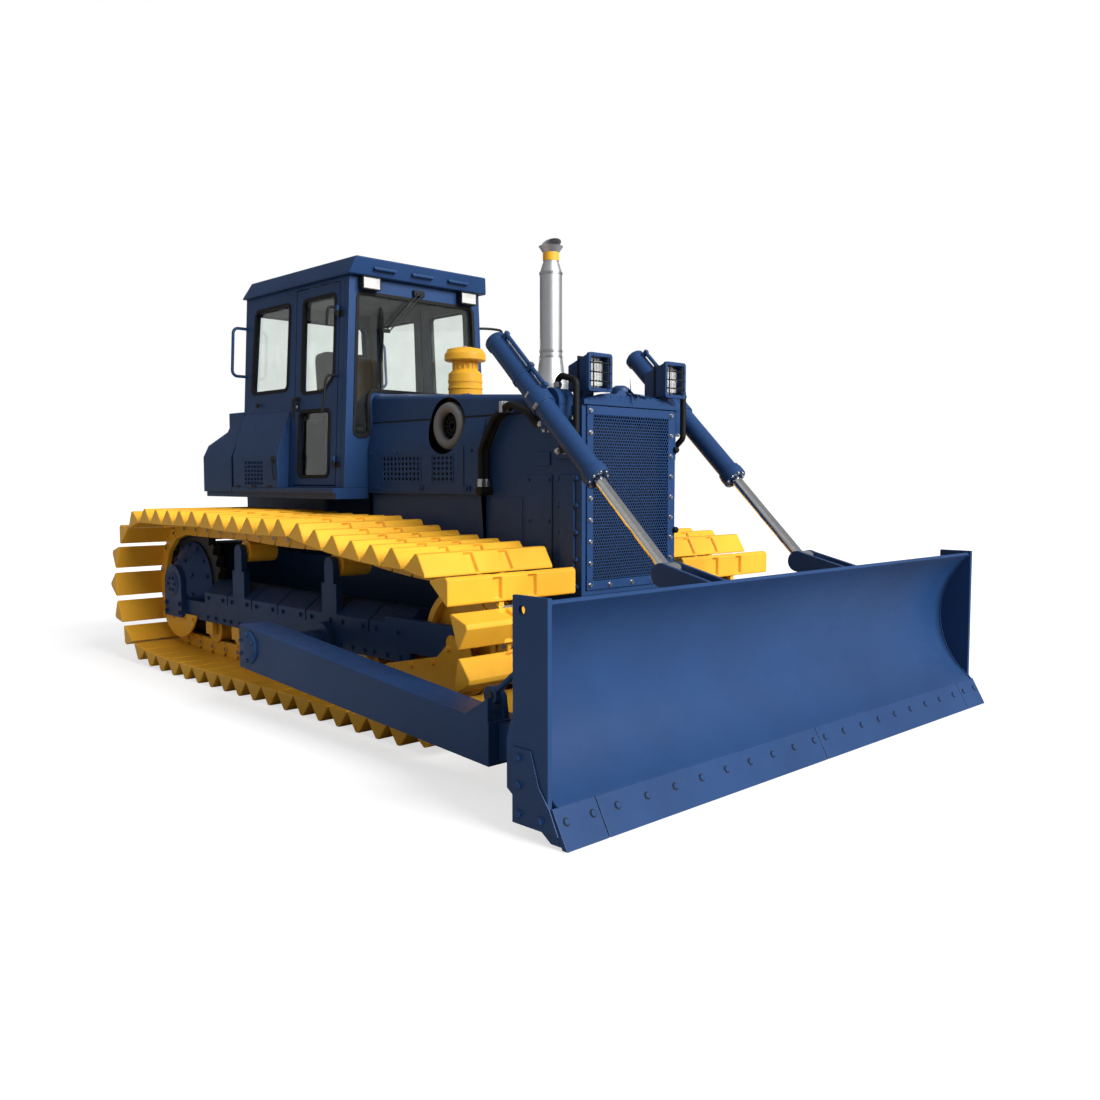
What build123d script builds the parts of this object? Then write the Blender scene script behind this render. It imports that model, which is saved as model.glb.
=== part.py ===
"""Low ground pressure bulldozer, built as separate pieces in millimetres.

Frame: +X forward, +Y to the machine's left, +Z up. Pieces are drawn on stations whose X starts
at the sprocket axis. The finished pieces are shifted so that the origin lies on the ground in the
middle of the machine's length. Pieces of the right side are drawn first and mirrored.
"""
from build123d import *
import os
from math import acos, atan2, cos, degrees, hypot, pi, radians, sin, sqrt, tan

# General clearances
SEAT_GAP = 0.3
PIN_GAP = 0.4
OVERCUT = 1.0

# Track chain and swamp shoes
PITCH = 203.2
GAUGE = 1950.0
SHOE_WIDTH = 950.0
SHOE_BASE = 58.0
SHOE_PLATE = 14.0
GROUSER_HEIGHT = 98.0
GROUSER_TIP = 28.0
SHOE_LENGTH = 192.0
RAIL_DEPTH = 52.0
RAIL_SPREAD = 85.0
RAIL_WIDTH = 38.0

# Sprocket, idler and rollers
SPROCKET_TEETH = 27
SPROCKET_Z = 636.0
SPROCKET_WIDTH = 60.0
TOOTH_RISE = 18.0
TOOTH_ROOT = 30.0
TOOTH_SHARES = (-0.36, -0.12, 0.12, 0.36)
WHEELBASE = 3500.0
IDLER_PIN_R = 376.0
IDLER_WIDTH = 224.0
IDLER_FLANGE = 22.0
IDLER_FLANGE_GAP = 12.0
IDLER_WEB_SHARE = 0.4
IDLER_RIM = 40.0
IDLER_SHAFT_R = 50.0
IDLER_HUB_R = 95.0
CARRIER_SHARES = (0.29, 0.64)
CARRIER_REAR_DROP = 1.6
CARRIER_FRONT_DROP = 24.0
CARRIER_R = 80.0
CARRIER_GAP = 0.5
CARRIER_EDGE = 6.0
SAG_REAR = 5.0
SAG_MIDDLE = 12.0
SAG_FRONT = 30.0
BEND_SHARE = 0.55
ROLLER_R = 100.0
ROLLER_FLANGE = 12.0
ROLLER_COUNT = 7
ROLLER_REAR_X = 525.0
ROLLER_TO_IDLER = 480.0
ROLLER_SHAFT_R = 32.0
ROLLER_SIDE_GAP = 8.0
COLLAR_HALF = 55.0
COLLAR_DROP = 42.0
COLLAR_EDGE = 6.0

# Track frame and final drive
FRAME_HALF = 175.0
FRAME_WALL = 45.0
FRAME_BOTTOM = 375.0
FRAME_TOP = 520.0
FRAME_REAR_X = -250.0
FRAME_BOX_X = 470.0
FORK_TO_IDLER = 440.0
FORK_PAST_IDLER = 140.0
FORK_ROOT = 200.0
FORK_EDGE = 50.0
CHANNEL_ROOM = 30.0
COVER_LIP = 600.0
COVER_TOP = 690.0
COVER_HALF = 60.0
COVER_COUNT = 7
COVER_SLOT = 12.0
COVER_SEAT = 10.0
POST_WIDTH = 176.0
POST_DEPTH = 48.0
POST_RISE = 280.0
POST_HEAD_R = 54.0
POST_ROOT = 20.0
DRIVE_CASE_R = 330.0
DRIVE_CONE_R = 335.0
DRIVE_NOSE_R = 160.0
DRIVE_RING = 15.0
DRIVE_BRACKET_R = 150.0
DRIVE_BRACKET_DEPTH = 42.0
DRIVE_ROOM = 8.0
TRUNNION_COLLAR_R = 108.0
TRUNNION_COLLAR = 60.0
TRUNNION_END = 4.0
GUARD_PLATE = 16.0
REAR_GUARD_LENGTH = 600.0
REAR_GUARD_DROP = 115.0
REAR_GUARD_RISE = 30.0
FRONT_GUARD_SHARES = (
    (-2.1, -0.755), (-1.6, -0.49), (-0.29, -0.225), (0.05, 0.077), (0.425, 0.117), (0.61, -0.335),
    (-0.066, -0.947), (-0.745, -0.835),
)

# Main frame, driveline and drawbar
HULL_TO_TRACK = 70.0
HULL_BEAM = 90.0
HULL_TOP = 880.0
HULL_BOTTOM = 440.0
HULL_PLATE = 30.0
HULL_REAR_X = -300.0
FRONT_BULKHEAD = 60.0
EQUALIZER_X = 2600.0
EQUALIZER_HALF = 100.0
EQUALIZER_DROP = 40.0
PIVOT_SHAFT_X = 620.0
PIVOT_SHAFT_R = 60.0
PIVOT_SHAFT_RISE = 20.0
AXLE_HOLE_R = 198.0
CASE_REAR_X = -420.0
CASE_FRONT_X = 900.0
CASE_ROOM = 20.0
CASE_CORNER_R = 40.0
REAR_BOLT_R = 12.0
REAR_BOLT_DEPTH = 60.0
REAR_BOLT_INSET = 110.0
REAR_BOLT_Z = 300.0
REAR_BOLT_LEVEL = 1000.0
DRAWBAR_REACH = 160.0
DRAWBAR_HALF = 95.0
DRAWBAR_PLATE = 40.0
DRAWBAR_JAW = 80.0
DRAWBAR_LEVEL = 600.0
DRAWBAR_PIN_R = 26.0
DRAWBAR_PAD = 30.0
ENGINE_TO_HOOD = 100.0
ENGINE_TO_GUARD = 450.0
ENGINE_ROOM = 50.0

# Radiator guard and lamps
GUARD_FRONT_X = 3830.0
GUARD_DEPTH = 230.0
GUARD_BOTTOM = 785.0
GUARD_SHOULDER = 1940.0
GUARD_RISE = 50.0
GUARD_WALL = 85.0
CAP_BAND = 32.0
CAP_LIP = 18.0
CAP_EDGE_R = 12.0
GRILLE_DROP = 36.0
GRILLE_PLATE = 12.0
GRILLE_EDGE = 52.0
GRILLE_HOLE = 40.0
GRILLE_STEP = 56.0
CORE_DEPTH = 100.0
LAMP_FROM_GUARD = 100.0
LAMP_PAST_GUARD = 60.0
LAMP_INSET = 85.0
LAMP_WIDTH = 190.0
LAMP_HEIGHT = 210.0
LAMP_SEAT = 2.0
LAMP_WALL = 8.0
LAMP_REAR_SHARE = 0.72
LAMP_FOOT_HALF = 45.0
LAMP_FOOT_INSET = 30.0
LENS_SHARE = 0.8
LENS_DEPTH = 45.0
LENS_SETBACK = 70.0

# Hood and side panels
HOOD_GAP = 5.0
HOOD_FRONT_RISE = 42.0
HOOD_REAR_RISE = 152.0
HOOD_INSET = 10.0
HOOD_SEAM_DROP = 60.0
HOOD_EDGE_R = 45.0
SHEET = 8.0
CREASE_DROP = 185.0
STEP_DROP = 500.0
PANEL_BULGE = 46.0
PANEL_TO_GUARD = 640.0
PATCH_HOLE_R = 12.0
PATCH_STEP_X = 44.0
PATCH_STEP_Z = 35.0
PATCH_DROP = 335.0
PATCH_ROWS = 5
REAR_PATCH_X = 400.0
REAR_PATCH_COLUMNS = 10
FRONT_PATCH_X = 870.0
FRONT_PATCH_COLUMNS = 5
INTAKE_FROM_REAR = 870.0
INTAKE_DROP = 50.0
INTAKE_ARCH_R = 190.0
INTAKE_R = 133.0
INTAKE_TUBE_R = 42.0
INTAKE_WALL = 30.0
EXHAUST_TO_GUARD = 470.0
EXHAUST_R = 72.5
EXHAUST_HEIGHT = 950.0
EXHAUST_COLLAR_R = 118.0
EXHAUST_COLLAR = 80.0
EXHAUST_SHOULDER = 20.0
EXHAUST_TAPER = 160.0
EXHAUST_NECK = 80.0
EXHAUST_NECK_TAPER = 60.0
EXHAUST_MOUTH_R = 50.0
EXHAUST_WALL = 6.0
EXHAUST_FLARE = 30.0
EXHAUST_FLARE_RISE = 45.0
EXHAUST_BORE = 300.0
PRECLEANER_FROM_REAR = 550.0
PRECLEANER_R = 120.0
PRECLEANER_HEIGHT = 360.0
PRECLEANER_CAP_R = 148.0
PRECLEANER_NECK_R = 86.0
PRECLEANER_DOME_R = 48.0
PRECLEANER_SHARES = (0.53, 0.46, 0.305, 0.278, 0.153, 0.042)
HOSE_R = 19.0
HOSE_LAP = 46.0
HOSE_BEND = 80.0
HOSE_OFF = 12.0
HOSE_FALL = 270.0
HOSE_SHARES = (
    (0.062, 0.96), (0.062, 0.44), (0.246, 0.06), (0.477, -0.12), (0.72, 0.0), (0.85, 0.16), (1.0, 0.16),
)
FITTING_R = 30.0

# Cab, platform and tank
DECK_BOTTOM = 1330.0
DECK_PLATE = 40.0
FLOOR_PLATE = 40.0
DECK_PAST_CAB = 165.0
DECK_INSET = 25.0
CAB_REAR_X = 195.0
CAB_FRONT_X = 1695.0
CAB_TOP = 2925.0
CAB_HALF_TOP = 600.0
CAB_LEAN = 2.65
CAB_WALL = 50.0
WINDOW_R = 45.0
WINDOW_POST = 70.0
WINDSHIELD_SKIRT = 312.0
WINDSHIELD_SILL = 23.0
WINDSHIELD_HOOD_GAP = 28.0
GLASS = 8.0
ROOF_RISE = 125.0
ROOF_SIDE_LIP = 40.0
ROOF_REAR_LIP = 12.0
ROOF_REAR_SLOPE = 97.0
ROOF_FRONT_LIP = 50.0
ROOF_VISOR = 40.0
DOOR_FROM_FRONT = 120.0
DOOR_WIDTH = 585.0
DOOR_RISE = 20.0
DOOR_DROP = 30.0
DOOR_GAP = 6.0
DOOR_STILE = 95.0
DOOR_HINGE_STILE = 45.0
DOOR_LOW_REAR = 75.0
DOOR_LOW_FRONT = 90.0
DOOR_LOW_RISE = 60.0
DOOR_RAIL = 130.0
DOOR_CUT_X = 135.0
DOOR_CUT_Z = 105.0
HINGE_OUT = 18.0
HINGE_PIN_R = 7.0
HINGE_KNUCKLE_R = 13.0
HINGE_LENGTH = 40.0
HINGE_LEAF = 8.0
HINGE_REACH = 60.0
HINGE_LOW = 130.0
HINGE_HIGH = 255.0
SILL_RISE = 705.0
SILL_STEP = 40.0
HEADER_DROP = 110.0
SIDE_WINDOW_REAR = 125.0
SIDE_WINDOW_RAKE = 40.0
SIDE_WINDOW_FRONT = 95.0
SIDE_WINDOW_SKEW = 15.0
REAR_WINDOW_POST = 90.0
BOX_TO_DOOR = 60.0
BOX_FROM_REAR = 30.0
BOX_FOLD_RISE = 250.0
BOX_RISE = 580.0
BOX_TOP_OUT = 14.0
BOX_GAP = 2.0
VENT_FROM_REAR = 190.0
VENT_RISE = 22.0
VENT_COLUMNS = 6
VENT_ROWS = 6
VENT_STEP_X = 50.0
VENT_STEP_Z = 32.0
VENT_BAR = 12.0
VENT_DEPTH = 12.0
TANK_LENGTH = 495.0
TANK_GAP = 5.0
TANK_RISE = 610.0
TANK_BACK_RISE = 345.0
TANK_SHELF_RISE = 455.0
TANK_SHELF = 240.0
TANK_SHOULDER_OUT = 45.0
TANK_SHOULDER_DROP = 120.0
HANDLE_R = 12.0
HANDLE_OUT = 125.0
HANDLE_LOW_DROP = 620.0
HANDLE_HIGH_DROP = 235.0
HANDLE_BEND = 45.0
SEAT_FROM_REAR = 495.0
SEAT_LENGTH = 510.0
SEAT_HALF = 260.0
SEAT_FOOT_HALF = 200.0
SEAT_FOOT_INSET = 30.0
SEAT_RISE = 320.0
SEAT_THICK = 130.0
BACK_RISE = 610.0
BACK_THICK = 120.0
BACK_RAKE = 60.0
BACK_HALF = 245.0
DASH_DEPTH = 190.0
DASH_FOOT = 130.0
DASH_RISE = 700.0
DASH_FALL = 60.0
DASH_HALF = 330.0
CONSOLE_LENGTH = 460.0
CONSOLE_Y = 400.0
CONSOLE_HALF = 75.0
CONSOLE_RISE = 520.0
LEVER_FROM_REAR = 360.0
LEVER_RISE = 180.0
LEVER_RAKE = 25.0
LEVER_R = 12.0
LEVER_GRIP = 55.0
LEVER_GRIP_R = 26.0
ROOF_LAMP_INNER = 350.0
ROOF_LAMP_WIDTH = 155.0
ROOF_LAMP_DEPTH = 62.0
ROOF_LAMP_HEIGHT = 66.0

# Push arms and lift linkage
ARM_PIVOT_X = 2220.0
ARM_PIVOT_Z = 440.0
ARM_PIVOT_R = 60.0
ARM_TO_TRACK = 50.0
ARM_WIDTH = 210.0
ARM_TAIL = 120.0
ARM_REAR_HEIGHT = 270.0
ARM_TO_PIN = 210.0
ARM_FRONT_LEVEL = 250.0
ARM_FRONT_HEIGHT = 205.0
TANG_WIDTH = 70.0
TANG_R = 55.0
TANG_ROOT = 20.0
TANG_EDGE = 10.0
BLADE_PIN_BACK = 540.0
BLADE_PIN_Z = 270.0
BLADE_PIN_R = 30.0
PIN_END = 8.0
EAR_PLATE = 25.0
EAR_GAP = 6.0
FOOT_EAR_R = 58.0
BRACE_PIN_R = 20.0
BRACE_EYE_R = 45.0
BRACE_PLATE = 34.0
BRACE_LOW_BACK = 70.0
BRACE_LOW_RISE = 110.0
BRACE_HIGH_BACK = 225.0
BRACE_HIGH_DROP = 150.0
BRACE_PIN_END = 6.0
BRACE_LUG = 170.0
GUSSET_LENGTH = 200.0
GUSSET_EDGE = 5.0
GUSSET_RISE = 118.0
GUSSET_PLATE = 30.0
CYLINDER_TO_HULL = 204.0
TRUNNION_FROM_GUARD = 90.0
TRUNNION_DROP = 15.0
TRUNNION_R = 35.0
BARREL_R = 62.5
BARREL_BORE_R = 50.0
BARREL_HEAD = 545.0
BARREL_HEAD_WALL = 25.0
BARREL_GLAND = 640.0
GLAND_LENGTH = 70.0
GLAND_WALL = 40.0
GLAND_RISE = 10.0
BAND_HALF = 55.0
BAND_RISE = 12.0
LINE_R = 13.0
LINE_OUT = 28.0
LINE_FROM_HEAD = 55.0
LINE_TO_BAND = 30.0
YOKE_R = 80.0
YOKE_PLATE = 30.0
YOKE_INSET = 20.0
YOKE_DROP = 330.0
YOKE_STEP = 160.0
YOKE_GAP = 18.0
STUB_END = 4.0
ROD_R = 32.5
ROD_EYE_R = 60.0
ROD_EYE_WIDTH = 90.0
LIFT_PIN_BACK = 565.0
LIFT_PIN_RISE = 7.0
LIFT_PIN_R = 30.0
LIFT_EAR_R = 62.0
PISTON_LENGTH = 80.0
PISTON_FROM_TRUNNION = 90.0

# Blade
BLADE_PAST_ARM = 240.0
BLADE_TIP_X = 5220.0
BLADE_TIP_Z = 5.0
BLADE_TOP_BACK = 120.0
BLADE_TOP_Z = 978.0
BLADE_BELLY_BACK = 308.0
BLADE_BELLY_DROP = 408.0
EDGE_BACKSET = 85.0
EDGE_TOP_Z = 160.0
EDGE_PLATE = 25.0
BLADE_SKIN = 20.0
END_PLATE = 25.0
END_PLATE_RISE = 25.0
END_PLATE_BACK = 320.0
END_PLATE_LEAD = 10.0
END_PLATE_FOOT = 60.0
END_PLATE_STEP = 120.0
BEAM_BACK = 358.0
BEAM_LIP = 55.0
BEAM_CHIN = 110.0
BEAM_LOW_Z = 190.0
BEAM_MID_Z = 340.0
BEAM_HIGH_Z = 480.0
BEAM_RAKE = 30.0
TOP_BEAM_DEPTH = 140.0
TOP_BEAM_NOSE = 175.0
TOP_BEAM_HEIGHT = 160.0
TOP_BEAM_DROP = 12.0
RIB_HALF = 10.0
RIB_SHARE = 0.59
LIFT_EYE_R = 20.0
LIFT_EYE_INSET = 55.0
LIFT_EYE_DROP = 60.0

# Values that follow from the sizes above
SIDE = GAUGE / 2
GROUND_PIN = SHOE_BASE + SHOE_PLATE + GROUSER_HEIGHT
SPROCKET_PIN_R = PITCH / (2 * sin(2 * pi / SPROCKET_TEETH))
IDLER_Z = GROUND_PIN + IDLER_PIN_R
ROLLER_Z = GROUND_PIN + RAIL_DEPTH + ROLLER_R
SPROCKET_REACH = SPROCKET_PIN_R * cos(2 * pi / SPROCKET_TEETH) + GROUND_PIN
ORIGIN_X = (BLADE_TIP_X - SPROCKET_REACH) / 2
CARRIER_X = tuple(WHEELBASE * share for share in CARRIER_SHARES)
CARRIER_LINE = tuple(SPROCKET_Z + SPROCKET_PIN_R - drop for drop in (CARRIER_REAR_DROP, CARRIER_FRONT_DROP))
RUN_SAG = (SAG_REAR, SAG_MIDDLE, SAG_FRONT)
ROLLER_FRONT_X = WHEELBASE - ROLLER_TO_IDLER
FRAME_FORK_X = WHEELBASE - FORK_TO_IDLER
FRAME_FRONT_X = WHEELBASE + FORK_PAST_IDLER
HULL_HALF = SIDE - SHOE_WIDTH / 2 - HULL_TO_TRACK
CASE_HALF = HULL_HALF - HULL_BEAM - CASE_ROOM
ENGINE_HALF = HULL_HALF - HULL_BEAM - ENGINE_ROOM
HOOD_HALF = HULL_HALF - HOOD_INSET
REAR_BOLT_Y = 2 * (CASE_HALF - REAR_BOLT_INSET)
GUARD_REAR_X = GUARD_FRONT_X - GUARD_DEPTH
GUARD_CROWN = GUARD_SHOULDER + GUARD_RISE
GRILLE_TOP = GUARD_SHOULDER - GRILLE_DROP
LAMP_REAR_X = GUARD_REAR_X + LAMP_FROM_GUARD
LAMP_FRONT_X = GUARD_FRONT_X + LAMP_PAST_GUARD
LAMP_OFFSET = HULL_HALF - LAMP_INSET
LAMP_BOTTOM = GUARD_CROWN - LAMP_SEAT
HOOD_REAR_X = CAB_FRONT_X + HOOD_GAP
HOOD_FRONT_TOP = GUARD_SHOULDER + HOOD_FRONT_RISE
HOOD_REAR_TOP = GUARD_SHOULDER + HOOD_REAR_RISE
HOOD_SEAM = GUARD_SHOULDER - HOOD_SEAM_DROP
HOOD_SLOPE = (HOOD_REAR_TOP - HOOD_FRONT_TOP) / (GUARD_REAR_X - HOOD_REAR_X)
PANEL_CREASE = HOOD_SEAM - CREASE_DROP
PANEL_STEP = HOOD_SEAM - STEP_DROP
PANEL_BREAK_X = GUARD_REAR_X - PANEL_TO_GUARD
ENGINE_REAR_X = HOOD_REAR_X + ENGINE_TO_HOOD
ENGINE_FRONT_X = GUARD_REAR_X - ENGINE_TO_GUARD
ENGINE_TOP = HOOD_SEAM - ENGINE_ROOM
INTAKE_X = HOOD_REAR_X + INTAKE_FROM_REAR
INTAKE_Z = HOOD_SEAM - INTAKE_DROP
EXHAUST_X = GUARD_REAR_X - EXHAUST_TO_GUARD
PRECLEANER_X = HOOD_REAR_X + PRECLEANER_FROM_REAR
DECK_TOP = DECK_BOTTOM + DECK_PLATE
FLOOR_TOP = DECK_TOP + FLOOR_PLATE
DECK_HALF = CAB_HALF_TOP + DECK_PAST_CAB
ROOF_TOP = CAB_TOP + ROOF_RISE
DOOR_FRONT_X = CAB_FRONT_X - DOOR_FROM_FRONT
DOOR_REAR_X = DOOR_FRONT_X - DOOR_WIDTH
DOOR_BOTTOM = FLOOR_TOP + DOOR_RISE
DOOR_TOP = CAB_TOP - DOOR_DROP
HINGE_LEVELS = (DOOR_BOTTOM + HINGE_LOW, DOOR_TOP - HINGE_HIGH)
SILL_LINE = FLOOR_TOP + SILL_RISE
HEADER_LINE = CAB_TOP - HEADER_DROP
BOX_FRONT_X = DOOR_REAR_X - BOX_TO_DOOR
BOX_REAR_X = CAB_REAR_X + BOX_FROM_REAR
BOX_FOLD = FLOOR_TOP + BOX_FOLD_RISE
BOX_TOP = FLOOR_TOP + BOX_RISE
TANK_REAR_X = CAB_REAR_X - TANK_LENGTH
TANK_TOP = FLOOR_TOP + TANK_RISE
ARM_INNER = SIDE + SHOE_WIDTH / 2 + ARM_TO_TRACK
ARM_MID = ARM_INNER + ARM_WIDTH / 2
ARM_REAR_X = ARM_PIVOT_X - ARM_TAIL
BLADE_PIN_X = BLADE_TIP_X - BLADE_PIN_BACK
ARM_FRONT_X = BLADE_PIN_X - ARM_TO_PIN
CYLINDER_Y = HULL_HALF + CYLINDER_TO_HULL
TRUNNION_X = GUARD_REAR_X + TRUNNION_FROM_GUARD
TRUNNION_Z = GUARD_SHOULDER - TRUNNION_DROP
LIFT_PIN_X = BLADE_TIP_X - LIFT_PIN_BACK
LIFT_PIN_Z = BLADE_TOP_Z + LIFT_PIN_RISE
BLADE_HALF = ARM_INNER + ARM_WIDTH + BLADE_PAST_ARM
BLADE_TOP_X = BLADE_TIP_X - BLADE_TOP_BACK
BLADE_BELLY_X = BLADE_TIP_X - BLADE_BELLY_BACK
BLADE_BELLY_Z = BLADE_TOP_Z - BLADE_BELLY_DROP
EDGE_TOP_X = BLADE_TIP_X - EDGE_BACKSET
END_PLATE_REAR_X = BLADE_TIP_X - END_PLATE_BACK
BEAM_REAR_X = BLADE_TIP_X - BEAM_BACK
RIB_Y = (0.0, BLADE_HALF * RIB_SHARE)
LEAN = radians(CAB_LEAN)


# Small drawing helpers

def box(x0, x1, y0, y1, z0, z1):
    """Box between two corners."""
    return Pos((x0 + x1) / 2, (y0 + y1) / 2, (z0 + z1) / 2) * Box(x1 - x0, y1 - y0, z1 - z0)


def right_box(x0, x1, a0, a1, z0, z1):
    """Box on the machine's right, a0 and a1 measured outwards from the middle plane."""
    return box(x0, x1, -a1, -a0, z0, z1)


def side_plate(points, y0, y1):
    """Plate with an outline of (x, z) points, standing between two Y planes."""
    outline = Polyline(*[(x, y0, z) for x, z in points], close=True)
    return extrude(make_face(outline), amount=y1 - y0, dir=(0, 1, 0))


def front_plate(points, x0, x1):
    """Plate with an outline of (y, z) points, standing between two X planes."""
    outline = Polyline(*[(x0, y, z) for y, z in points], close=True)
    return extrude(make_face(outline), amount=x1 - x0, dir=(1, 0, 0))


def rod(start, end, radius):
    """Round bar from one point to another."""
    axis = Vector(*end) - Vector(*start)
    return Solid.make_cylinder(radius, axis.length, Plane(origin=start, z_dir=axis))


def cross_rod(x, z, radius, y0, y1):
    """Round bar along Y."""
    return rod((x, y0, z), (x, y1, z), radius)


def cone(start, end, r0, r1):
    """Round taper from one point to another."""
    axis = Vector(*end) - Vector(*start)
    return Solid.make_cone(r0, r1, axis.length, Plane(origin=start, z_dir=axis))


def turned(x, profile):
    """Turned piece on an upright axis in the middle plane, profile of (radius, z) points."""
    outline = Polyline(*[(x + r, 0, z) for r, z in profile], close=True)
    return revolve(make_face(outline), Axis((x, 0, 0), (0, 0, 1)))


def pair(*pieces):
    """The given right-hand pieces and their mirror images on the left."""
    return [*pieces, *[mirror(piece, about=Plane.XZ) for piece in pieces]]


# Track

def chain_path():
    """Dense points of the pin line, from the sprocket's top forwards and round."""
    supports = [(0.0, SPROCKET_Z + SPROCKET_PIN_R)]
    supports += list(zip(CARRIER_X, CARRIER_LINE))
    supports.append((WHEELBASE, IDLER_Z + IDLER_PIN_R))
    points = []
    for (xa, za), (xb, zb), sag in zip(supports, supports[1:], RUN_SAG):
        for step in range(16):
            t = step / 16
            points.append((xa + (xb - xa) * t, za + (zb - za) * t - 4 * sag * t * (1 - t)))
    for step in range(61):
        angle = pi / 2 - pi * step / 60
        points.append((WHEELBASE + IDLER_PIN_R * cos(angle), IDLER_Z + IDLER_PIN_R * sin(angle)))
    drop = GROUND_PIN - SPROCKET_Z
    bend = ROLLER_REAR_X - PITCH * BEND_SHARE
    reach = hypot(bend, drop)
    leave = atan2(drop, bend) - acos(SPROCKET_PIN_R / reach)
    points.append((bend, GROUND_PIN))
    for step in range(60):
        angle = leave + (-1.5 * pi - leave) * step / 60
        points.append((SPROCKET_PIN_R * cos(angle), SPROCKET_Z + SPROCKET_PIN_R * sin(angle)))
    return points


def chain_pins():
    """Pins evenly spaced along the closed pin line."""
    path = chain_path()
    path.append(path[0])
    lengths = [hypot(b[0] - a[0], b[1] - a[1]) for a, b in zip(path, path[1:])]
    count = round(sum(lengths) / PITCH)
    step = sum(lengths) / count
    pins = []
    walked = 0.0
    for (a, b), length in zip(zip(path, path[1:]), lengths):
        while len(pins) < count and len(pins) * step < walked + length:
            t = (len(pins) * step - walked) / length
            pins.append((a[0] + (b[0] - a[0]) * t, a[1] + (b[1] - a[1]) * t))
        walked += length
    return pins


PINS = chain_pins()


def chain_links():
    """Middle point and forward direction of each link."""
    links = []
    for (xa, za), (xb, zb) in zip(PINS, PINS[1:] + PINS[:1]):
        length = hypot(xb - xa, zb - za)
        links.append(((xa + xb) / 2, (za + zb) / 2, (xb - xa) / length, (zb - za) / length))
    return links


LINKS = chain_links()


def chain_outline(offset):
    """Closed outline that runs along every link at an offset outside the pin line."""
    corners = []
    for (xa, za, ta, ua), (xb, zb, tb, ub) in zip(LINKS, LINKS[1:] + LINKS[:1]):
        pa = (xa - ua * offset, za + ta * offset)
        pb = (xb - ub * offset, zb + tb * offset)
        turn = ta * ub - ua * tb
        if abs(turn) < 1e-6:
            corners.append(((pa[0] + pb[0]) / 2, (pa[1] + pb[1]) / 2))
        else:
            s = ((pb[0] - pa[0]) * ub - (pb[1] - pa[1]) * tb) / turn
            corners.append((pa[0] + ta * s, pa[1] + ua * s))
    return corners


def link_radius(pin_radius):
    """Distance of a link's middle from the centre of a wheel whose pins lie on a circle."""
    chord = hypot(PINS[1][0] - PINS[0][0], PINS[1][1] - PINS[0][1])
    return sqrt(pin_radius ** 2 - (chord / 2) ** 2)


def shoe_outline(link):
    """Triangular swamp shoe on one link."""
    x, z, tx, tz = link
    base = SHOE_BASE
    plate = SHOE_BASE + SHOE_PLATE
    half = SHOE_LENGTH / 2
    tip = GROUSER_TIP / 2
    profile = [(-half, base), (half, base), (half, plate), (tip, GROUND_PIN), (-tip, GROUND_PIN)]
    profile.append((-half, plate))
    return [(x + tx * u - tz * w, z + tz * u + tx * w) for u, w in profile]


def track():
    """Right-hand track: two rails of links with every shoe on them, in one loop."""
    outer = chain_outline(SHOE_BASE)
    inner = chain_outline(-RAIL_DEPTH)
    loop = None
    for side in (-1, 1):
        y0 = -SIDE + side * RAIL_SPREAD - RAIL_WIDTH / 2
        rail = side_plate(outer, y0, y0 + RAIL_WIDTH) - side_plate(inner, y0, y0 + RAIL_WIDTH)
        loop = rail if loop is None else loop + rail
    shoes = [side_plate(shoe_outline(k), -SIDE - SHOE_WIDTH / 2, -SIDE + SHOE_WIDTH / 2) for k in LINKS]
    return loop + shoes


# Wheels inside the track

def sprocket():
    """Toothed ring between the rails, with its hub out to the final drive cover."""
    points = []
    for tooth in range(SPROCKET_TEETH):
        middle = pi / 2 + 2 * pi * (tooth + 0.5) / SPROCKET_TEETH
        for share, radius in zip(TOOTH_SHARES, (-TOOTH_ROOT, TOOTH_RISE, TOOTH_RISE, -TOOTH_ROOT)):
            angle = middle + share * 2 * pi / SPROCKET_TEETH
            r = SPROCKET_PIN_R + radius
            points.append((r * cos(angle), SPROCKET_Z + r * sin(angle)))
    ring = side_plate(points, -SIDE - SPROCKET_WIDTH / 2, -SIDE + SPROCKET_WIDTH / 2)
    hub = cross_rod(0, SPROCKET_Z, DRIVE_CONE_R, -SIDE - SPROCKET_WIDTH / 2 - FRAME_WALL / 3, -SIDE)
    return ring + hub


def final_drive_cover():
    """Cone over the drive outside the sprocket, out to its bearing."""
    start = SIDE + SPROCKET_WIDTH / 2 + FRAME_WALL / 3
    return cone((0, -start, SPROCKET_Z), (0, -SIDE - FRAME_HALF, SPROCKET_Z), DRIVE_CONE_R, DRIVE_NOSE_R)


def drive_bearing():
    """Tombstone bracket that carries the drive's outer end on the track frame."""
    face = SIDE + FRAME_HALF
    outer = face + DRIVE_BRACKET_DEPTH
    plate = right_box(-DRIVE_BRACKET_R, DRIVE_BRACKET_R, face, outer, FRAME_BOTTOM, SPROCKET_Z)
    head = cross_rod(0, SPROCKET_Z, DRIVE_BRACKET_R, -outer, -face)
    return plate + head


def final_drive_case():
    """Drum between the hull and the sprocket."""
    return cross_rod(0, SPROCKET_Z, DRIVE_CASE_R, -SIDE + SPROCKET_WIDTH / 2, -HULL_HALF)


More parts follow.
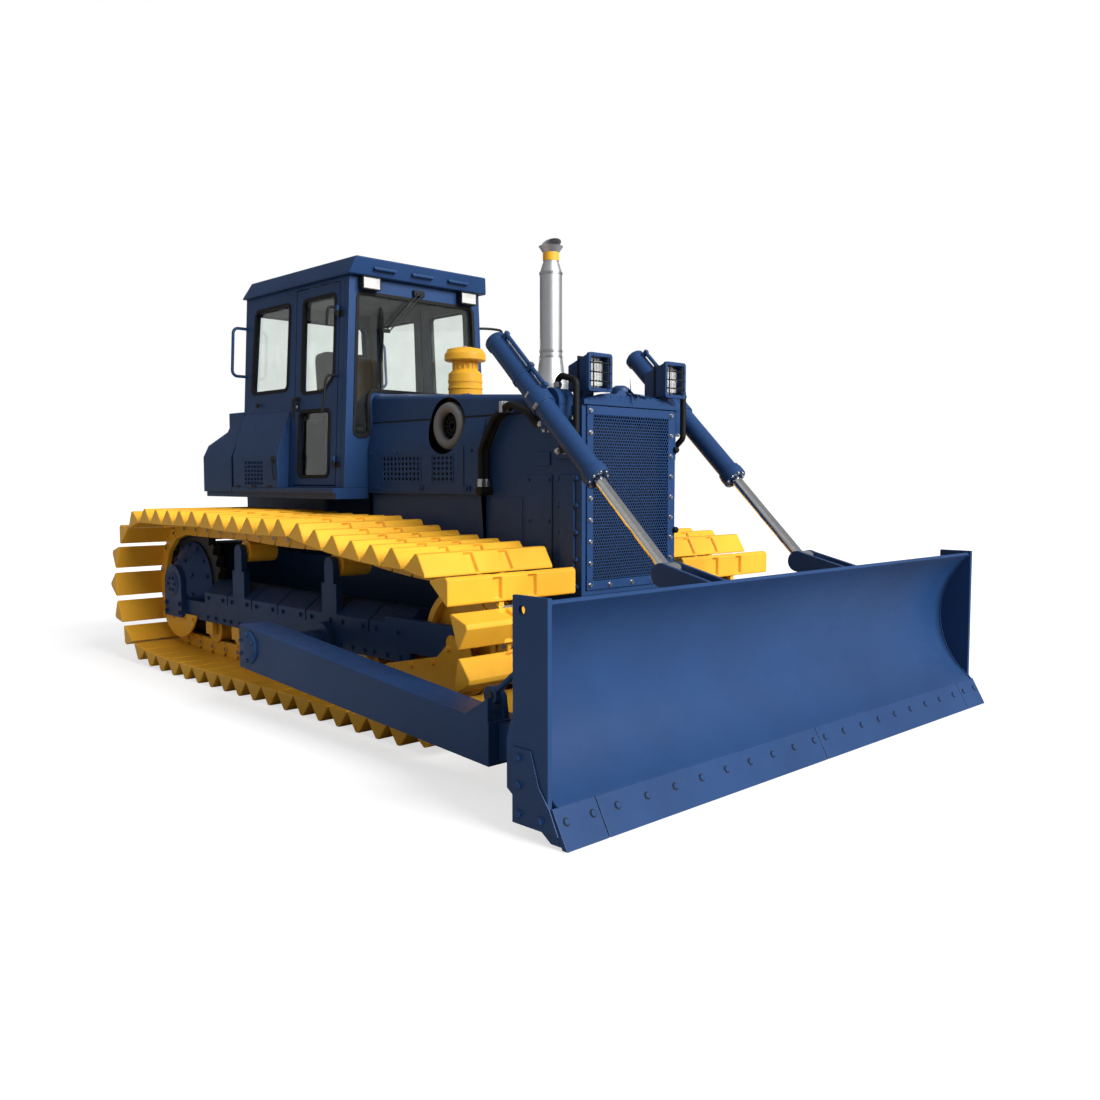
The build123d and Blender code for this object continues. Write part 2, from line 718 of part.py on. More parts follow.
def idler():
    """Front wheel with a middle flange between the rails and hollowed sides."""
    tread = link_radius(IDLER_PIN_R) - RAIL_DEPTH - SEAT_GAP
    flange = RAIL_SPREAD - RAIL_WIDTH / 2 - IDLER_FLANGE_GAP
    half = IDLER_WIDTH / 2
    wheel = cross_rod(WHEELBASE, IDLER_Z, tread, -SIDE - half, -SIDE + half)
    wheel += cross_rod(WHEELBASE, IDLER_Z, tread + IDLER_FLANGE, -SIDE - flange, -SIDE + flange)
    for side in (-1, 1):
        face = -SIDE + side * half
        floor = -SIDE + side * half * IDLER_WEB_SHARE
        wheel -= cross_rod(WHEELBASE, IDLER_Z, tread - IDLER_RIM, face, floor)
        wheel += cross_rod(WHEELBASE, IDLER_Z, IDLER_HUB_R, face, floor)
    reach = FRAME_HALF - TRUNNION_END
    return wheel + cross_rod(WHEELBASE, IDLER_Z, IDLER_SHAFT_R, -SIDE - reach, -SIDE + reach)


def track_rollers():
    """Bottom rollers with their shafts and the collars bolted under the track frame."""
    rollers = []
    tread = ROLLER_R - SEAT_GAP
    inside = FRAME_HALF - FRAME_WALL
    face = inside - ROLLER_SIDE_GAP
    end = FRAME_HALF - COLLAR_EDGE
    rail_edge = RAIL_SPREAD + RAIL_WIDTH / 2
    for i in range(ROLLER_COUNT):
        x = ROLLER_REAR_X + (ROLLER_FRONT_X - ROLLER_REAR_X) * i / (ROLLER_COUNT - 1)
        piece = cross_rod(x, ROLLER_Z, tread, -SIDE - face, -SIDE + face)
        piece += cross_rod(x, ROLLER_Z, ROLLER_SHAFT_R, -SIDE - end, -SIDE + end)
        for side in (-1, 1):
            edge = -SIDE + side * (rail_edge + ROLLER_SIDE_GAP / 2)
            piece += cross_rod(x, ROLLER_Z, tread + ROLLER_FLANGE, edge, -SIDE + side * face)
            low, high = sorted((-SIDE + side * inside, -SIDE + side * end))
            bottom = ROLLER_Z - COLLAR_DROP
            piece += box(x - COLLAR_HALF, x + COLLAR_HALF, low, high, bottom, FRAME_BOTTOM)
        rollers.append(piece)
    return rollers


def carrier_level(i):
    """Axle height at which a carrier roller just clears the rails of the top run."""
    x = CARRIER_X[i]
    rail = chain_outline(-RAIL_DEPTH)
    levels = []
    for (xa, za), (xb, zb) in zip(rail, rail[1:]):
        for step in range(11):
            px = xa + (xb - xa) * step / 10
            pz = za + (zb - za) * step / 10
            if abs(px - x) < CARRIER_R and pz > SPROCKET_Z:
                levels.append(pz - sqrt(CARRIER_R ** 2 - (px - x) ** 2))
    return min(levels) - CARRIER_GAP


def carrier_rollers():
    """Rollers under the top run, on stub shafts from their posts."""
    rollers = []
    post_face = SIDE + FRAME_HALF - POST_DEPTH
    for i, x in enumerate(CARRIER_X):
        z = carrier_level(i)
        half = RAIL_SPREAD + RAIL_WIDTH / 2 + CARRIER_EDGE
        piece = cross_rod(x, z, CARRIER_R, -SIDE - half, -SIDE + half)
        piece += cross_rod(x, z, ROLLER_SHAFT_R, -post_face, -SIDE)
        rollers.append(piece)
    return rollers


# Track frame

def frame_cover():
    """Row of folded covers along the top of the track frame, with a gap between neighbours."""
    low = SIDE + FRAME_HALF
    inner = SIDE - FRAME_HALF
    outline = [(-low, FRAME_TOP), (-low, COVER_LIP), (-SIDE - COVER_HALF, COVER_TOP)]
    outline += [(-SIDE + COVER_HALF, COVER_TOP), (-inner, COVER_LIP), (-inner, FRAME_TOP)]
    cover = front_plate(outline, FRAME_BOX_X, FRAME_FORK_X)
    length = (FRAME_FORK_X - FRAME_BOX_X) / COVER_COUNT
    for i in range(1, COVER_COUNT):
        x = FRAME_BOX_X + length * i - COVER_SLOT / 2
        floor = FRAME_TOP + COVER_SEAT
        cover -= right_box(x, x + COVER_SLOT, inner - OVERCUT, low + OVERCUT, floor, COVER_TOP + OVERCUT)
    return cover


def track_frame():
    """Channel over the rollers with a fork for the idler, an arm to the drive, posts and trunnion."""
    inner = SIDE - FRAME_HALF
    outer = SIDE + FRAME_HALF
    channel_top = ROLLER_Z + ROLLER_R + ROLLER_FLANGE + CHANNEL_ROOM
    frame = right_box(FRAME_BOX_X, FRAME_FORK_X, inner, outer, FRAME_BOTTOM, FRAME_TOP)
    frame += frame_cover()
    fork_z0 = IDLER_Z - IDLER_SHAFT_R - FORK_EDGE
    fork_z1 = IDLER_Z + IDLER_SHAFT_R + FORK_EDGE
    root = FRAME_FORK_X - FORK_ROOT
    for a0 in (inner, outer - FRAME_WALL):
        frame += right_box(root, FRAME_FRONT_X, a0, a0 + FRAME_WALL, fork_z0, fork_z1)
        frame += right_box(root, FRAME_FORK_X + FORK_EDGE, a0, a0 + FRAME_WALL, FRAME_BOTTOM, fork_z1)
    channel_rear = FRAME_BOX_X - FORK_ROOT
    frame -= right_box(channel_rear, FRAME_FRONT_X, inner + FRAME_WALL, outer - FRAME_WALL, 0, channel_top)
    arm = right_box(FRAME_REAR_X, FRAME_BOX_X, outer - FRAME_WALL, outer, FRAME_BOTTOM, FRAME_TOP)
    start = (0, -SIDE - SPROCKET_WIDTH / 2, SPROCKET_Z)
    end = (0, -outer - OVERCUT, SPROCKET_Z)
    arm -= cone(start, end, DRIVE_CONE_R + DRIVE_ROOM * 3, DRIVE_NOSE_R + DRIVE_ROOM)
    frame += arm
    frame -= cross_rod(WHEELBASE, IDLER_Z, IDLER_SHAFT_R + PIN_GAP, -outer - OVERCUT, -inner + OVERCUT)
    step = FRAME_TOP + POST_RISE
    for i, x in enumerate(CARRIER_X):
        z = carrier_level(i)
        half = POST_WIDTH / 2
        frame += right_box(x - half, x + half, outer - POST_DEPTH, outer, FRAME_TOP - POST_ROOT, step)
        frame += right_box(x - POST_HEAD_R, x + POST_HEAD_R, outer - POST_DEPTH, outer, step, z)
        frame += cross_rod(x, z, POST_HEAD_R, -outer, -outer + POST_DEPTH)
    frame += cross_rod(ARM_PIVOT_X, ARM_PIVOT_Z, TRUNNION_COLLAR_R, -outer - TRUNNION_COLLAR, -outer)
    frame += cross_rod(ARM_PIVOT_X, ARM_PIVOT_Z, ARM_PIVOT_R, -ARM_INNER - ARM_WIDTH - TRUNNION_END, -outer)
    return frame


def front_guard():
    """Bolted guard plate beside the idler's foot."""
    outline = [(WHEELBASE + IDLER_PIN_R * u, IDLER_Z + IDLER_PIN_R * w) for u, w in FRONT_GUARD_SHARES]
    face = SIDE + FRAME_HALF
    return side_plate(outline, -face - GUARD_PLATE, -face)


def rear_guard():
    """Rounded guard plate under the drive's end of the track frame."""
    face = SIDE + FRAME_HALF
    y = -face - GUARD_PLATE
    top = FRAME_BOTTOM + REAR_GUARD_RISE
    left = (FRAME_REAR_X, y, top)
    low = (FRAME_REAR_X + REAR_GUARD_LENGTH / 2, y, ROLLER_Z - REAR_GUARD_DROP)
    right = (FRAME_REAR_X + REAR_GUARD_LENGTH, y, top)
    face_wire = make_face(ThreePointArc(left, low, right) + Line(right, left))
    plate = extrude(face_wire, amount=GUARD_PLATE, dir=(0, 1, 0))
    half = DRIVE_BRACKET_R + DRIVE_ROOM / 2
    depth = face + DRIVE_BRACKET_DEPTH + DRIVE_ROOM
    return plate - right_box(-half, half, face - OVERCUT, depth, FRAME_BOTTOM - DRIVE_ROOM / 2, SPROCKET_Z)


# Hull

def main_frame():
    """Two side beams on a belly plate with the front block, the pivot shaft and the equalizer bar."""
    inner = HULL_HALF - HULL_BEAM
    floor = HULL_BOTTOM + HULL_PLATE
    frame = box(HULL_REAR_X, GUARD_REAR_X, -HULL_HALF, HULL_HALF, HULL_BOTTOM, floor)
    for side in (-1, 1):
        y = side * (HULL_HALF - HULL_BEAM / 2)
        low = y - HULL_BEAM / 2
        frame += box(HULL_REAR_X, GUARD_REAR_X, low, low + HULL_BEAM, HULL_BOTTOM, HULL_TOP)
    frame += box(GUARD_REAR_X, GUARD_FRONT_X, -HULL_HALF, HULL_HALF, HULL_BOTTOM, GUARD_BOTTOM)
    frame += box(GUARD_REAR_X - FRONT_BULKHEAD, GUARD_REAR_X, -inner, inner, HULL_BOTTOM, GUARD_BOTTOM)
    reach = SIDE - FRAME_HALF
    bar_rear = EQUALIZER_X - EQUALIZER_HALF
    bar_front = EQUALIZER_X + EQUALIZER_HALF
    frame += box(bar_rear, bar_front, -reach, reach, HULL_BOTTOM - EQUALIZER_DROP, floor)
    level = HULL_BOTTOM + PIVOT_SHAFT_RISE
    for side in (-1, 1):
        frame += cross_rod(PIVOT_SHAFT_X, level, PIVOT_SHAFT_R, side * inner, side * reach)
        frame -= cross_rod(0, SPROCKET_Z, AXLE_HOLE_R, side * inner, side * HULL_HALF)
    return frame


def transmission_case():
    """Driveline housing under the platform, with a bolt pattern on its rear face."""
    bottom = HULL_BOTTOM + HULL_PLATE
    case = box(CASE_REAR_X, CASE_FRONT_X, -CASE_HALF, CASE_HALF, bottom, DECK_BOTTOM)
    case = fillet(case.edges().filter_by(Axis.Z), CASE_CORNER_R)
    for y in (-REAR_BOLT_Y / 2, REAR_BOLT_Y / 2):
        for z in (-REAR_BOLT_Z / 2, REAR_BOLT_Z / 2):
            level = REAR_BOLT_LEVEL + z
            mouth = (CASE_REAR_X - OVERCUT, y, level)
            case -= rod(mouth, (CASE_REAR_X + REAR_BOLT_DEPTH, y, level), REAR_BOLT_R)
    return case


def drawbar():
    """Rear clevis for a vertical pin, on a plate bolted to the case."""
    reach = CASE_REAR_X - DRAWBAR_REACH
    half = DRAWBAR_HALF
    tall = DRAWBAR_JAW / 2 + DRAWBAR_PLATE + DRAWBAR_PAD
    low = DRAWBAR_LEVEL - tall
    high = DRAWBAR_LEVEL + tall
    piece = box(CASE_REAR_X - DRAWBAR_PAD, CASE_REAR_X, -half * 2, half * 2, low, high)
    for side in (-1, 1):
        z0 = DRAWBAR_LEVEL + side * (DRAWBAR_JAW / 2 + DRAWBAR_PLATE / 2) - DRAWBAR_PLATE / 2
        z1 = z0 + DRAWBAR_PLATE
        plate = box(reach + half, CASE_REAR_X, -half, half, z0, z1)
        plate += rod((reach + half, 0, z0), (reach + half, 0, z1), half)
        plate -= rod((reach + half, 0, z0 - OVERCUT), (reach + half, 0, z1 + OVERCUT), DRAWBAR_PIN_R)
        plate -= box(CASE_REAR_X, CASE_REAR_X + half, -half, half, z0 - OVERCUT, z1 + OVERCUT)
        piece += plate
    return piece


def engine_block():
    """The engine as one plain block on the belly plate."""
    bottom = HULL_BOTTOM + HULL_PLATE
    return box(ENGINE_REAR_X, ENGINE_FRONT_X, -ENGINE_HALF, ENGINE_HALF, bottom, ENGINE_TOP)


# Radiator guard and lamps

def crown_face(x, bottom):
    """Face across the guard at a station, from a bottom line up to the crowned cap."""
    left = (x, HULL_HALF, GUARD_SHOULDER)
    right = (x, -HULL_HALF, GUARD_SHOULDER)
    crown = ThreePointArc(left, (x, 0, GUARD_CROWN), right)
    return make_face(crown + Polyline(right, (x, -HULL_HALF, bottom), (x, HULL_HALF, bottom), left))


def radiator_guard():
    """Frame round the radiator with a crowned cap that stands over the grille."""
    guard = extrude(crown_face(GUARD_REAR_X, GUARD_BOTTOM), amount=GUARD_DEPTH, dir=(1, 0, 0))
    guard += extrude(crown_face(GUARD_FRONT_X, GUARD_SHOULDER - CAP_BAND), amount=CAP_LIP, dir=(1, 0, 0))
    front = guard.faces().sort_by(Axis.X)[-1]
    rim = [e for e in front.edges() if e.center().Z > GUARD_SHOULDER]
    guard = fillet(rim, CAP_EDGE_R)
    inside = HULL_HALF - GUARD_WALL
    opening_top = GRILLE_TOP - GRILLE_EDGE / 2
    floor = GUARD_BOTTOM + GUARD_WALL
    guard -= box(GUARD_REAR_X - OVERCUT, GUARD_FRONT_X + OVERCUT, -inside, inside, floor, opening_top)
    return guard


def radiator_core():
    """Cooling block filling the guard."""
    inside = HULL_HALF - GUARD_WALL - SEAT_GAP
    x0 = (GUARD_REAR_X + GUARD_FRONT_X - CORE_DEPTH) / 2
    top = GRILLE_TOP - GRILLE_EDGE / 2 - SEAT_GAP
    return box(x0, x0 + CORE_DEPTH, -inside, inside, GUARD_BOTTOM + GUARD_WALL, top)


def radiator_grille():
    """Perforated plate bolted on the guard's front."""
    half = HULL_HALF - GUARD_WALL + GRILLE_EDGE
    bottom = GUARD_BOTTOM + GUARD_WALL - GRILLE_EDGE
    plate = box(GUARD_FRONT_X, GUARD_FRONT_X + GRILLE_PLATE, -half, half, bottom, GRILLE_TOP)
    columns = int((2 * half - 2 * GRILLE_EDGE) / GRILLE_STEP)
    rows = int((GRILLE_TOP - bottom - 2 * GRILLE_EDGE) / GRILLE_STEP)
    middle = (bottom + GRILLE_TOP) / 2
    x0 = GUARD_FRONT_X - OVERCUT
    x1 = GUARD_FRONT_X + GRILLE_PLATE + OVERCUT
    holes = []
    for i in range(columns):
        for j in range(rows):
            y = (i - (columns - 1) / 2) * GRILLE_STEP
            z = middle + (j - (rows - 1) / 2) * GRILLE_STEP
            h = GRILLE_HOLE / 2
            holes.append(box(x0, x1, y - h, y + h, z - h, z + h))
    return plate - holes


def lamp_shell(inset):
    """Tapered lamp housing, drawn smaller by an inset."""
    half = LAMP_WIDTH / 2 - inset
    rear = half * LAMP_REAR_SHARE
    height = LAMP_HEIGHT - 2 * inset
    middle = LAMP_BOTTOM + LAMP_HEIGHT / 2
    faces = []
    for x, w, h in ((LAMP_REAR_X + inset, rear, height * LAMP_REAR_SHARE), (LAMP_FRONT_X, half, height)):
        z0 = LAMP_BOTTOM + inset if inset else LAMP_BOTTOM
        corners = [(x, -LAMP_OFFSET - w, z0), (x, -LAMP_OFFSET + w, z0)]
        corners += [(x, -LAMP_OFFSET + w, z0 + h), (x, -LAMP_OFFSET - w, z0 + h)]
        faces.append(make_face(Polyline(*corners, close=True)))
    return loft(faces)


def headlamp(guard):
    """Open-fronted lamp box standing on the guard's cap by a foot."""
    shell = lamp_shell(0) - lamp_shell(LAMP_WALL)
    x0 = LAMP_REAR_X + LAMP_FOOT_INSET
    x1 = GUARD_FRONT_X - LAMP_FOOT_INSET
    a0 = LAMP_OFFSET - LAMP_FOOT_HALF
    a1 = LAMP_OFFSET + LAMP_FOOT_HALF
    foot = right_box(x0, x1, a0, a1, GUARD_SHOULDER - LAMP_FOOT_INSET, LAMP_BOTTOM + LAMP_WALL / 2)
    return shell + (foot - Pos(0, 0, SEAT_GAP) * guard)


def headlamp_lens():
    """Rectangular lamp set inside the box, on its floor."""
    half = (LAMP_WIDTH / 2 - LAMP_WALL) * LENS_SHARE
    x0 = LAMP_FRONT_X - LENS_SETBACK
    z0 = LAMP_BOTTOM + LAMP_WALL
    top = z0 + (LAMP_HEIGHT - 2 * LAMP_WALL) * LENS_SHARE
    return right_box(x0, x0 + LENS_DEPTH, LAMP_OFFSET - half, LAMP_OFFSET + half, z0, top)


# Hood

def hood_top(x):
    """Height of the hood's top sheet at a station."""
    return HOOD_REAR_TOP - HOOD_SLOPE * (x - HOOD_REAR_X)


def hood_form(inset, bottom):
    """Solid form of the hood, drawn smaller by an inset."""
    outline = [(HOOD_REAR_X, bottom), (HOOD_REAR_X, HOOD_REAR_TOP - inset)]
    outline += [(GUARD_REAR_X, HOOD_FRONT_TOP - inset), (GUARD_REAR_X, bottom)]
    form = side_plate(outline, -HOOD_HALF + inset, HOOD_HALF - inset)
    top = form.faces().sort_by(Axis.Z)[-1]
    edges = [e for e in top.edges() if abs(e.center().Y) > HOOD_HALF / 2]
    return fillet(edges, HOOD_EDGE_R - inset)


def intake_arch():
    """Round opening through the right side of the hood and of its panel."""
    outer = HOOD_HALF + PANEL_BULGE + OVERCUT
    return cross_rod(INTAKE_X, INTAKE_Z, INTAKE_ARCH_R, -outer, -HOOD_HALF + HOOD_EDGE_R)


def intake_elbow():
    """Air intake ring standing in the arch, on a pipe from the engine."""
    y = -HOOD_HALF - INTAKE_WALL
    ring = Plane(origin=(INTAKE_X, y, INTAKE_Z), z_dir=(0, 1, 0)) * Torus(INTAKE_R, INTAKE_TUBE_R)
    pipe = cross_rod(INTAKE_X, INTAKE_Z, INTAKE_R, y, -ENGINE_HALF)
    bore = INTAKE_R - INTAKE_WALL
    return ring + pipe - cross_rod(INTAKE_X, INTAKE_Z, bore, y - INTAKE_TUBE_R, -ENGINE_HALF - INTAKE_WALL)


def hood():
    """Sheet cover over the engine, with the intake's arch in its right side."""
    return hood_form(0, HOOD_SEAM) - hood_form(SHEET, HOOD_SEAM - SHEET) - intake_arch()


def patch_holes(x_middle, columns):
    """Hexagon holes of one perforated patch in the right engine side panel."""
    y = -HOOD_HALF - PANEL_BULGE - OVERCUT
    holes = []
    for i in range(columns):
        for j in range(PATCH_ROWS):
            x = x_middle + (i - (columns - 1) / 2) * PATCH_STEP_X
            z = HOOD_SEAM - PATCH_DROP + (j - (PATCH_ROWS - 1) / 2) * PATCH_STEP_Z
            spot = Plane(origin=(x, y, z), x_dir=(1, 0, 0), z_dir=(0, 1, 0))
            holes.append(extrude(spot * RegularPolygon(PATCH_HOLE_R, 6), amount=SHEET + 2 * OVERCUT))
    return holes


def side_panel():
    """Folded engine side panel with two perforated patches, standing on the main frame's beam."""
    out = HOOD_HALF + PANEL_BULGE
    foot = HULL_HALF
    step = PANEL_STEP - SHEET
    outer = [(-HOOD_HALF, HOOD_SEAM), (-out, PANEL_CREASE), (-out, step), (-foot, step), (-foot, HULL_TOP)]
    inner = [(-foot + SHEET, HULL_TOP), (-foot + SHEET, PANEL_STEP), (-out + SHEET, PANEL_STEP)]
    inner += [(-out + SHEET, PANEL_CREASE), (-HOOD_HALF + SHEET, HOOD_SEAM)]
    rear = front_plate(outer + inner, HOOD_REAR_X, PANEL_BREAK_X)
    rear -= patch_holes(HOOD_REAR_X + REAR_PATCH_X, REAR_PATCH_COLUMNS)
    rear -= patch_holes(HOOD_REAR_X + FRONT_PATCH_X, FRONT_PATCH_COLUMNS)
    front = right_box(PANEL_BREAK_X, GUARD_REAR_X, HOOD_HALF - SHEET, HOOD_HALF, HULL_TOP, HOOD_SEAM)
    return rear, front


def side_panels():
    """Panels of both sides, the right one opened by the intake's arch."""
    rear, front = side_panel()
    return [rear - intake_arch(), front, mirror(rear, about=Plane.XZ), mirror(front, about=Plane.XZ)]


def exhaust_stack(cover):
    """Stack on its collar, with a flared outlet and a bore at the top."""
    deck = hood_top(EXHAUST_X)
    collar = deck + EXHAUST_COLLAR
    shoulder = collar + EXHAUST_SHOULDER
    top = deck + EXHAUST_HEIGHT
    neck = top - EXHAUST_NECK
    mouth = EXHAUST_MOUTH_R
    flare = top - EXHAUST_SHOULDER
    rim = flare + EXHAUST_FLARE_RISE
    wall = EXHAUST_WALL
    profile = [
        (0, deck - HOOD_EDGE_R), (EXHAUST_COLLAR_R, deck - HOOD_EDGE_R), (EXHAUST_COLLAR_R, collar),
        (EXHAUST_COLLAR_R - wall, shoulder), (EXHAUST_R, shoulder + EXHAUST_TAPER),
        (EXHAUST_R, neck - EXHAUST_NECK_TAPER), (mouth, neck), (mouth, flare), (mouth + EXHAUST_FLARE, rim),
        (mouth + EXHAUST_FLARE - wall, rim), (mouth - wall, flare), (mouth - wall, neck - EXHAUST_BORE),
        (0, neck - EXHAUST_BORE),
    ]
    return turned(EXHAUST_X, profile) - cover


def air_precleaner(cover):
    """Bowl with a wide rain cap."""
    deck = hood_top(PRECLEANER_X)
    r = PRECLEANER_R
    top = deck + PRECLEANER_HEIGHT
    cap = PRECLEANER_CAP_R
    neck = PRECLEANER_NECK_R
    levels = [top - PRECLEANER_HEIGHT * share for share in PRECLEANER_SHARES]
    bowl, bowl_top, neck_top, cap_low, cap_high, crown = levels
    profile = [
        (0, deck - HOOD_EDGE_R), (r, deck - HOOD_EDGE_R), (r, bowl), (neck, bowl_top), (neck, neck_top),
        (cap, cap_low), (cap, cap_high), (r, crown), (PRECLEANER_DOME_R, top), (0, top),
    ]
    return turned(PRECLEANER_X, profile) - cover


def hose(points, bend):
    """Bent hydraulic hose through the given points."""
    line = FilletPolyline(*points, radius=bend)
    return sweep(Plane(origin=line @ 0, z_dir=line % 0) * Circle(HOSE_R), path=line)


def hydraulic_lines():
    """Right-hand hoses: two from the side panel to the cylinder's yoke and one from the yoke to its plate."""
    end_x = TRUNNION_X - YOKE_R
    span = end_x - PANEL_BREAK_X
    near = HOOD_HALF + HOSE_R + HOSE_OFF
    bundle = None
    for a in (near, near + HOSE_LAP):
        line = [(PANEL_BREAK_X + span * u, -a, HOOD_SEAM - STEP_DROP * w) for u, w in HOSE_SHARES]
        bundle = hose(line, HOSE_BEND) if bundle is None else bundle + hose(line, HOSE_BEND)
    x, z = line[0][0], line[0][2]
    bundle += cross_rod(x, z, FITTING_R, -near - HOSE_LAP - HOSE_R, -HOOD_HALF)
    a = HULL_HALF + YOKE_PLATE + HOSE_R + HOSE_OFF
    top = TRUNNION_Z + YOKE_R
    nose = GUARD_FRONT_X + HOSE_OFF
    foot = (GUARD_FRONT_X - HOSE_BEND, -a, TRUNNION_Z - HOSE_FALL)
    drop = [(TRUNNION_X, -a, top), (TRUNNION_X, -a, top + HOSE_BEND), (nose, -a, top + HOSE_BEND / 2)]
    drop += [(nose, -a, TRUNNION_Z - HOSE_FALL + HOSE_BEND), foot]
    fitting = cross_rod(foot[0], foot[2], FITTING_R, -a - HOSE_R, -HULL_HALF - YOKE_PLATE)
    branch = hose(drop, HOSE_BEND / 2) + fitting
    return bundle, branch


# Platform, tank and boxes

def cab_half(z):
    """Half width of the cab's outside at a height."""
    return CAB_HALF_TOP + (CAB_TOP - z) * tan(LEAN)


def platform():
    """Deck plate with the raised cab floor and side sills."""
    half = DECK_HALF - DECK_INSET
    deck = box(TANK_REAR_X, CAB_FRONT_X, -half, half, DECK_BOTTOM, DECK_TOP)
    return deck + box(CAB_REAR_X, CAB_FRONT_X, -DECK_HALF, DECK_HALF, DECK_TOP, FLOOR_TOP)


def side_box():
    """Slanted box beside the cab's rear half, with a vent of shallow pockets."""
    outline = [(-cab_half(FLOOR_TOP) - BOX_GAP, FLOOR_TOP), (-DECK_HALF, FLOOR_TOP), (-DECK_HALF, BOX_FOLD)]
    outline += [(-cab_half(BOX_TOP) - BOX_TOP_OUT, BOX_TOP), (-cab_half(BOX_TOP) - BOX_GAP, BOX_TOP)]
    pockets = []
    for i in range(VENT_COLUMNS):
        for j in range(VENT_ROWS):
            x0 = BOX_REAR_X + VENT_FROM_REAR + VENT_STEP_X * i
            z0 = FLOOR_TOP + VENT_RISE + VENT_STEP_Z * j
            x1 = x0 + VENT_STEP_X - VENT_BAR
            z1 = z0 + VENT_STEP_Z - VENT_BAR
            pockets.append(right_box(x0, x1, DECK_HALF - VENT_DEPTH, DECK_HALF + OVERCUT, z0, z1))
    return front_plate(outline, BOX_REAR_X, BOX_FRONT_X) - pockets


def fuel_tank():
    """Tank across the rear of the platform, with a low shelf behind its raised top."""
    half = CAB_HALF_TOP + TANK_SHOULDER_OUT
    shoulder = TANK_TOP - TANK_SHOULDER_DROP
    right = [(-DECK_HALF, DECK_TOP), (-DECK_HALF, BOX_FOLD), (-half, shoulder), (-half, TANK_TOP)]
    outline = right + [(-y, z) for y, z in reversed(right)]
    tank = front_plate(outline, TANK_REAR_X, CAB_REAR_X - TANK_GAP)
    back = FLOOR_TOP + TANK_BACK_RISE
    shelf = FLOOR_TOP + TANK_SHELF_RISE
    shelf_x = TANK_REAR_X + TANK_SHELF
    behind_x = TANK_REAR_X - OVERCUT
    over = TANK_TOP + OVERCUT
    step = [(behind_x, back), (TANK_REAR_X, back), (shelf_x, shelf), (shelf_x, over), (behind_x, over)]
    return tank - side_plate(step, -DECK_HALF - OVERCUT, DECK_HALF + OVERCUT)


# Cab

SIDE_FOOT = (0, -cab_half(FLOOR_TOP), FLOOR_TOP)
SIDE_PLANE = Plane(origin=SIDE_FOOT, x_dir=(1, 0, 0), z_dir=(0, -cos(LEAN), sin(LEAN)))


def slant(z):
    """Distance up the leaning side of the cab that reaches a height."""
    return (z - FLOOR_TOP) / cos(LEAN)


def side_face(points, radius=0):
    """Face on the cab's leaning side with (x, z) corners, rounded if a radius is given."""
    face = make_face(Polyline(*[(x, slant(z)) for x, z in points], close=True))
    if radius:
        face = fillet(face.vertices(), radius)
    return SIDE_PLANE * face


def side_slab(points, outside, inside, radius=0):
    """Slab parallel to the cab's side, between two depths measured inwards from its outside."""
    face = Pos(0, outside * cos(LEAN), -outside * sin(LEAN)) * side_face(points, radius)
    return extrude(face, amount=inside - outside, dir=(0, cos(LEAN), -sin(LEAN)))


def grown(points, by):
    """Rectangle of two opposite corners, grown on every side."""
    (x0, z0), (x1, z1) = points
    return [(x0 - by, z0 - by), (x1 + by, z0 - by), (x1 + by, z1 + by), (x0 - by, z1 + by)]


DOOR_RECT = [(DOOR_REAR_X, DOOR_BOTTOM), (DOOR_FRONT_X, DOOR_TOP)]
DOOR_UPPER_WINDOW = [
    (DOOR_REAR_X + DOOR_STILE, SILL_LINE), (DOOR_FRONT_X - DOOR_HINGE_STILE - DOOR_CUT_X, SILL_LINE),
    (DOOR_FRONT_X - DOOR_HINGE_STILE, SILL_LINE + DOOR_CUT_Z), (DOOR_FRONT_X - DOOR_HINGE_STILE, HEADER_LINE),
    (DOOR_REAR_X + DOOR_STILE, HEADER_LINE),
]
DOOR_LOWER_WINDOW = grown([
    (DOOR_REAR_X + DOOR_LOW_REAR, DOOR_BOTTOM + DOOR_LOW_RISE),
    (DOOR_FRONT_X - DOOR_LOW_FRONT, SILL_LINE - DOOR_RAIL),
], 0)
REAR_SIDE_WINDOW = [
    (CAB_REAR_X + SIDE_WINDOW_REAR, SILL_LINE + SILL_STEP),
    (DOOR_REAR_X - SIDE_WINDOW_FRONT - SIDE_WINDOW_SKEW, SILL_LINE + SILL_STEP),
    (DOOR_REAR_X - SIDE_WINDOW_FRONT, HEADER_LINE),
    (CAB_REAR_X + SIDE_WINDOW_REAR + SIDE_WINDOW_RAKE, HEADER_LINE),
]


def cab_side():
    """Side wall between the front and rear walls, with the door opening and the rear window cut."""
    x0 = CAB_REAR_X + CAB_WALL
    x1 = CAB_FRONT_X - CAB_WALL
    wall = side_slab([(x0, FLOOR_TOP), (x1, FLOOR_TOP), (x1, CAB_TOP), (x0, CAB_TOP)], 0, CAB_WALL)
    wall -= side_slab(grown(DOOR_RECT, DOOR_GAP), -CAB_WALL, 2 * CAB_WALL)
    wall -= side_slab(REAR_SIDE_WINDOW, -CAB_WALL, 2 * CAB_WALL, WINDOW_R)
    return wall & box(0, CAB_FRONT_X, -2 * DECK_HALF, 0, FLOOR_TOP, CAB_TOP)


def pane(points, radius=WINDOW_R):
    """Glass pane in the middle of the wall's depth."""
    middle = CAB_WALL / 2
    return side_slab(points, middle - GLASS / 2, middle + GLASS / 2, radius)


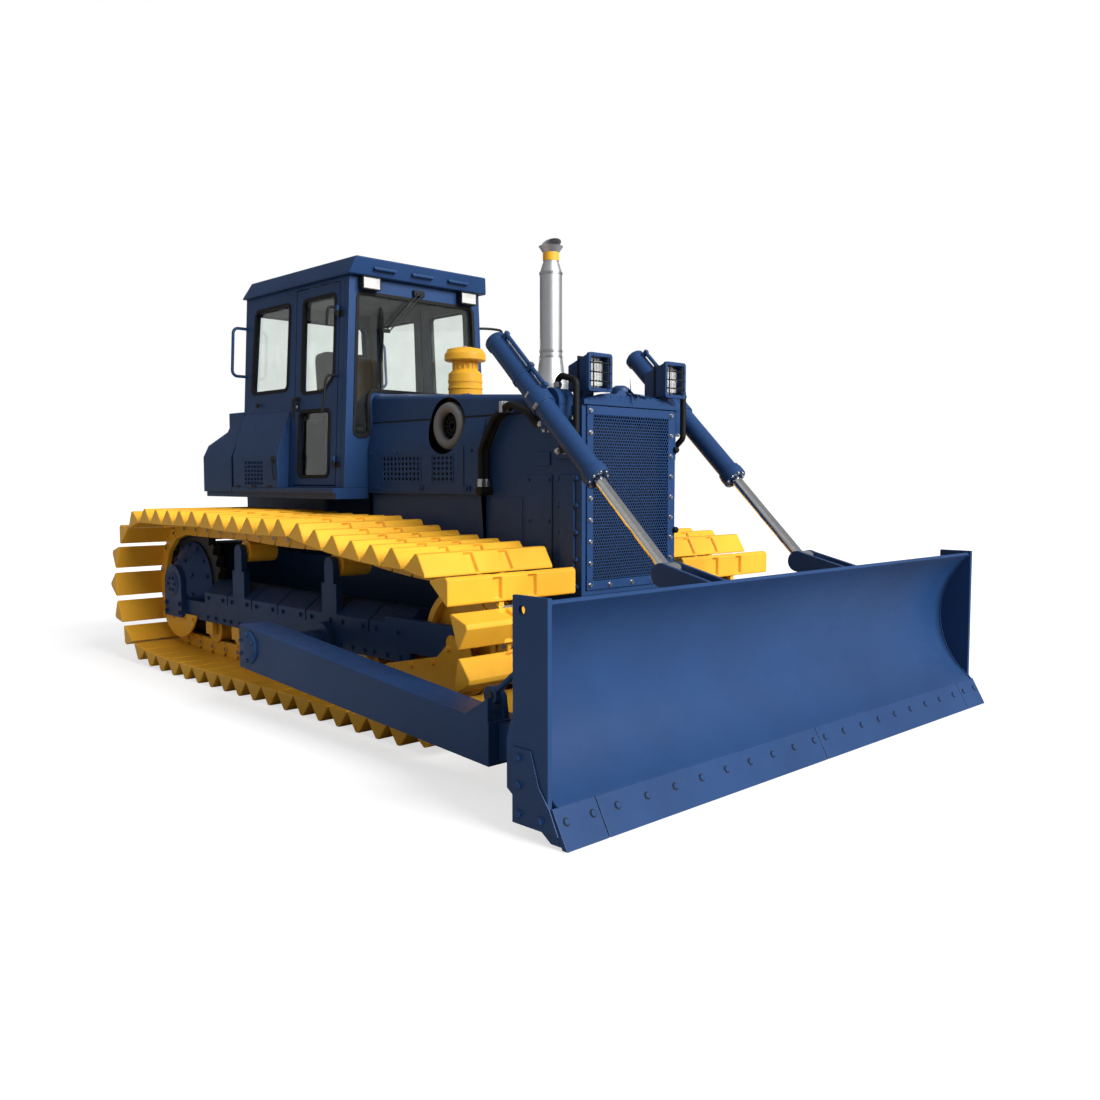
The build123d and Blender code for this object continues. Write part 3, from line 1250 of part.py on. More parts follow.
def windshield_outline():
    """Half of the windshield, which reaches down beside the hood."""
    low = HOOD_REAR_TOP - WINDSHIELD_SKIRT
    top_half = cab_half(HEADER_LINE) - WINDOW_POST
    low_half = cab_half(low) - WINDOW_POST
    inner = HOOD_HALF + WINDSHIELD_HOOD_GAP
    sill = HOOD_REAR_TOP + WINDSHIELD_SILL
    right = [(0, HEADER_LINE), (-top_half, HEADER_LINE), (-low_half, low), (-inner, low)]
    return right + [(-inner, sill), (0, sill)]


def front_window(x0, x1):
    """Windshield solid between two X planes."""
    right = windshield_outline()
    outline = right[1:5] + [(-y, z) for y, z in reversed(right[1:5])]
    face = make_face(Polyline(*[(x0, y, z) for y, z in outline], close=True))
    face = fillet(face.vertices(), WINDOW_R)
    return extrude(face, amount=x1 - x0, dir=(1, 0, 0))


def rear_window(x0, x1):
    """Rear window solid between two X planes."""
    top = cab_half(HEADER_LINE) - REAR_WINDOW_POST
    low = cab_half(SILL_LINE) - REAR_WINDOW_POST
    sill = SILL_LINE + SILL_STEP
    corners = [(-top, HEADER_LINE), (-low, sill), (low, sill), (top, HEADER_LINE)]
    face = make_face(Polyline(*[(x0, y, z) for y, z in corners], close=True))
    face = fillet(face.vertices(), WINDOW_R)
    return extrude(face, amount=x1 - x0, dir=(1, 0, 0))


def cab_end(x0, window):
    """Front or rear wall of the cab with its window cut."""
    low = cab_half(FLOOR_TOP)
    outline = [(-low, FLOOR_TOP), (-CAB_HALF_TOP, CAB_TOP), (CAB_HALF_TOP, CAB_TOP), (low, FLOOR_TOP)]
    return front_plate(outline, x0, x0 + CAB_WALL) - window(x0 - OVERCUT, x0 + CAB_WALL + OVERCUT)


def cab_roof():
    """Roof cap, wider below, with a forward visor edge."""
    rear = CAB_REAR_X - ROOF_REAR_LIP
    front = CAB_FRONT_X + ROOF_FRONT_LIP
    half = CAB_HALF_TOP + ROOF_SIDE_LIP
    faces = []
    for z, x0, x1, w in ((CAB_TOP, rear, front, half),
                         (ROOF_TOP, rear + ROOF_REAR_SLOPE, front + ROOF_VISOR, CAB_HALF_TOP)):
        corners = [(x0, -w, z), (x1, -w, z), (x1, w, z), (x0, w, z)]
        faces.append(make_face(Polyline(*corners, close=True)))
    return loft(faces)


def grab_handle(wall):
    """Bent hand rail on the cab's right rear corner."""
    x = CAB_REAR_X + CAB_WALL / 2
    high = CAB_TOP - HANDLE_HIGH_DROP
    low = CAB_TOP - HANDLE_LOW_DROP
    points = [(x, -cab_half(high) + HANDLE_R, high), (x, -cab_half(high) - HANDLE_OUT, high)]
    points += [(x, -cab_half(low) - HANDLE_OUT, low), (x, -cab_half(low) + HANDLE_R, low)]
    line = FilletPolyline(*points, radius=HANDLE_BEND)
    rail = sweep(Plane(origin=line @ 0, z_dir=line % 0) * Circle(HANDLE_R), path=line)
    return rail - wall


def cab_glass():
    """Fixed panes: windshield, rear window and the two rear side windows."""
    front_x = CAB_FRONT_X - CAB_WALL / 2 - GLASS / 2
    rear_x = CAB_REAR_X + CAB_WALL / 2 - GLASS / 2
    ends = [front_window(front_x, front_x + GLASS), rear_window(rear_x, rear_x + GLASS)]
    return [*ends, *pair(pane(REAR_SIDE_WINDOW))]


def hinge_point(z):
    """Point on the right door's hinge axis at a height, measured along the lean."""
    out = HINGE_OUT
    x = DOOR_FRONT_X + DOOR_GAP / 2
    return (x, -cab_half(z) - out * cos(LEAN), z + out * sin(LEAN))


def hinge_part(z, shift, leaf_from, leaf_to):
    """One knuckle of a hinge with its leaf on the cab's outside."""
    z0 = z + shift
    knuckle = rod(hinge_point(z0), hinge_point(z0 + HINGE_LENGTH), HINGE_KNUCKLE_R)
    leaf = side_slab(grown([(leaf_from, z0), (leaf_to, z0 + HINGE_LENGTH)], 0), -HINGE_LEAF, 0)
    return knuckle + leaf


def hinge_pin(z):
    """Pin through both knuckles of a hinge."""
    return rod(hinge_point(z), hinge_point(z + 2 * HINGE_LENGTH + PIN_GAP), HINGE_PIN_R)


def pillar_hinges():
    """Pillar halves of the right door's hinges, with their pins."""
    x = DOOR_FRONT_X + DOOR_GAP / 2
    return [hinge_part(z, 0, x, x + HINGE_REACH) + hinge_pin(z) for z in HINGE_LEVELS]


def door():
    """Right door with two windows cut and its hinge leaves."""
    panel = side_slab(grown(DOOR_RECT, 0), 0, CAB_WALL - DOOR_GAP)
    panel -= side_slab(DOOR_UPPER_WINDOW, -CAB_WALL, 2 * CAB_WALL, WINDOW_R)
    panel -= side_slab(DOOR_LOWER_WINDOW, -CAB_WALL, 2 * CAB_WALL, WINDOW_R)
    x = DOOR_FRONT_X + DOOR_GAP / 2
    for z in HINGE_LEVELS:
        half = hinge_part(z, HINGE_LENGTH + PIN_GAP, x - HINGE_REACH, x)
        bore = rod(hinge_point(z), hinge_point(z + 3 * HINGE_LENGTH), HINGE_PIN_R + PIN_GAP)
        panel += half - bore
    return panel


def operator_seat():
    """Seat pedestal, cushion and backrest."""
    x0 = CAB_REAR_X + SEAT_FROM_REAR
    x1 = x0 + SEAT_LENGTH
    deck = FLOOR_TOP + SEAT_RISE
    top = deck + SEAT_THICK
    crest = top + BACK_RISE
    foot = SEAT_FOOT_INSET
    base = box(x0 + foot, x1 - 2 * foot, -SEAT_FOOT_HALF, SEAT_FOOT_HALF, FLOOR_TOP, deck)
    cushion = box(x0, x1, -SEAT_HALF, SEAT_HALF, deck, top)
    lean = x0 - BACK_RAKE
    profile = [(x0, top), (x0 + BACK_THICK, top), (lean + BACK_THICK, crest), (lean, crest)]
    back = side_plate(profile, -BACK_HALF, BACK_HALF)
    return [base, cushion, back]


def control_console():
    """Dash behind the windshield and the two side consoles with levers."""
    x1 = CAB_FRONT_X - CAB_WALL - HOOD_GAP
    top = FLOOR_TOP + DASH_RISE
    outline = [(x1 - DASH_FOOT, FLOOR_TOP), (x1, FLOOR_TOP), (x1, top), (x1 - DASH_DEPTH, top - DASH_FALL)]
    dash = side_plate(outline, -DASH_HALF, DASH_HALF)
    x0 = CAB_REAR_X + SEAT_FROM_REAR
    deck = FLOOR_TOP + CONSOLE_RISE
    foot = x0 + LEVER_FROM_REAR
    head = foot + LEVER_RAKE
    grip = deck + LEVER_RISE
    consoles = []
    for side in (-1, 1):
        y = side * CONSOLE_Y
        piece = box(x0, x0 + CONSOLE_LENGTH, y - CONSOLE_HALF, y + CONSOLE_HALF, FLOOR_TOP, deck)
        piece += rod((foot, y, deck - LEVER_R), (head, y, grip), LEVER_R)
        piece += rod((head, y, grip - LEVER_R), (head, y, grip + LEVER_GRIP), LEVER_GRIP_R)
        consoles.append(piece)
    return [dash, *consoles]


def roof_lamp():
    """Work lamp on the cab's front above the windshield."""
    outer = ROOF_LAMP_INNER + ROOF_LAMP_WIDTH
    low = CAB_TOP - ROOF_LAMP_HEIGHT
    return right_box(CAB_FRONT_X, CAB_FRONT_X + ROOF_LAMP_DEPTH, ROOF_LAMP_INNER, outer, low, CAB_TOP)


# Lift cylinders

LIFT_LENGTH = hypot(LIFT_PIN_X - TRUNNION_X, LIFT_PIN_Z - TRUNNION_Z)
LIFT_DX = (LIFT_PIN_X - TRUNNION_X) / LIFT_LENGTH
LIFT_DZ = (LIFT_PIN_Z - TRUNNION_Z) / LIFT_LENGTH


def along(distance, y=-CYLINDER_Y):
    """Point on the right cylinder's axis, measured from the trunnion towards the blade."""
    return (TRUNNION_X + LIFT_DX * distance, y, TRUNNION_Z + LIFT_DZ * distance)


def beside(distance, out):
    """Point off the right cylinder's axis, on its upper side."""
    x, y, z = along(distance)
    return (x - LIFT_DZ * out, y, z + LIFT_DX * out)


def lift_yoke():
    """Bracket on the radiator guard's side that carries a cylinder by its trunnion."""
    x0 = GUARD_REAR_X + YOKE_INSET
    x1 = GUARD_FRONT_X - YOKE_INSET
    reach = CYLINDER_Y - BARREL_R - YOKE_GAP
    low = TRUNNION_Z - YOKE_DROP
    plate = right_box(x0, x1, HULL_HALF, HULL_HALF + YOKE_PLATE, low, TRUNNION_Z - YOKE_INSET)
    plate += cross_rod(TRUNNION_X, TRUNNION_Z, YOKE_R, -reach, -HULL_HALF)
    step = TRUNNION_Z - YOKE_STEP
    plate += right_box(TRUNNION_X - YOKE_R, TRUNNION_X + YOKE_R, HULL_HALF, reach, step, TRUNNION_Z)
    return plate - cross_rod(TRUNNION_X, TRUNNION_Z, TRUNNION_R + PIN_GAP, -CYLINDER_Y, -HULL_HALF - OVERCUT)


def lift_barrel():
    """Hollow barrel with its trunnion stub, band, gland and the oil line along its upper side."""
    barrel = rod(along(-BARREL_HEAD), along(BARREL_GLAND), BARREL_R)
    barrel += rod(along(BARREL_GLAND - GLAND_LENGTH), along(BARREL_GLAND), BARREL_R + GLAND_RISE)
    barrel += rod(along(-BAND_HALF), along(BAND_HALF), BARREL_R + BAND_RISE)
    barrel += cross_rod(TRUNNION_X, TRUNNION_Z, TRUNNION_R, -CYLINDER_Y, -HULL_HALF - STUB_END)
    line = BARREL_R + LINE_OUT
    head = -BARREL_HEAD + LINE_FROM_HEAD
    foot = -LINE_TO_BAND
    barrel += rod(beside(head, line), beside(foot, line), LINE_R)
    for spot in (head, foot):
        tip = beside(spot, line + LINE_R + STUB_END)
        barrel += rod(beside(spot, BARREL_R - STUB_END), tip, LINE_R + STUB_END)
    barrel -= rod(along(-BARREL_HEAD + BARREL_HEAD_WALL), along(BARREL_GLAND - GLAND_WALL), BARREL_BORE_R)
    return barrel - rod(along(0), along(BARREL_GLAND + OVERCUT), ROD_R + PIN_GAP * 2)


def lift_rod():
    """Rod with its piston in the barrel and the eye at the blade."""
    piece = rod(along(PISTON_FROM_TRUNNION), along(LIFT_LENGTH), ROD_R)
    head = PISTON_FROM_TRUNNION + PISTON_LENGTH
    piece += rod(along(PISTON_FROM_TRUNNION), along(head), BARREL_BORE_R - PIN_GAP)
    y0 = -CYLINDER_Y - ROD_EYE_WIDTH / 2
    y1 = -CYLINDER_Y + ROD_EYE_WIDTH / 2
    piece += cross_rod(LIFT_PIN_X, LIFT_PIN_Z, ROD_EYE_R, y0, y1)
    return piece - cross_rod(LIFT_PIN_X, LIFT_PIN_Z, LIFT_PIN_R, y0 - OVERCUT, y1 + OVERCUT)


# Blade

def circle_through(a, b, c):
    """Centre and radius of the circle through three (x, z) points."""
    ax, az = a
    bx, bz = b
    cx, cz = c
    d = 2 * (ax * (bz - cz) + bx * (cz - az) + cx * (az - bz))
    sa = ax * ax + az * az
    sb = bx * bx + bz * bz
    sc = cx * cx + cz * cz
    ux = (sa * (bz - cz) + sb * (cz - az) + sc * (az - bz)) / d
    uz = (sa * (cx - bx) + sb * (ax - cx) + sc * (bx - ax)) / d
    return (ux, uz), hypot(ax - ux, az - uz)


BLADE_TOP = (BLADE_TOP_X, BLADE_TOP_Z)
BLADE_BELLY = (BLADE_BELLY_X, BLADE_BELLY_Z)
EDGE_TOP = (EDGE_TOP_X, EDGE_TOP_Z)
BLADE_CENTRE, BLADE_R = circle_through(BLADE_TOP, BLADE_BELLY, EDGE_TOP)
EDGE_LENGTH = hypot(BLADE_TIP_X - EDGE_TOP_X, BLADE_TIP_Z - EDGE_TOP_Z)
EDGE_DX = (BLADE_TIP_X - EDGE_TOP_X) / EDGE_LENGTH
EDGE_DZ = (BLADE_TIP_Z - EDGE_TOP_Z) / EDGE_LENGTH
EDGE_BACK = (EDGE_TOP_X + EDGE_DZ * EDGE_PLATE, EDGE_TOP_Z - EDGE_DX * EDGE_PLATE)


def edge_back_at(z):
    """Point on the cutting edge's back face at a height."""
    run = (z - EDGE_BACK[1]) / EDGE_DZ
    return (EDGE_BACK[0] + EDGE_DX * run, z)


def behind(point, depth):
    """Point moved straight away from the moldboard's centre of curvature."""
    x, z = point
    r = hypot(x - BLADE_CENTRE[0], z - BLADE_CENTRE[1])
    return (x + (x - BLADE_CENTRE[0]) / r * depth, z + (z - BLADE_CENTRE[1]) / r * depth)


def blade():
    """Curved moldboard with its back beams, ribs, lift ears and arm ears."""
    half = BLADE_HALF - END_PLATE
    y0 = -half

    def at(point):
        return (point[0], y0, point[1])

    front = ThreePointArc(at(BLADE_TOP), at(BLADE_BELLY), at(EDGE_TOP))
    back_points = [behind(p, BLADE_SKIN) for p in (EDGE_TOP, BLADE_BELLY, BLADE_TOP)]
    back = ThreePointArc(*[at(p) for p in back_points])
    ends = Line(at(EDGE_TOP), at(back_points[0])) + Line(at(back_points[2]), at(BLADE_TOP))
    skin = extrude(make_face(front + back + ends), amount=2 * half, dir=(0, 1, 0))
    hollow = cross_rod(BLADE_CENTRE[0], BLADE_CENTRE[1], BLADE_R + BLADE_SKIN / 2, -BLADE_HALF, BLADE_HALF)
    lip = edge_back_at(BLADE_TIP_Z + BEAM_LIP)
    low_beam = [EDGE_BACK, lip, (BEAM_REAR_X + BEAM_CHIN, lip[1] + BEAM_RAKE / 2), (BEAM_REAR_X, BEAM_LOW_Z)]
    low_beam += [(BEAM_REAR_X, BEAM_MID_Z), (BEAM_REAR_X + BEAM_RAKE, BEAM_HIGH_Z)]
    low_beam.append((BLADE_TOP_X - 2 * BLADE_SKIN, BEAM_HIGH_Z))
    top = BLADE_TOP_Z - TOP_BEAM_DROP
    middle = top - TOP_BEAM_HEIGHT / 2
    bottom = top - TOP_BEAM_HEIGHT
    back_x = BLADE_TOP_X - TOP_BEAM_DEPTH
    nose_x = BLADE_TOP_X - TOP_BEAM_NOSE
    high_beam = [(BLADE_TOP_X, top), (back_x, top), (nose_x, middle), (back_x, bottom), (BLADE_TOP_X, bottom)]
    backing = side_plate(low_beam, -half, half) + side_plate(high_beam, -half, half)
    rib = [(BEAM_REAR_X + RIB_HALF, BEAM_MID_Z), (nose_x + RIB_HALF, middle), (BLADE_TOP_X, middle)]
    rib.append((BLADE_TOP_X, BEAM_MID_Z))
    for y in RIB_Y:
        for side in (-1, 1):
            backing += side_plate(rib, side * y - RIB_HALF, side * y + RIB_HALF)
    ear = [(BLADE_TOP_X - TOP_BEAM_DEPTH / 2, top - RIB_HALF), (LIFT_PIN_X, LIFT_PIN_Z + LIFT_EAR_R)]
    ear += [(LIFT_PIN_X, LIFT_PIN_Z - LIFT_EAR_R), (back_x, bottom - 2 * BLADE_SKIN)]
    gap = ROD_EYE_WIDTH / 2 + EAR_GAP
    for side in (-1, 1):
        for a0 in (CYLINDER_Y - gap - EAR_PLATE, CYLINDER_Y + gap):
            low = min(side * a0, side * (a0 + EAR_PLATE))
            backing += side_plate(ear, low, low + EAR_PLATE)
            backing += cross_rod(LIFT_PIN_X, LIFT_PIN_Z, LIFT_EAR_R, low, low + EAR_PLATE)
    root = BEAM_REAR_X + RIB_HALF
    foot = [(root, BEAM_MID_Z), (BLADE_PIN_X, BLADE_PIN_Z + FOOT_EAR_R)]
    foot += [(BLADE_PIN_X, BLADE_PIN_Z - FOOT_EAR_R), (root, BEAM_LOW_Z)]
    tang = TANG_WIDTH / 2 + SEAT_GAP
    for side in (-1, 1):
        for a0 in (ARM_MID - tang - EAR_PLATE, ARM_MID + tang):
            low = min(side * a0, side * (a0 + EAR_PLATE))
            high = low + EAR_PLATE
            plate = side_plate(foot, low, high) + cross_rod(BLADE_PIN_X, BLADE_PIN_Z, FOOT_EAR_R, low, high)
            bore = cross_rod(BLADE_PIN_X, BLADE_PIN_Z, BLADE_PIN_R + PIN_GAP, low - OVERCUT, high + OVERCUT)
            backing += plate - bore
        low = min(side * ARM_MID, side * (ARM_MID - BRACE_PLATE))
        high = low + BRACE_PLATE
        plate = side_plate(brace_lug(), low, high) + cross_rod(*BRACE_HIGH, BRACE_EYE_R, low, high)
        backing += plate - cross_rod(*BRACE_HIGH, BRACE_PIN_R + PIN_GAP, low - OVERCUT, high + OVERCUT)
    return skin + (backing - hollow) - cutting_edge()


BRACE_HIGH = (BLADE_TOP_X - BRACE_HIGH_BACK, BLADE_TOP_Z - BRACE_HIGH_DROP)
BRACE_LOW = (ARM_FRONT_X - BRACE_LOW_BACK, ARM_FRONT_LEVEL + ARM_FRONT_HEIGHT / 2 + BRACE_LOW_RISE)


def brace_lug():
    """Outline of the brace's lug on the blade's upper beam."""
    x, z = BRACE_HIGH
    root = BLADE_TOP_X - TOP_BEAM_DEPTH + BLADE_SKIN
    return [(root, z + 2 * BRACE_EYE_R), (x, z + BRACE_EYE_R), (x, z - BRACE_EYE_R), (root, z - BRACE_EYE_R)]


def blade_end_plate():
    """End plate, standing a little above the moldboard, with a lifting eye near its top."""
    top = BLADE_TOP_Z + END_PLATE_RISE
    front = BLADE_TOP_X + END_PLATE_LEAD
    low = edge_back_at(BLADE_TIP_Z + END_PLATE_LEAD)
    waist = BEAM_MID_Z + END_PLATE_FOOT
    outline = [(END_PLATE_REAR_X, top), (front, top), (front, EDGE_TOP_Z + 2 * BLADE_SKIN), EDGE_BACK, low]
    outline += [(low[0] - END_PLATE_FOOT, low[1]), (BEAM_REAR_X, BEAM_LOW_Z), (BEAM_REAR_X, waist)]
    outline.append((END_PLATE_REAR_X, waist + END_PLATE_STEP))
    plate = side_plate(outline, -BLADE_HALF, -BLADE_HALF + END_PLATE)
    eye_x = END_PLATE_REAR_X + LIFT_EYE_INSET
    eye_z = top - LIFT_EYE_DROP
    inner = -BLADE_HALF + END_PLATE + OVERCUT
    return plate - cross_rod(eye_x, eye_z, LIFT_EYE_R, -BLADE_HALF - OVERCUT, inner)


def cutting_edge():
    """Bolted edge along the moldboard's foot, with its underside level."""
    outline = [(BLADE_TIP_X, BLADE_TIP_Z), EDGE_TOP, EDGE_BACK, edge_back_at(BLADE_TIP_Z)]
    return side_plate(outline, -BLADE_HALF, BLADE_HALF)


def push_arm():
    """Box arm from the trunnion to the blade's foot with a lug for the brace and a gusset outside."""
    inner = -ARM_INNER
    outer = -ARM_INNER - ARM_WIDTH
    front_z0 = ARM_FRONT_LEVEL - ARM_FRONT_HEIGHT / 2
    front_z1 = ARM_FRONT_LEVEL + ARM_FRONT_HEIGHT / 2
    outline = [(ARM_REAR_X, ARM_PIVOT_Z - ARM_REAR_HEIGHT / 2), (ARM_FRONT_X, front_z0)]
    outline += [(ARM_FRONT_X, front_z1), (ARM_REAR_X, ARM_PIVOT_Z + ARM_REAR_HEIGHT / 2)]
    arm = side_plate(outline, outer, inner)
    mid = -ARM_MID
    y0 = mid - TANG_WIDTH / 2
    y1 = mid + TANG_WIDTH / 2
    root = ARM_FRONT_X - TANG_ROOT
    tang = [(root, front_z0 + TANG_EDGE), (BLADE_PIN_X, BLADE_PIN_Z - TANG_R)]
    tang += [(BLADE_PIN_X, BLADE_PIN_Z + TANG_R), (root, front_z1 - TANG_EDGE)]
    arm += side_plate(tang, y0, y1) + cross_rod(BLADE_PIN_X, BLADE_PIN_Z, TANG_R, y0, y1)
    x, z = BRACE_LOW
    eye = BRACE_EYE_R
    nose = ARM_FRONT_X - GUSSET_EDGE
    floor = front_z1 - TANG_ROOT
    lug = [(x - BRACE_LUG, floor), (nose, floor), (x + eye, z), (x, z + eye), (x - eye, z)]
    arm += side_plate(lug, mid, mid + BRACE_PLATE)
    gusset = [(ARM_FRONT_X - GUSSET_LENGTH, front_z1), (nose, front_z1 + GUSSET_RISE), (nose, floor)]
    arm += side_plate(gusset, outer, outer + GUSSET_PLATE)
    arm -= cross_rod(x, z, BRACE_PIN_R + PIN_GAP, mid - OVERCUT, mid + BRACE_PLATE + OVERCUT)
    arm -= cross_rod(BLADE_PIN_X, BLADE_PIN_Z, BLADE_PIN_R + PIN_GAP, outer, inner)
    return arm - cross_rod(ARM_PIVOT_X, ARM_PIVOT_Z, ARM_PIVOT_R + PIN_GAP, outer - OVERCUT, inner + OVERCUT)


def brace():
    """Strut from the arm's lug to the blade's upper beam, beside both lugs."""
    y1 = -ARM_MID - SEAT_GAP
    y0 = y1 - BRACE_PLATE
    mid = (y0 + y1) / 2
    low = (BRACE_LOW[0], mid, BRACE_LOW[1])
    high = (BRACE_HIGH[0], mid, BRACE_HIGH[1])
    piece = rod(low, high, BRACE_PLATE / 2 - OVERCUT)
    for x, z in (BRACE_LOW, BRACE_HIGH):
        piece += cross_rod(x, z, BRACE_EYE_R, y0, y1)
        piece -= cross_rod(x, z, BRACE_PIN_R + PIN_GAP, y0 - OVERCUT, y1 + OVERCUT)
    return piece


def blade_pins():
    """Pins of the right arm and brace, a little longer than what they hold."""
    reach = TANG_WIDTH / 2 + SEAT_GAP + EAR_PLATE + PIN_END
    pins = [cross_rod(BLADE_PIN_X, BLADE_PIN_Z, BLADE_PIN_R, -ARM_MID - reach, -ARM_MID + reach)]
    y0 = -ARM_MID - SEAT_GAP - BRACE_PLATE - BRACE_PIN_END
    for x, z in (BRACE_LOW, BRACE_HIGH):
        pins.append(cross_rod(x, z, BRACE_PIN_R, y0, -ARM_MID + BRACE_PLATE + BRACE_PIN_END))
    return pins


def nodes():
    """Every sub-part by name, as a list of solids on the machine's stations."""
    guard = radiator_guard()
    cover = hood_form(0, HOOD_SEAM)
    left_glass = [mirror(pane(w), about=Plane.XZ) for w in (DOOR_UPPER_WINDOW, DOOR_LOWER_WINDOW)]
    right_track = track()
    right_frame = track_frame()
    rear_wall = cab_end(CAB_REAR_X, rear_window)
    return {
        "main_frame": [main_frame()],
        "transmission_case": [transmission_case()],
        "drawbar": [drawbar()],
        "engine_block": [engine_block()],
        "track_frame_right": [right_frame],
        "track_frame_left": [mirror(right_frame, about=Plane.XZ)],
        "track_right": [right_track],
        "track_left": [mirror(right_track, about=Plane.XZ)],
        "sprockets": pair(sprocket()),
        "final_drive_covers": pair(final_drive_cover(), drive_bearing()),
        "final_drive_cases": pair(final_drive_case()),
        "idlers": pair(idler()),
        "track_rollers": pair(*track_rollers()),
        "carrier_rollers": pair(*carrier_rollers()),
        "track_guards": pair(front_guard(), rear_guard()),
        "radiator_guard": [guard],
        "radiator_core": [radiator_core()],
        "radiator_grille": [radiator_grille()],
        "headlamp_housings": pair(headlamp(guard)),
        "headlamp_lenses": pair(headlamp_lens()),
        "lift_yokes": pair(lift_yoke()),
        "hood": [hood()],
        "engine_side_panels": side_panels(),
        "intake_elbow": [intake_elbow()],
        "hydraulic_lines": pair(*hydraulic_lines()),
        "exhaust_stack": [exhaust_stack(cover)],
        "air_precleaner": [air_precleaner(cover)],
        "platform": [platform()],
        "side_boxes": pair(side_box()),
        "fuel_tank": [fuel_tank()],
        "cab_front_wall": [cab_end(CAB_FRONT_X - CAB_WALL, front_window)],
        "cab_rear_wall": [rear_wall],
        "grab_handles": pair(grab_handle(rear_wall)),
        "cab_side_right": [cab_side()],
        "cab_side_left": [mirror(cab_side(), about=Plane.XZ)],
        "cab_roof": [cab_roof()],
        "cab_glass": cab_glass(),
        "door_hinges": pair(*pillar_hinges()),
        "operator_seat": operator_seat(),
        "control_console": control_console(),
        "roof_lamps": pair(roof_lamp()),
        "door_right": [door()],
        "door_right_glass": [pane(DOOR_UPPER_WINDOW), pane(DOOR_LOWER_WINDOW)],
        "door_left": [mirror(door(), about=Plane.XZ)],
        "door_left_glass": left_glass,
        "push_arms": pair(push_arm()),
        "blade_moldboard": [blade()],
        "blade_end_plates": pair(blade_end_plate()),
        "cutting_edge": [cutting_edge()],
        "blade_braces": pair(brace()),
        "blade_pins": pair(*blade_pins()),
        "lift_barrel_right": [lift_barrel()],
        "lift_barrel_left": [mirror(lift_barrel(), about=Plane.XZ)],
        "lift_rod_right": [lift_rod()],
        "lift_rod_left": [mirror(lift_rod(), about=Plane.XZ)],
    }


def main():
    """Build every sub-part and write it as a STEP file."""
    os.makedirs("parts", exist_ok=True)
    for name, pieces in nodes().items():
        solids = []
        for piece in pieces:
            solids += [Pos(-ORIGIN_X, 0, 0) * solid for solid in piece.solids()]
        export_step(Compound(children=solids), f"parts/{name}.step")
        print(name, len(solids))


if __name__ == "__main__":
    main()
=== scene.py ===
"""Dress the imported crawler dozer: finishes, fittings and small hardware, with a plain studio around it."""
import logging
import math
from dataclasses import dataclass
from enum import Enum
from typing import Iterable, Sequence

import bmesh
import bpy
from mathutils import Matrix, Vector


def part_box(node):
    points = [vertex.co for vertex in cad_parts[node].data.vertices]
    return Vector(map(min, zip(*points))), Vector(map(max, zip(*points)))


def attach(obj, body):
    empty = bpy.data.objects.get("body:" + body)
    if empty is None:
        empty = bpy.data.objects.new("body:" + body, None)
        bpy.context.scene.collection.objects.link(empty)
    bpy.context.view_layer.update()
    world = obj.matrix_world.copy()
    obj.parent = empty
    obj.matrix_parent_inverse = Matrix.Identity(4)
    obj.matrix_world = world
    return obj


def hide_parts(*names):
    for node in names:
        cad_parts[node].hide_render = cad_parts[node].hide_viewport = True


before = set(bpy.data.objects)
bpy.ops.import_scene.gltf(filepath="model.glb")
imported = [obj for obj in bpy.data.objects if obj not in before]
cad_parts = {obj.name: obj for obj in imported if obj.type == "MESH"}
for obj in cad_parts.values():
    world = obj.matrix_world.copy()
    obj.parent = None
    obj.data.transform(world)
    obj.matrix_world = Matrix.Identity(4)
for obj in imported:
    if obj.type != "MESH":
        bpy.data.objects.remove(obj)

LOG = logging.getLogger("dozer")
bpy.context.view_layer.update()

Colour = tuple[float, float, float]
Flat = tuple[float, float]
Profile = tuple[Flat, ...]


def middle_of(node: str, axis: int) -> float:
    """Middle of a CAD node's box along one axis."""
    low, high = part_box(node)
    return (low[axis] + high[axis]) / 2


AXLE_X = middle_of("final_drive_cases", 0)


def at(station: float, y: float, z: float) -> Vector:
    """Point of the machine.

    Args:
        station: metres ahead of the drive axle.
        y: metres to the machine's left.
        z: metres above the ground.

    Returns:
        The point in the frame.
    """
    return Vector((AXLE_X + station, y, z))


UP = Vector((0, 0, 1))
AHEAD = Vector((1, 0, 0))
BEHIND = Vector((-1, 0, 0))
RIGHT = Vector((0, -1, 0))


def spokes(count: int, shift: float = 0.0, flat: bool = False) -> list[Vector]:
    """Directions spread evenly round a circle.

    Args:
        count: how many there are.
        shift: share of a step by which the first one is turned.
        flat: whether the circle lies flat, or else stands along the machine.

    Returns:
        Unit vectors, in order.
    """
    angles = [math.tau * (step + shift) / count for step in range(count)]
    return [Vector((math.cos(a), math.sin(a), 0) if flat else (math.cos(a), 0, math.sin(a))) for a in angles]


class Body(Enum):
    """Bodies that a piece can ride on."""

    CHASSIS = "chassis"
    BLADE = "blade_frame"
    DOOR_RIGHT = "door_right_body"
    DOOR_LEFT = "door_left_body"
    BARREL_RIGHT = "barrel_right"
    BARREL_LEFT = "barrel_left"
    ROD_RIGHT = "rod_right"
    ROD_LEFT = "rod_left"


class Side(Enum):
    """The machine's two sides, as the sign of Y."""

    RIGHT = -1
    LEFT = 1


# Finishes


# Sockets of a Mix node that blends colours
MIX_FACTOR, MIX_FIRST, MIX_SECOND, MIX_RESULT = 0, 6, 7, 2


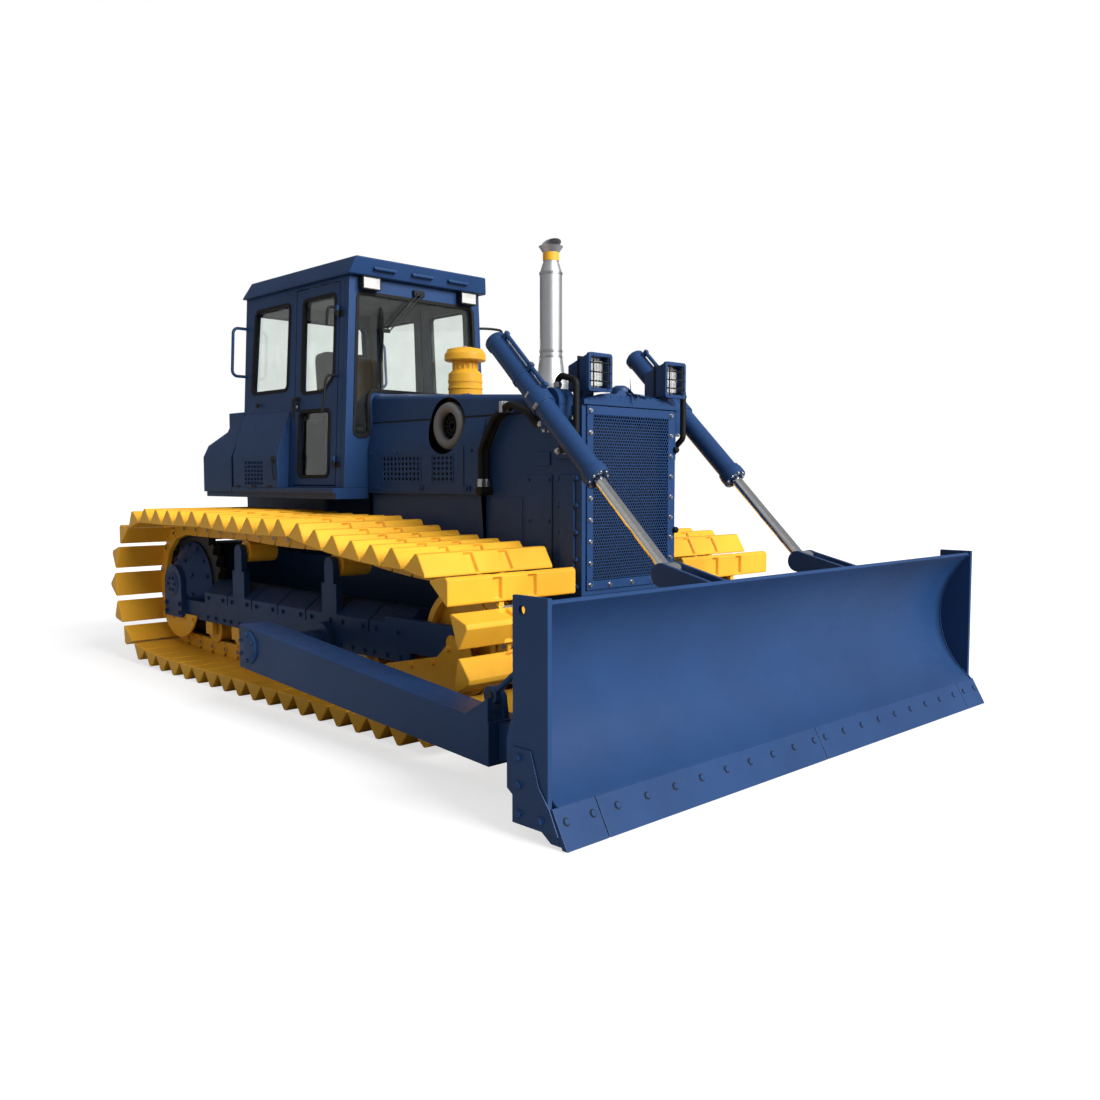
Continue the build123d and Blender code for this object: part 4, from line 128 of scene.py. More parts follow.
class Nodes:
    """A material's node tree, with short ways to add and join nodes."""

    def __init__(self, name: str) -> None:
        """Start an empty material of that name with its shader and output."""
        self.material = bpy.data.materials.new(name)
        self.material.use_nodes = True
        self.tree = self.material.node_tree
        self.tree.nodes.clear()
        self.shader = self.add("ShaderNodeBsdfPrincipled")
        output = self.add("ShaderNodeOutputMaterial")
        self.join(self.shader, "BSDF", output, "Surface")
        self.place = self.add("ShaderNodeTexCoord")

    def add(self, kind: str, **settings: object) -> bpy.types.Node:
        """Add a node; settings are its properties."""
        node = self.tree.nodes.new(kind)
        for key, value in settings.items():
            setattr(node, key, value)
        return node

    def join(self, a: bpy.types.Node, out: str | int, b: bpy.types.Node, into: str | int) -> None:
        """Link one node's output to another's input."""
        self.tree.links.new(a.outputs[out], b.inputs[into])

    def noise(self, scale: float, detail: float = 4.0, rough: float = 0.55,
              stretch: tuple[float, float, float] = (1, 1, 1)) -> bpy.types.Node:
        """Noise on the object's own coordinates.

        Args:
            scale: features per metre.
            detail: octaves.
            rough: strength of the fine octaves.
            stretch: scale along each axis.

        Returns:
            The noise node.
        """
        mapping = self.add("ShaderNodeMapping")
        mapping.inputs["Scale"].default_value = stretch
        self.join(self.place, "Object", mapping, "Vector")
        node = self.add("ShaderNodeTexNoise")
        node.inputs["Scale"].default_value = scale
        node.inputs["Detail"].default_value = detail
        node.inputs["Roughness"].default_value = rough
        self.join(mapping, "Vector", node, "Vector")
        return node

    def ramp(self, source: bpy.types.Node, stops: Sequence[tuple[float, Colour]]) -> bpy.types.Node:
        """Colour ramp over a source's value.

        Args:
            source: node whose value drives the ramp.
            stops: positions with their colours.

        Returns:
            The ramp node.
        """
        node = self.add("ShaderNodeValToRGB")
        elements = node.color_ramp.elements
        while len(elements) < len(stops):
            elements.new(1.0)
        for element, (position, colour) in zip(elements, stops):
            element.position = position
            element.color = (*colour, 1.0)
        self.join(source, "Fac", node, "Fac")
        return node

    def mix(self, factor: bpy.types.Node, first: bpy.types.Node, second: bpy.types.Node) -> bpy.types.Node:
        """Blend two colours by a factor node."""
        node = self.add("ShaderNodeMix", data_type="RGBA")
        self.join(factor, 0, node, MIX_FACTOR)
        self.join(first, 0, node, MIX_FIRST)
        self.join(second, 0, node, MIX_SECOND)
        return node

    def grey(self, source: bpy.types.Node, low: float, high: float, into: str) -> None:
        """Drive one of the shader's inputs by a source between two values."""
        node = self.add("ShaderNodeMapRange")
        node.inputs["To Min"].default_value = low
        node.inputs["To Max"].default_value = high
        self.join(source, 0, node, 0)
        self.join(node, 0, self.shader, into)

    def bump(self, source: bpy.types.Node, strength: float, depth: float) -> None:
        """Raise the surface by a source's value."""
        node = self.add("ShaderNodeBump")
        node.inputs["Strength"].default_value = strength
        node.inputs["Distance"].default_value = depth
        self.join(source, 0, node, "Height")
        self.join(node, "Normal", self.shader, "Normal")

    def fix(self, **values: object) -> None:
        """Set constant values on the shader's own sockets, by name with spaces as underscores."""
        for key, value in values.items():
            self.shader.inputs[key.replace("_", " ")].default_value = value


def shade(colour: Colour, factor: float) -> Colour:
    """A lighter or darker version of a colour."""
    return tuple(min(1.0, c * factor) for c in colour)


@dataclass(frozen=True)
class Paint:
    """Sprayed machine paint with a faint orange peel, dust in patches and fine rubbed scratches."""

    name: str
    slot: str
    colour: Colour
    dust: Colour = (0.25, 0.21, 0.16)
    dirt: float = 0.25
    gloss: float = 0.34
    coat: float = 0.25
    coat_rough: float = 0.25
    shine: float = 0.18
    patches: float = 1.6
    specks: float = 38.0
    rubbing: float = 9.0
    peel: float = 210.0
    peel_depth: float = 0.002

    def make(self) -> bpy.types.Material:
        """Build the node material."""
        n = Nodes(f"finish_{self.name}")
        broad = n.noise(self.patches, 5.0)
        base = n.ramp(broad, [(0.3, shade(self.colour, 0.88)), (0.7, shade(self.colour, 1.1))])
        fine = n.noise(self.specks, 6.0, 0.7)
        grime = n.ramp(fine, [(0.52, (0, 0, 0)), (0.86, (self.dirt, self.dirt, self.dirt))])
        dusty = n.ramp(broad, [(0.0, self.dust), (1.0, shade(self.dust, 0.7))])
        n.join(n.mix(grime, base, dusty), MIX_RESULT, n.shader, "Base Color")
        rub = n.noise(self.rubbing, 5.0, 0.6, (1, 1, 2.5))
        n.grey(rub, self.gloss - 0.06, self.gloss + 0.16, "Roughness")
        n.bump(n.noise(self.peel, 2.0), 0.06, self.peel_depth)
        n.fix(Coat_Weight=self.coat, Coat_Roughness=self.coat_rough, Specular_IOR_Level=self.shine)
        return n.material


@dataclass(frozen=True)
class Metal:
    """Bare, plated or cast metal, with drawn or blotchy variation."""

    name: str
    slot: str
    colour: Colour
    roughness: float
    metallic: float = 1.0
    grain: tuple[float, float, float] = (1, 1, 1)
    pit: float = 0.0
    streaks: float = 60.0
    pits: float = 140.0
    pit_depth: float = 0.003

    def make(self) -> bpy.types.Material:
        """Build the node material."""
        n = Nodes(f"finish_{self.name}")
        streak = n.noise(self.streaks, 4.0, 0.6, self.grain)
        n.join(n.ramp(streak, [(0.25, shade(self.colour, 0.8)), (0.75, shade(self.colour, 1.08))]), 0,
               n.shader, "Base Color")
        n.grey(streak, self.roughness * 0.8, self.roughness * 1.25, "Roughness")
        if self.pit:
            n.bump(n.noise(self.pits, 5.0), self.pit, self.pit_depth)
        n.fix(Metallic=self.metallic)
        return n.material


@dataclass(frozen=True)
class Moulded:
    """Rubber, plastic or vinyl with a fine grain."""

    name: str
    slot: str
    colour: Colour
    roughness: float = 0.6
    grain: float = 320.0
    depth: float = 0.25
    shine: float = 0.18
    patches: float = 7.0
    grain_depth: float = 0.001

    def make(self) -> bpy.types.Material:
        """Build the node material."""
        n = Nodes(f"finish_{self.name}")
        n.fix(Specular_IOR_Level=self.shine)
        broad = n.noise(self.patches, 4.0)
        n.join(n.ramp(broad, [(0.3, shade(self.colour, 0.8)), (0.7, shade(self.colour, 1.25))]), 0,
               n.shader, "Base Color")
        n.grey(broad, self.roughness - 0.08, self.roughness + 0.12, "Roughness")
        n.bump(n.noise(self.grain, 3.0), self.depth, self.grain_depth)
        return n.material


@dataclass(frozen=True)
class Glass:
    """Tinted glass with a faint film of dust."""

    name: str
    slot: str
    colour: Colour
    film: float = 5.0
    haze: float = 0.05
    bend: float = 1.45

    def make(self) -> bpy.types.Material:
        """Build the node material."""
        n = Nodes(f"finish_{self.name}")
        film = n.noise(self.film, 5.0)
        n.join(n.ramp(film, [(0.3, self.colour), (0.8, shade(self.colour, 0.93))]), 0, n.shader, "Base Color")
        n.grey(film, 0.0, self.haze, "Roughness")
        n.fix(Transmission_Weight=1.0, IOR=self.bend)
        return n.material


class Finish(Enum):
    """Every finish on the machine."""

    BLUE = Paint("blue_paint", "blue_paint", (0.0120, 0.0400, 0.118), dirt=0.03, gloss=0.38, coat=0.03)
    # Darker copy of the blue paint: its lower tone is painted shade on the low frames, and its slightly higher dirt
    # is real dust
    SHADED_FRAME_BLUE = Paint("shaded_frame_blue_paint", "dark_blue_paint", (0.0090, 0.0320, 0.096), dirt=0.04,
                       gloss=0.42, coat=0.02)
    YELLOW = Paint("yellow_paint", "yellow_paint", (0.70, 0.355, 0.027), dust=(0.3, 0.16, 0.04), dirt=0.12,
                   gloss=0.38, coat=0.05)
    CASTING = Metal("dark_casting", "dark_casting", (0.035, 0.034, 0.036), 0.5, 0.6, pit=0.2)
    WORN = Metal("worn_steel", "worn_steel", (0.28, 0.26, 0.24), 0.42, pit=0.1)
    STEEL = Metal("bolt_steel", "worn_steel", (0.46, 0.46, 0.47), 0.34, pit=0.05)
    CORE = Moulded("black_core", "black_core", (0.012, 0.013, 0.015), 0.7, 180.0)
    ALUMINIUM = Metal("aluminium", "aluminium", (0.50, 0.51, 0.53), 0.44, 0.97, (9, 9, 0.6))
    GREY = Paint("grey_casting", "aluminium", (0.13, 0.132, 0.137), dirt=0.10, gloss=0.42, coat=0.0)
    CHROME = Metal("chrome_rod", "chrome_rod", (0.66, 0.67, 0.69), 0.16)
    GLASS = Glass("cab_glass", "glass", (0.885, 0.925, 0.900))
    WHITE = Moulded("lamp_white", "lamp_glass", (0.50, 0.50, 0.48), 0.25, 90.0, 0.10, 0.4)
    VINYL = Moulded("seat_vinyl", "seat_vinyl", (0.03, 0.032, 0.034), 0.55, 260.0, 0.35)
    PLASTIC = Moulded("black_plastic", "black_plastic", (0.007, 0.0075, 0.0085), 0.5)
    RUBBER = Moulded("black_rubber", "black_plastic", (0.006, 0.006, 0.0065), 0.62, 240.0)
    LINING = Moulded("cab_lining", "black_plastic", (0.12, 0.13, 0.125), 0.7, 200.0)

    def material(self) -> bpy.types.Material:
        """The finish's material, made once."""
        return bpy.data.materials.get(f"finish_{self.value.name}") or self.value.make()


# Mesh making


# Distances that close a turned mesh and a CAD copy, and the angle under which CAD faces are one
WELD = 1e-5
CAD_WELD = 2e-5
CAD_FLAT = math.radians(0.6)
# A bolt's washer and head, as shares of its size across the corners
WASHER_RADIUS, WASHER_HEIGHT = 0.62, 0.12
HEAD_RADIUS, HEAD_TOP, HEAD_HEIGHT = 0.5, 0.47, 0.5
SUNK = 0.002


def bevel(mesh: bmesh.types.BMesh, geom: list, width: float, segments: int = 2, affect: str = "EDGES",
          clamp: bool = True) -> None:
    """Round edges or corners over.

    Args:
        mesh: mesh they belong to.
        geom: the edges or vertices.
        width: width of the rounding.
        segments: faces across it.
        affect: EDGES or VERTICES.
        clamp: whether roundings stop where they would meet.
    """
    bmesh.ops.bevel(mesh, geom=geom, offset=width, offset_type="OFFSET", affect=affect, segments=segments,
                    profile=0.5, clamp_overlap=clamp, material=-1)


def thicken(sheet: bmesh.types.BMesh, by: Vector) -> None:
    """Give a sheet its thickness and turn its faces outwards."""
    made = bmesh.ops.extrude_face_region(sheet, geom=list(sheet.faces), use_keep_orig=True)["geom"]
    bmesh.ops.translate(sheet, verts=[v for v in made if isinstance(v, bmesh.types.BMVert)], vec=by)
    bmesh.ops.recalc_face_normals(sheet, faces=list(sheet.faces))


def flip(mesh: bmesh.types.BMesh) -> None:
    """Turn a mesh into its mirror image on the machine's other side."""
    bmesh.ops.scale(mesh, vec=(1, -1, 1), verts=list(mesh.verts))
    bmesh.ops.reverse_faces(mesh, faces=list(mesh.faces))


class Form:
    """A mesh in the making, with the few shaping moves that the pieces share."""

    def __init__(self) -> None:
        """Start empty."""
        self.mesh = bmesh.new()

    def _paint(self, verts: Iterable[bmesh.types.BMVert], paint: int) -> None:
        """Give the faces of some vertices a material index."""
        for vert in verts:
            for face in vert.link_faces:
                face.material_index = paint

    def box(self, low: Vector, high: Vector, edge: float = 0.0, paint: int = 0) -> None:
        """Box between two corners.

        Args:
            low: one corner.
            high: the opposite corner.
            edge: width of the rounded edges, if any.
            paint: material index.
        """
        size = Vector(high) - Vector(low)
        place = Matrix.Translation((Vector(high) + Vector(low)) / 2) @ Matrix.Diagonal((*map(abs, size), 1))
        verts = bmesh.ops.create_cube(self.mesh, size=1.0, matrix=place)["verts"]
        self._paint(verts, paint)
        if edge:
            bevel(self.mesh, list({e for v in verts for e in v.link_edges}), edge)

    def rod(self, start: Vector, end: Vector, radius: float, end_radius: float | None = None, sides: int = 20,
            edge: float = 0.0, paint: int = 0) -> None:
        """Round bar or taper.

        Args:
            start: centre of the first end.
            end: centre of the second end.
            radius: radius at the start.
            end_radius: radius at the end, if it differs.
            sides: sides of the round.
            edge: width of the rounded rims, if any.
            paint: material index.
        """
        axis = Vector(end) - Vector(start)
        turn = axis.to_track_quat("Z", "Y").to_matrix().to_4x4()
        place = Matrix.Translation((Vector(start) + Vector(end)) / 2) @ turn
        verts = bmesh.ops.create_cone(self.mesh, cap_ends=True, cap_tris=False, segments=sides, radius1=radius,
                                      radius2=radius if end_radius is None else end_radius, depth=axis.length,
                                      matrix=place)["verts"]
        self._paint(verts, paint)
        if edge:
            rims = {e for v in verts for e in v.link_edges if any(len(f.verts) > 4 for f in e.link_faces)}
            bevel(self.mesh, list(rims), edge)

    def bolt(self, foot: Vector, out: Vector, across: float, paint: int = 0) -> None:
        """Hexagon bolt head on a washer.

        Args:
            foot: point on the face it is screwed to.
            out: direction out of the face.
            across: size across the corners.
            paint: material index.
        """
        out = Vector(out).normalized()
        foot = Vector(foot)
        self.rod(foot - out * SUNK, foot + out * across * WASHER_HEIGHT, across * WASHER_RADIUS, sides=14,
                 paint=paint)
        self.rod(foot, foot + out * across * HEAD_HEIGHT, across * HEAD_RADIUS, across * HEAD_TOP, sides=6,
                 paint=paint)

    def turn(self, profile: Sequence[Flat], foot: Vector, axis: Vector, sides: int = 40, paint: int = 0) -> None:
        """Turned piece.

        Args:
            profile: (radius, height) points along the axis.
            foot: where height is 0.
            axis: direction of height.
            sides: steps of the full turn.
            paint: material index.
        """
        axis = Vector(axis).normalized()
        across = axis.orthogonal().normalized()
        foot = Vector(foot)
        verts = [self.mesh.verts.new(foot + axis * h + across * r) for r, h in profile]
        edges = [self.mesh.edges.new(pair) for pair in zip(verts, verts[1:])]
        before = set(self.mesh.faces)
        bmesh.ops.spin(self.mesh, geom=verts + edges, cent=foot, axis=axis, angle=2 * math.pi, steps=sides,
                       use_merge=True, use_duplicate=False)
        faces = [f for f in self.mesh.faces if f not in before]
        points = list({v for f in faces for v in f.verts})
        bmesh.ops.remove_doubles(self.mesh, verts=points, dist=WELD)
        faces = [f for f in self.mesh.faces if f not in before]
        for face in faces:
            face.material_index = paint
        bmesh.ops.recalc_face_normals(self.mesh, faces=faces)

    def cell(self, middle: Vector, depth: float, pitch: float, hole: float) -> None:
        """One cell of a honeycomb that faces ahead.

        Args:
            middle: centre of the cell's rear face.
            depth: thickness of the sheet.
            pitch: distance between neighbouring cells.
            hole: width of the hole across its flats.
        """
        facing = Matrix(((0, 0, 1), (1, 0, 0), (0, 1, 0))).to_4x4()
        piece = bmesh.new()
        bmesh.ops.create_circle(piece, cap_ends=True, cap_tris=False, segments=6, radius=pitch / math.sqrt(3),
                                matrix=Matrix.Translation(middle) @ facing)
        bmesh.ops.inset_region(piece, faces=list(piece.faces), thickness=(pitch - hole) / 2,
                               use_even_offset=True, use_boundary=True)
        inner = max(piece.faces, key=lambda f: len(f.verts))
        bmesh.ops.delete(piece, geom=[inner], context="FACES")
        thicken(piece, AHEAD * depth)
        self.take(piece)

    def array(self, count: int, step: Vector) -> None:
        """Repeat all that is drawn so far along a line.

        Args:
            count: how many there are in the end.
            step: distance from one to the next.
        """
        geom = [*self.mesh.verts, *self.mesh.edges, *self.mesh.faces]
        for number in range(1, count):
            made = bmesh.ops.duplicate(self.mesh, geom=geom)["geom"]
            moved = [v for v in made if isinstance(v, bmesh.types.BMVert)]
            bmesh.ops.translate(self.mesh, verts=moved, vec=step * number)

    def _sheet(self, outline: Sequence[Vector], corner: float, segments: int) -> bmesh.types.BMesh:
        """Single face of an outline with its corners rounded."""
        piece = bmesh.new()
        face = piece.faces.new([piece.verts.new(p) for p in outline])
        if corner:
            bevel(piece, list(face.verts), corner, segments, "VERTICES")
        return piece

    def _slab(self, piece: bmesh.types.BMesh, thick: Vector, edge: float, paint: int) -> None:
        """Thicken a sheet, round its rims and add it to this form."""
        thicken(piece, thick)
        if edge:
            way = Vector(thick).normalized()
            rims = [e for e in piece.edges if sum(abs(f.normal.dot(way)) > 0.9 for f in e.link_faces) == 1]
            bevel(piece, rims, edge)
        for face in piece.faces:
            face.material_index = paint
        self.take(piece)

    def plate(self, outline: Sequence[Vector], thick: Vector, corner: float = 0.0, edge: float = 0.0,
              paint: int = 0) -> None:
        """Flat plate of an outline.

        Args:
            outline: corner points in order.
            thick: the plate's thickness as a vector.
            corner: radius of rounded corners, if any.
            edge: width of the rounded rims, if any.
            paint: material index.
        """
        self._slab(self._sheet(outline, corner, 5), thick, edge, paint)

    def band(self, outline: Sequence[Vector], width: float, thick: Vector, corner: float, edge: float = 0.0,
             paint: int = 0) -> None:
        """Flat ring that runs inside an outline, such as a window's rubber.

        Args:
            outline: corner points in order.
            width: width of the band.
            thick: its thickness as a vector.
            corner: radius of its outer corners.
            edge: width of the rounded rims, if any.
            paint: material index.
        """
        piece = self._sheet(outline, corner, 6)
        bmesh.ops.inset_region(piece, faces=list(piece.faces), thickness=width, use_even_offset=True,
                               use_boundary=True)
        inner = max(piece.faces, key=lambda f: len(f.verts))
        bmesh.ops.delete(piece, geom=[inner], context="FACES_ONLY")
        self._slab(piece, thick, edge, paint)

    def pipe(self, points: Sequence[Vector], radius: float, sides: int = 10, closed: bool = False,
             paint: int = 0) -> None:
        """Bent tube along a smooth line.

        Args:
            points: control points of the line.
            radius: radius of the tube.
            sides: sides of the round.
            closed: whether the line closes on itself.
            paint: material index.
        """
        curve = bpy.data.curves.new("line", "CURVE")
        curve.dimensions = "3D"
        curve.bevel_depth = radius
        curve.bevel_resolution = max(0, sides // 2 - 2)
        curve.use_fill_caps = not closed
        curve.resolution_u = 6
        spline = curve.splines.new("NURBS")
        spline.points.add(len(points) - 1)
        for knot, point in zip(spline.points, points):
            knot.co = (*point, 1.0)
        spline.order_u = 3
        spline.use_endpoint_u = not closed
        spline.use_cyclic_u = closed
        holder = bpy.data.objects.new("line", curve)
        bpy.context.scene.collection.objects.link(holder)
        graph = bpy.context.evaluated_depsgraph_get()
        tube = bpy.data.meshes.new_from_object(holder.evaluated_get(graph))
        piece = bmesh.new()
        piece.from_mesh(tube)
        for face in piece.faces:
            face.material_index = paint
            face.smooth = True
        bpy.data.objects.remove(holder)
        bpy.data.curves.remove(curve)
        bpy.data.meshes.remove(tube)
        self.take(piece)

    def take(self, piece: bmesh.types.BMesh, place: Matrix | None = None) -> None:
        """Add another mesh to this one and free it.

        Args:
            piece: the mesh to add.
            place: where to put it, if not where it is.
        """
        if place is not None:
            bmesh.ops.transform(piece, matrix=place, verts=list(piece.verts))
        carrier = bpy.data.meshes.new("carrier")
        piece.to_mesh(carrier)
        piece.free()
        self.mesh.from_mesh(carrier)
        bpy.data.meshes.remove(carrier)

    def add(self, other: "Form", place: Matrix) -> None:
        """Add a copy of another form at a place."""
        self.take(other.mesh.copy(), place)

    def mirror(self) -> None:
        """Add the mirror image on the machine's other side."""
        twin = self.mesh.copy()
        flip(twin)
        self.take(twin)

    def flipped(self, side: Side) -> "Form":
        """Turn a right-hand form into the given side's."""
        if side is Side.LEFT:
            flip(self.mesh)
        return self

    def piece(self, name: str, body: Body, *finishes: Finish, replaces: Sequence[str] = (),
              smooth: float = 32.0) -> bpy.types.Object:
        """Make the finished object, riding on its body.

        Args:
            name: the piece's name.
            body: the body it rides on.
            finishes: one finish for each material index.
            replaces: CAD nodes that it stands for.
            smooth: largest angle that is shaded smooth, in degrees.

        Returns:
            The object.
        """
        data = bpy.data.meshes.new(name)
        self.mesh.to_mesh(data)
        self.mesh.free()
        for finish in finishes:
            data.materials.append(finish.material())
        data.shade_smooth()
        data.set_sharp_from_angle(angle=math.radians(smooth))
        thing = bpy.data.objects.new(name, data)
        bpy.context.scene.collection.objects.link(thing)
        even = thing.modifiers.new("even_shading", "WEIGHTED_NORMAL")
        even.keep_sharp = True
        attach(thing, body.value)
        if replaces:
            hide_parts(*replaces)
        LOG.info("%s on %s: %d faces", name, body.value, len(data.polygons))
        return thing


def cad_copy(node: str) -> bmesh.types.BMesh:
    """Merged copy of a CAD node's mesh, with flat faces made whole again.

    Args:
        node: the CAD node's name.

    Returns:
        The copy, to be shaped further.
    """
    copy = bmesh.new()
    copy.from_mesh(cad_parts[node].data)
    bmesh.ops.remove_doubles(copy, verts=list(copy.verts), dist=CAD_WELD)
    bmesh.ops.dissolve_limit(copy, angle_limit=CAD_FLAT, verts=list(copy.verts), edges=list(copy.edges))
    return copy


@dataclass
class SoftenedNode:
    """A CAD node taken over with its sharp edges broken, as sheet and plate really are."""

    node: str
    body: Body
    finish: Finish
    edge: float = 0.004
    angle: float = 40.0
    inward: tuple[float, float, float] | None = None
    facing: float = 0.7

    def build(self) -> bpy.types.Object:
        """Round the node's sharp edges, line its inner side if it has one, and stand in for it."""
        form = Form()
        form.take(cad_copy(self.node))
        sharp = [e for e in form.mesh.edges if len(e.link_faces) == 2
                 and e.calc_face_angle(0.0) > math.radians(self.angle)]
        bevel(form.mesh, sharp, self.edge, clamp=False)
        finishes = [self.finish]
        if self.inward:
            finishes.append(Finish.LINING)
            for face in form.mesh.faces:
                face.material_index = int(face.normal.dot(Vector(self.inward)) > self.facing)
        return form.piece(f"{self.node}_finished", self.body, *finishes, replaces=[self.node], smooth=self.angle)


# Undercarriage


@dataclass
class Track:
    """One track: swamp shoes with mud slots on a chain of bolted links, laid where the CAD loop has its shoes."""

    side: Side
    pitch: float = 0.2032
    shoe_width: float = 0.95
    shoe_length: float = 0.190
    shoe_base: float = 0.058
    plate: float = 0.014
    crest: float = 0.170
    crest_width: float = 0.028
    rail_spread: float = 0.085
    rail_width: float = 0.038
    rail_depth: float = 0.052
    pin_radius: float = 0.034
    pin_end: float = 0.017
    bush_radius: float = 0.030
    slot_sides: tuple[float, ...] = (-0.165, -0.095, 0.095, 0.165)
    slot_middle: float = 0.130
    slot_rim: float = 0.014
    slot_depth: float = 0.022
    edge: float = 0.004
    bolt_reach: float = 0.055
    bolt_radius: float = 0.017
    bolt_drop: float = 0.030

    def node(self) -> str:
        """The CAD node of this track."""
        return f"track_{self.side.name.lower()}"

    def seats(self) -> list[Matrix]:
        """Places of the links, read from the flat crests of the CAD shoes."""
        loop = cad_copy(self.node())
        area = self.shoe_width * self.crest_width
        places = []
        for face in loop.faces:
            spread = [v.co.y for v in face.verts]
            if max(spread) - min(spread) < self.shoe_width * 0.9:
                continue
            if abs(face.calc_area() - area) < area * 0.05 and abs(face.normal.y) < 0.1:
                out = face.normal.copy()
                across = Vector((0, 1, 0))
                ahead = across.cross(out)
                middle = face.calc_center_median() - out * self.crest
                turn = Matrix((ahead, across, out)).transposed().to_4x4()
                places.append(Matrix.Translation(middle) @ turn)
        loop.free()
        return places

    def shoe(self) -> Form:
        """One triangular shoe about its link's middle, X ahead, Z out of the loop."""
        form = Form()
        half = self.shoe_width / 2
        long = self.shoe_length / 2
        low = self.shoe_base + self.plate
        profile = [(-long, self.shoe_base), (long, self.shoe_base), (long, low), (self.crest_width / 2, self.crest),
                   (-self.crest_width / 2, self.crest), (-long, low)]
        form.plate([Vector((x, -half, z)) for x, z in profile], Vector((0, 2 * half, 0)))
        for y in self.slot_sides:
            geom = [*form.mesh.verts, *form.mesh.edges, *form.mesh.faces]
            bmesh.ops.bisect_plane(form.mesh, geom=geom, plane_co=(0, y, 0), plane_no=(0, 1, 0))
        slots = [f for f in form.mesh.faces if abs(f.normal.y) < 0.1 and abs(f.normal.x) > 0.4
                 and abs(abs(f.calc_center_median().y) - self.slot_middle) < 0.02 and f.calc_area() > 0.004]
        bmesh.ops.inset_individual(form.mesh, faces=slots, thickness=self.slot_rim, depth=0.0)
        for face in slots:
            bmesh.ops.translate(form.mesh, verts=list(face.verts), vec=-face.normal * self.slot_depth)
        sharp = [e for e in form.mesh.edges if len(e.link_faces) == 2 and e.calc_face_angle(0.0) > 0.6]
        bevel(form.mesh, sharp, self.edge, 1)
        for x in (-self.bolt_reach, self.bolt_reach):
            for y in (-self.rail_spread, self.rail_spread):
                foot = Vector((x, y, self.shoe_base))
                form.rod(foot, foot - UP * self.bolt_drop, self.bolt_radius, sides=6, paint=1)
        return form

    def link(self) -> Form:
        """Both rails of one link with the pin bosses and the bush."""
        form = Form()
        long = self.pitch / 2
        for y in (-self.rail_spread, self.rail_spread):
            low = y - self.rail_width / 2
            outline = [(-long + 0.012, -self.rail_depth), (long - 0.012, -self.rail_depth), (long + 0.008, -0.03),
                       (long + 0.008, 0.026), (long - 0.02, self.shoe_base), (-long + 0.03, self.shoe_base),
                       (-long + 0.012, 0.026), (-long + 0.012, -0.03)]
            form.plate([Vector((x, low, z)) for x, z in outline], Vector((0, self.rail_width, 0)), edge=0.003)
            boss = y + math.copysign(self.rail_width / 2, y)
            form.rod(Vector((long, y, 0)), Vector((long, boss + math.copysign(0.006, y), 0)), self.pin_radius,
                     sides=14, edge=0.002)
            form.rod(Vector((long, boss, 0)), Vector((long, boss + math.copysign(0.009, y), 0)), self.pin_end,
                     sides=10, paint=1)
        form.rod(Vector((long, -self.rail_spread, 0)), Vector((long, self.rail_spread, 0)), self.bush_radius,
                 sides=12, paint=1)
        return form

    def build(self) -> bpy.types.Object:
        """Lay every shoe and link round the loop."""
        shoe = self.shoe()
        link = self.link()
        form = Form()
        for place in self.seats():
            form.add(shoe, place)
            form.add(link, place)
        shoe.mesh.free()
        link.mesh.free()
        name = f"{self.node()}_chain"
        return form.piece(name, Body.CHASSIS, Finish.YELLOW, Finish.WORN, replaces=[self.node()], smooth=30.0)


# Radiator, lamps and hood


@dataclass
class Grille:
    """Punched radiator plate: a honeycomb of small hexagons in a bolted rim."""

    face: float = 3.830
    plate: float = 0.012
    half: float = 0.397
    bottom: float = 0.818
    top: float = 1.904
    edge: float = 0.052
    pitch: float = 0.0208
    hole: float = 0.0162
    mesh_depth: float = 0.005
    sunk: float = 0.003
    rounding: float = 0.003
    bolt: float = 0.024
    side_bolts: int = 9
    bolt_margin: float = 0.030
    foot_bolts: tuple[float, ...] = (-0.2, 0.0, 0.2)
    foot_height: float = 0.025

    def honeycomb(self, form: Form) -> None:
        """Lay the hexagon cells row by row inside the rim."""
        wide = 2 * (self.half - self.edge)
        tall = self.top - self.bottom - 2 * self.edge
        columns = int(wide / self.pitch) + 1
        rows = int(tall / (self.pitch * math.sqrt(3))) + 1
        start = at(self.face + self.sunk, -wide / 2, self.bottom + self.edge)
        cells = Form()
        for step in (Vector((0, 0, 0)), Vector((0, self.pitch / 2, self.pitch * math.sqrt(3) / 2))):
            cells.cell(start + step, self.mesh_depth, self.pitch, self.hole)
        cells.array(columns, Vector((0, self.pitch, 0)))
        cells.array(rows, Vector((0, 0, self.pitch * math.sqrt(3))))
        form.add(cells, Matrix.Identity(4))
        cells.mesh.free()

    def build(self) -> bpy.types.Object:
        """Make the plate with its rim and bolts."""
        form = Form()
        self.honeycomb(form)
        x0, x1 = self.face, self.face + self.plate
        inner = self.half - self.edge
        for low, high in ((self.bottom, self.bottom + self.edge), (self.top - self.edge, self.top)):
            form.box(at(x0, -self.half, low), at(x1, self.half, high), self.rounding)
        for y in (-self.half, inner):
            form.box(at(x0, y, self.bottom + self.edge), at(x1, y + self.edge, self.top - self.edge), self.rounding)
        side = self.half - self.edge / 2
        tall = self.top - self.bottom - 2 * self.bolt_margin
        for step in range(self.side_bolts):
            z = self.bottom + self.bolt_margin + tall * step / (self.side_bolts - 1)
            for y in (-side, side):
                form.bolt(at(x1, y, z), AHEAD, self.bolt, paint=1)
        for y in self.foot_bolts:
            form.bolt(at(x1, y, self.bottom + self.foot_height), AHEAD, self.bolt, paint=1)
        return form.piece("grille_plate", Body.CHASSIS, Finish.BLUE, Finish.STEEL, replaces=["radiator_grille"])


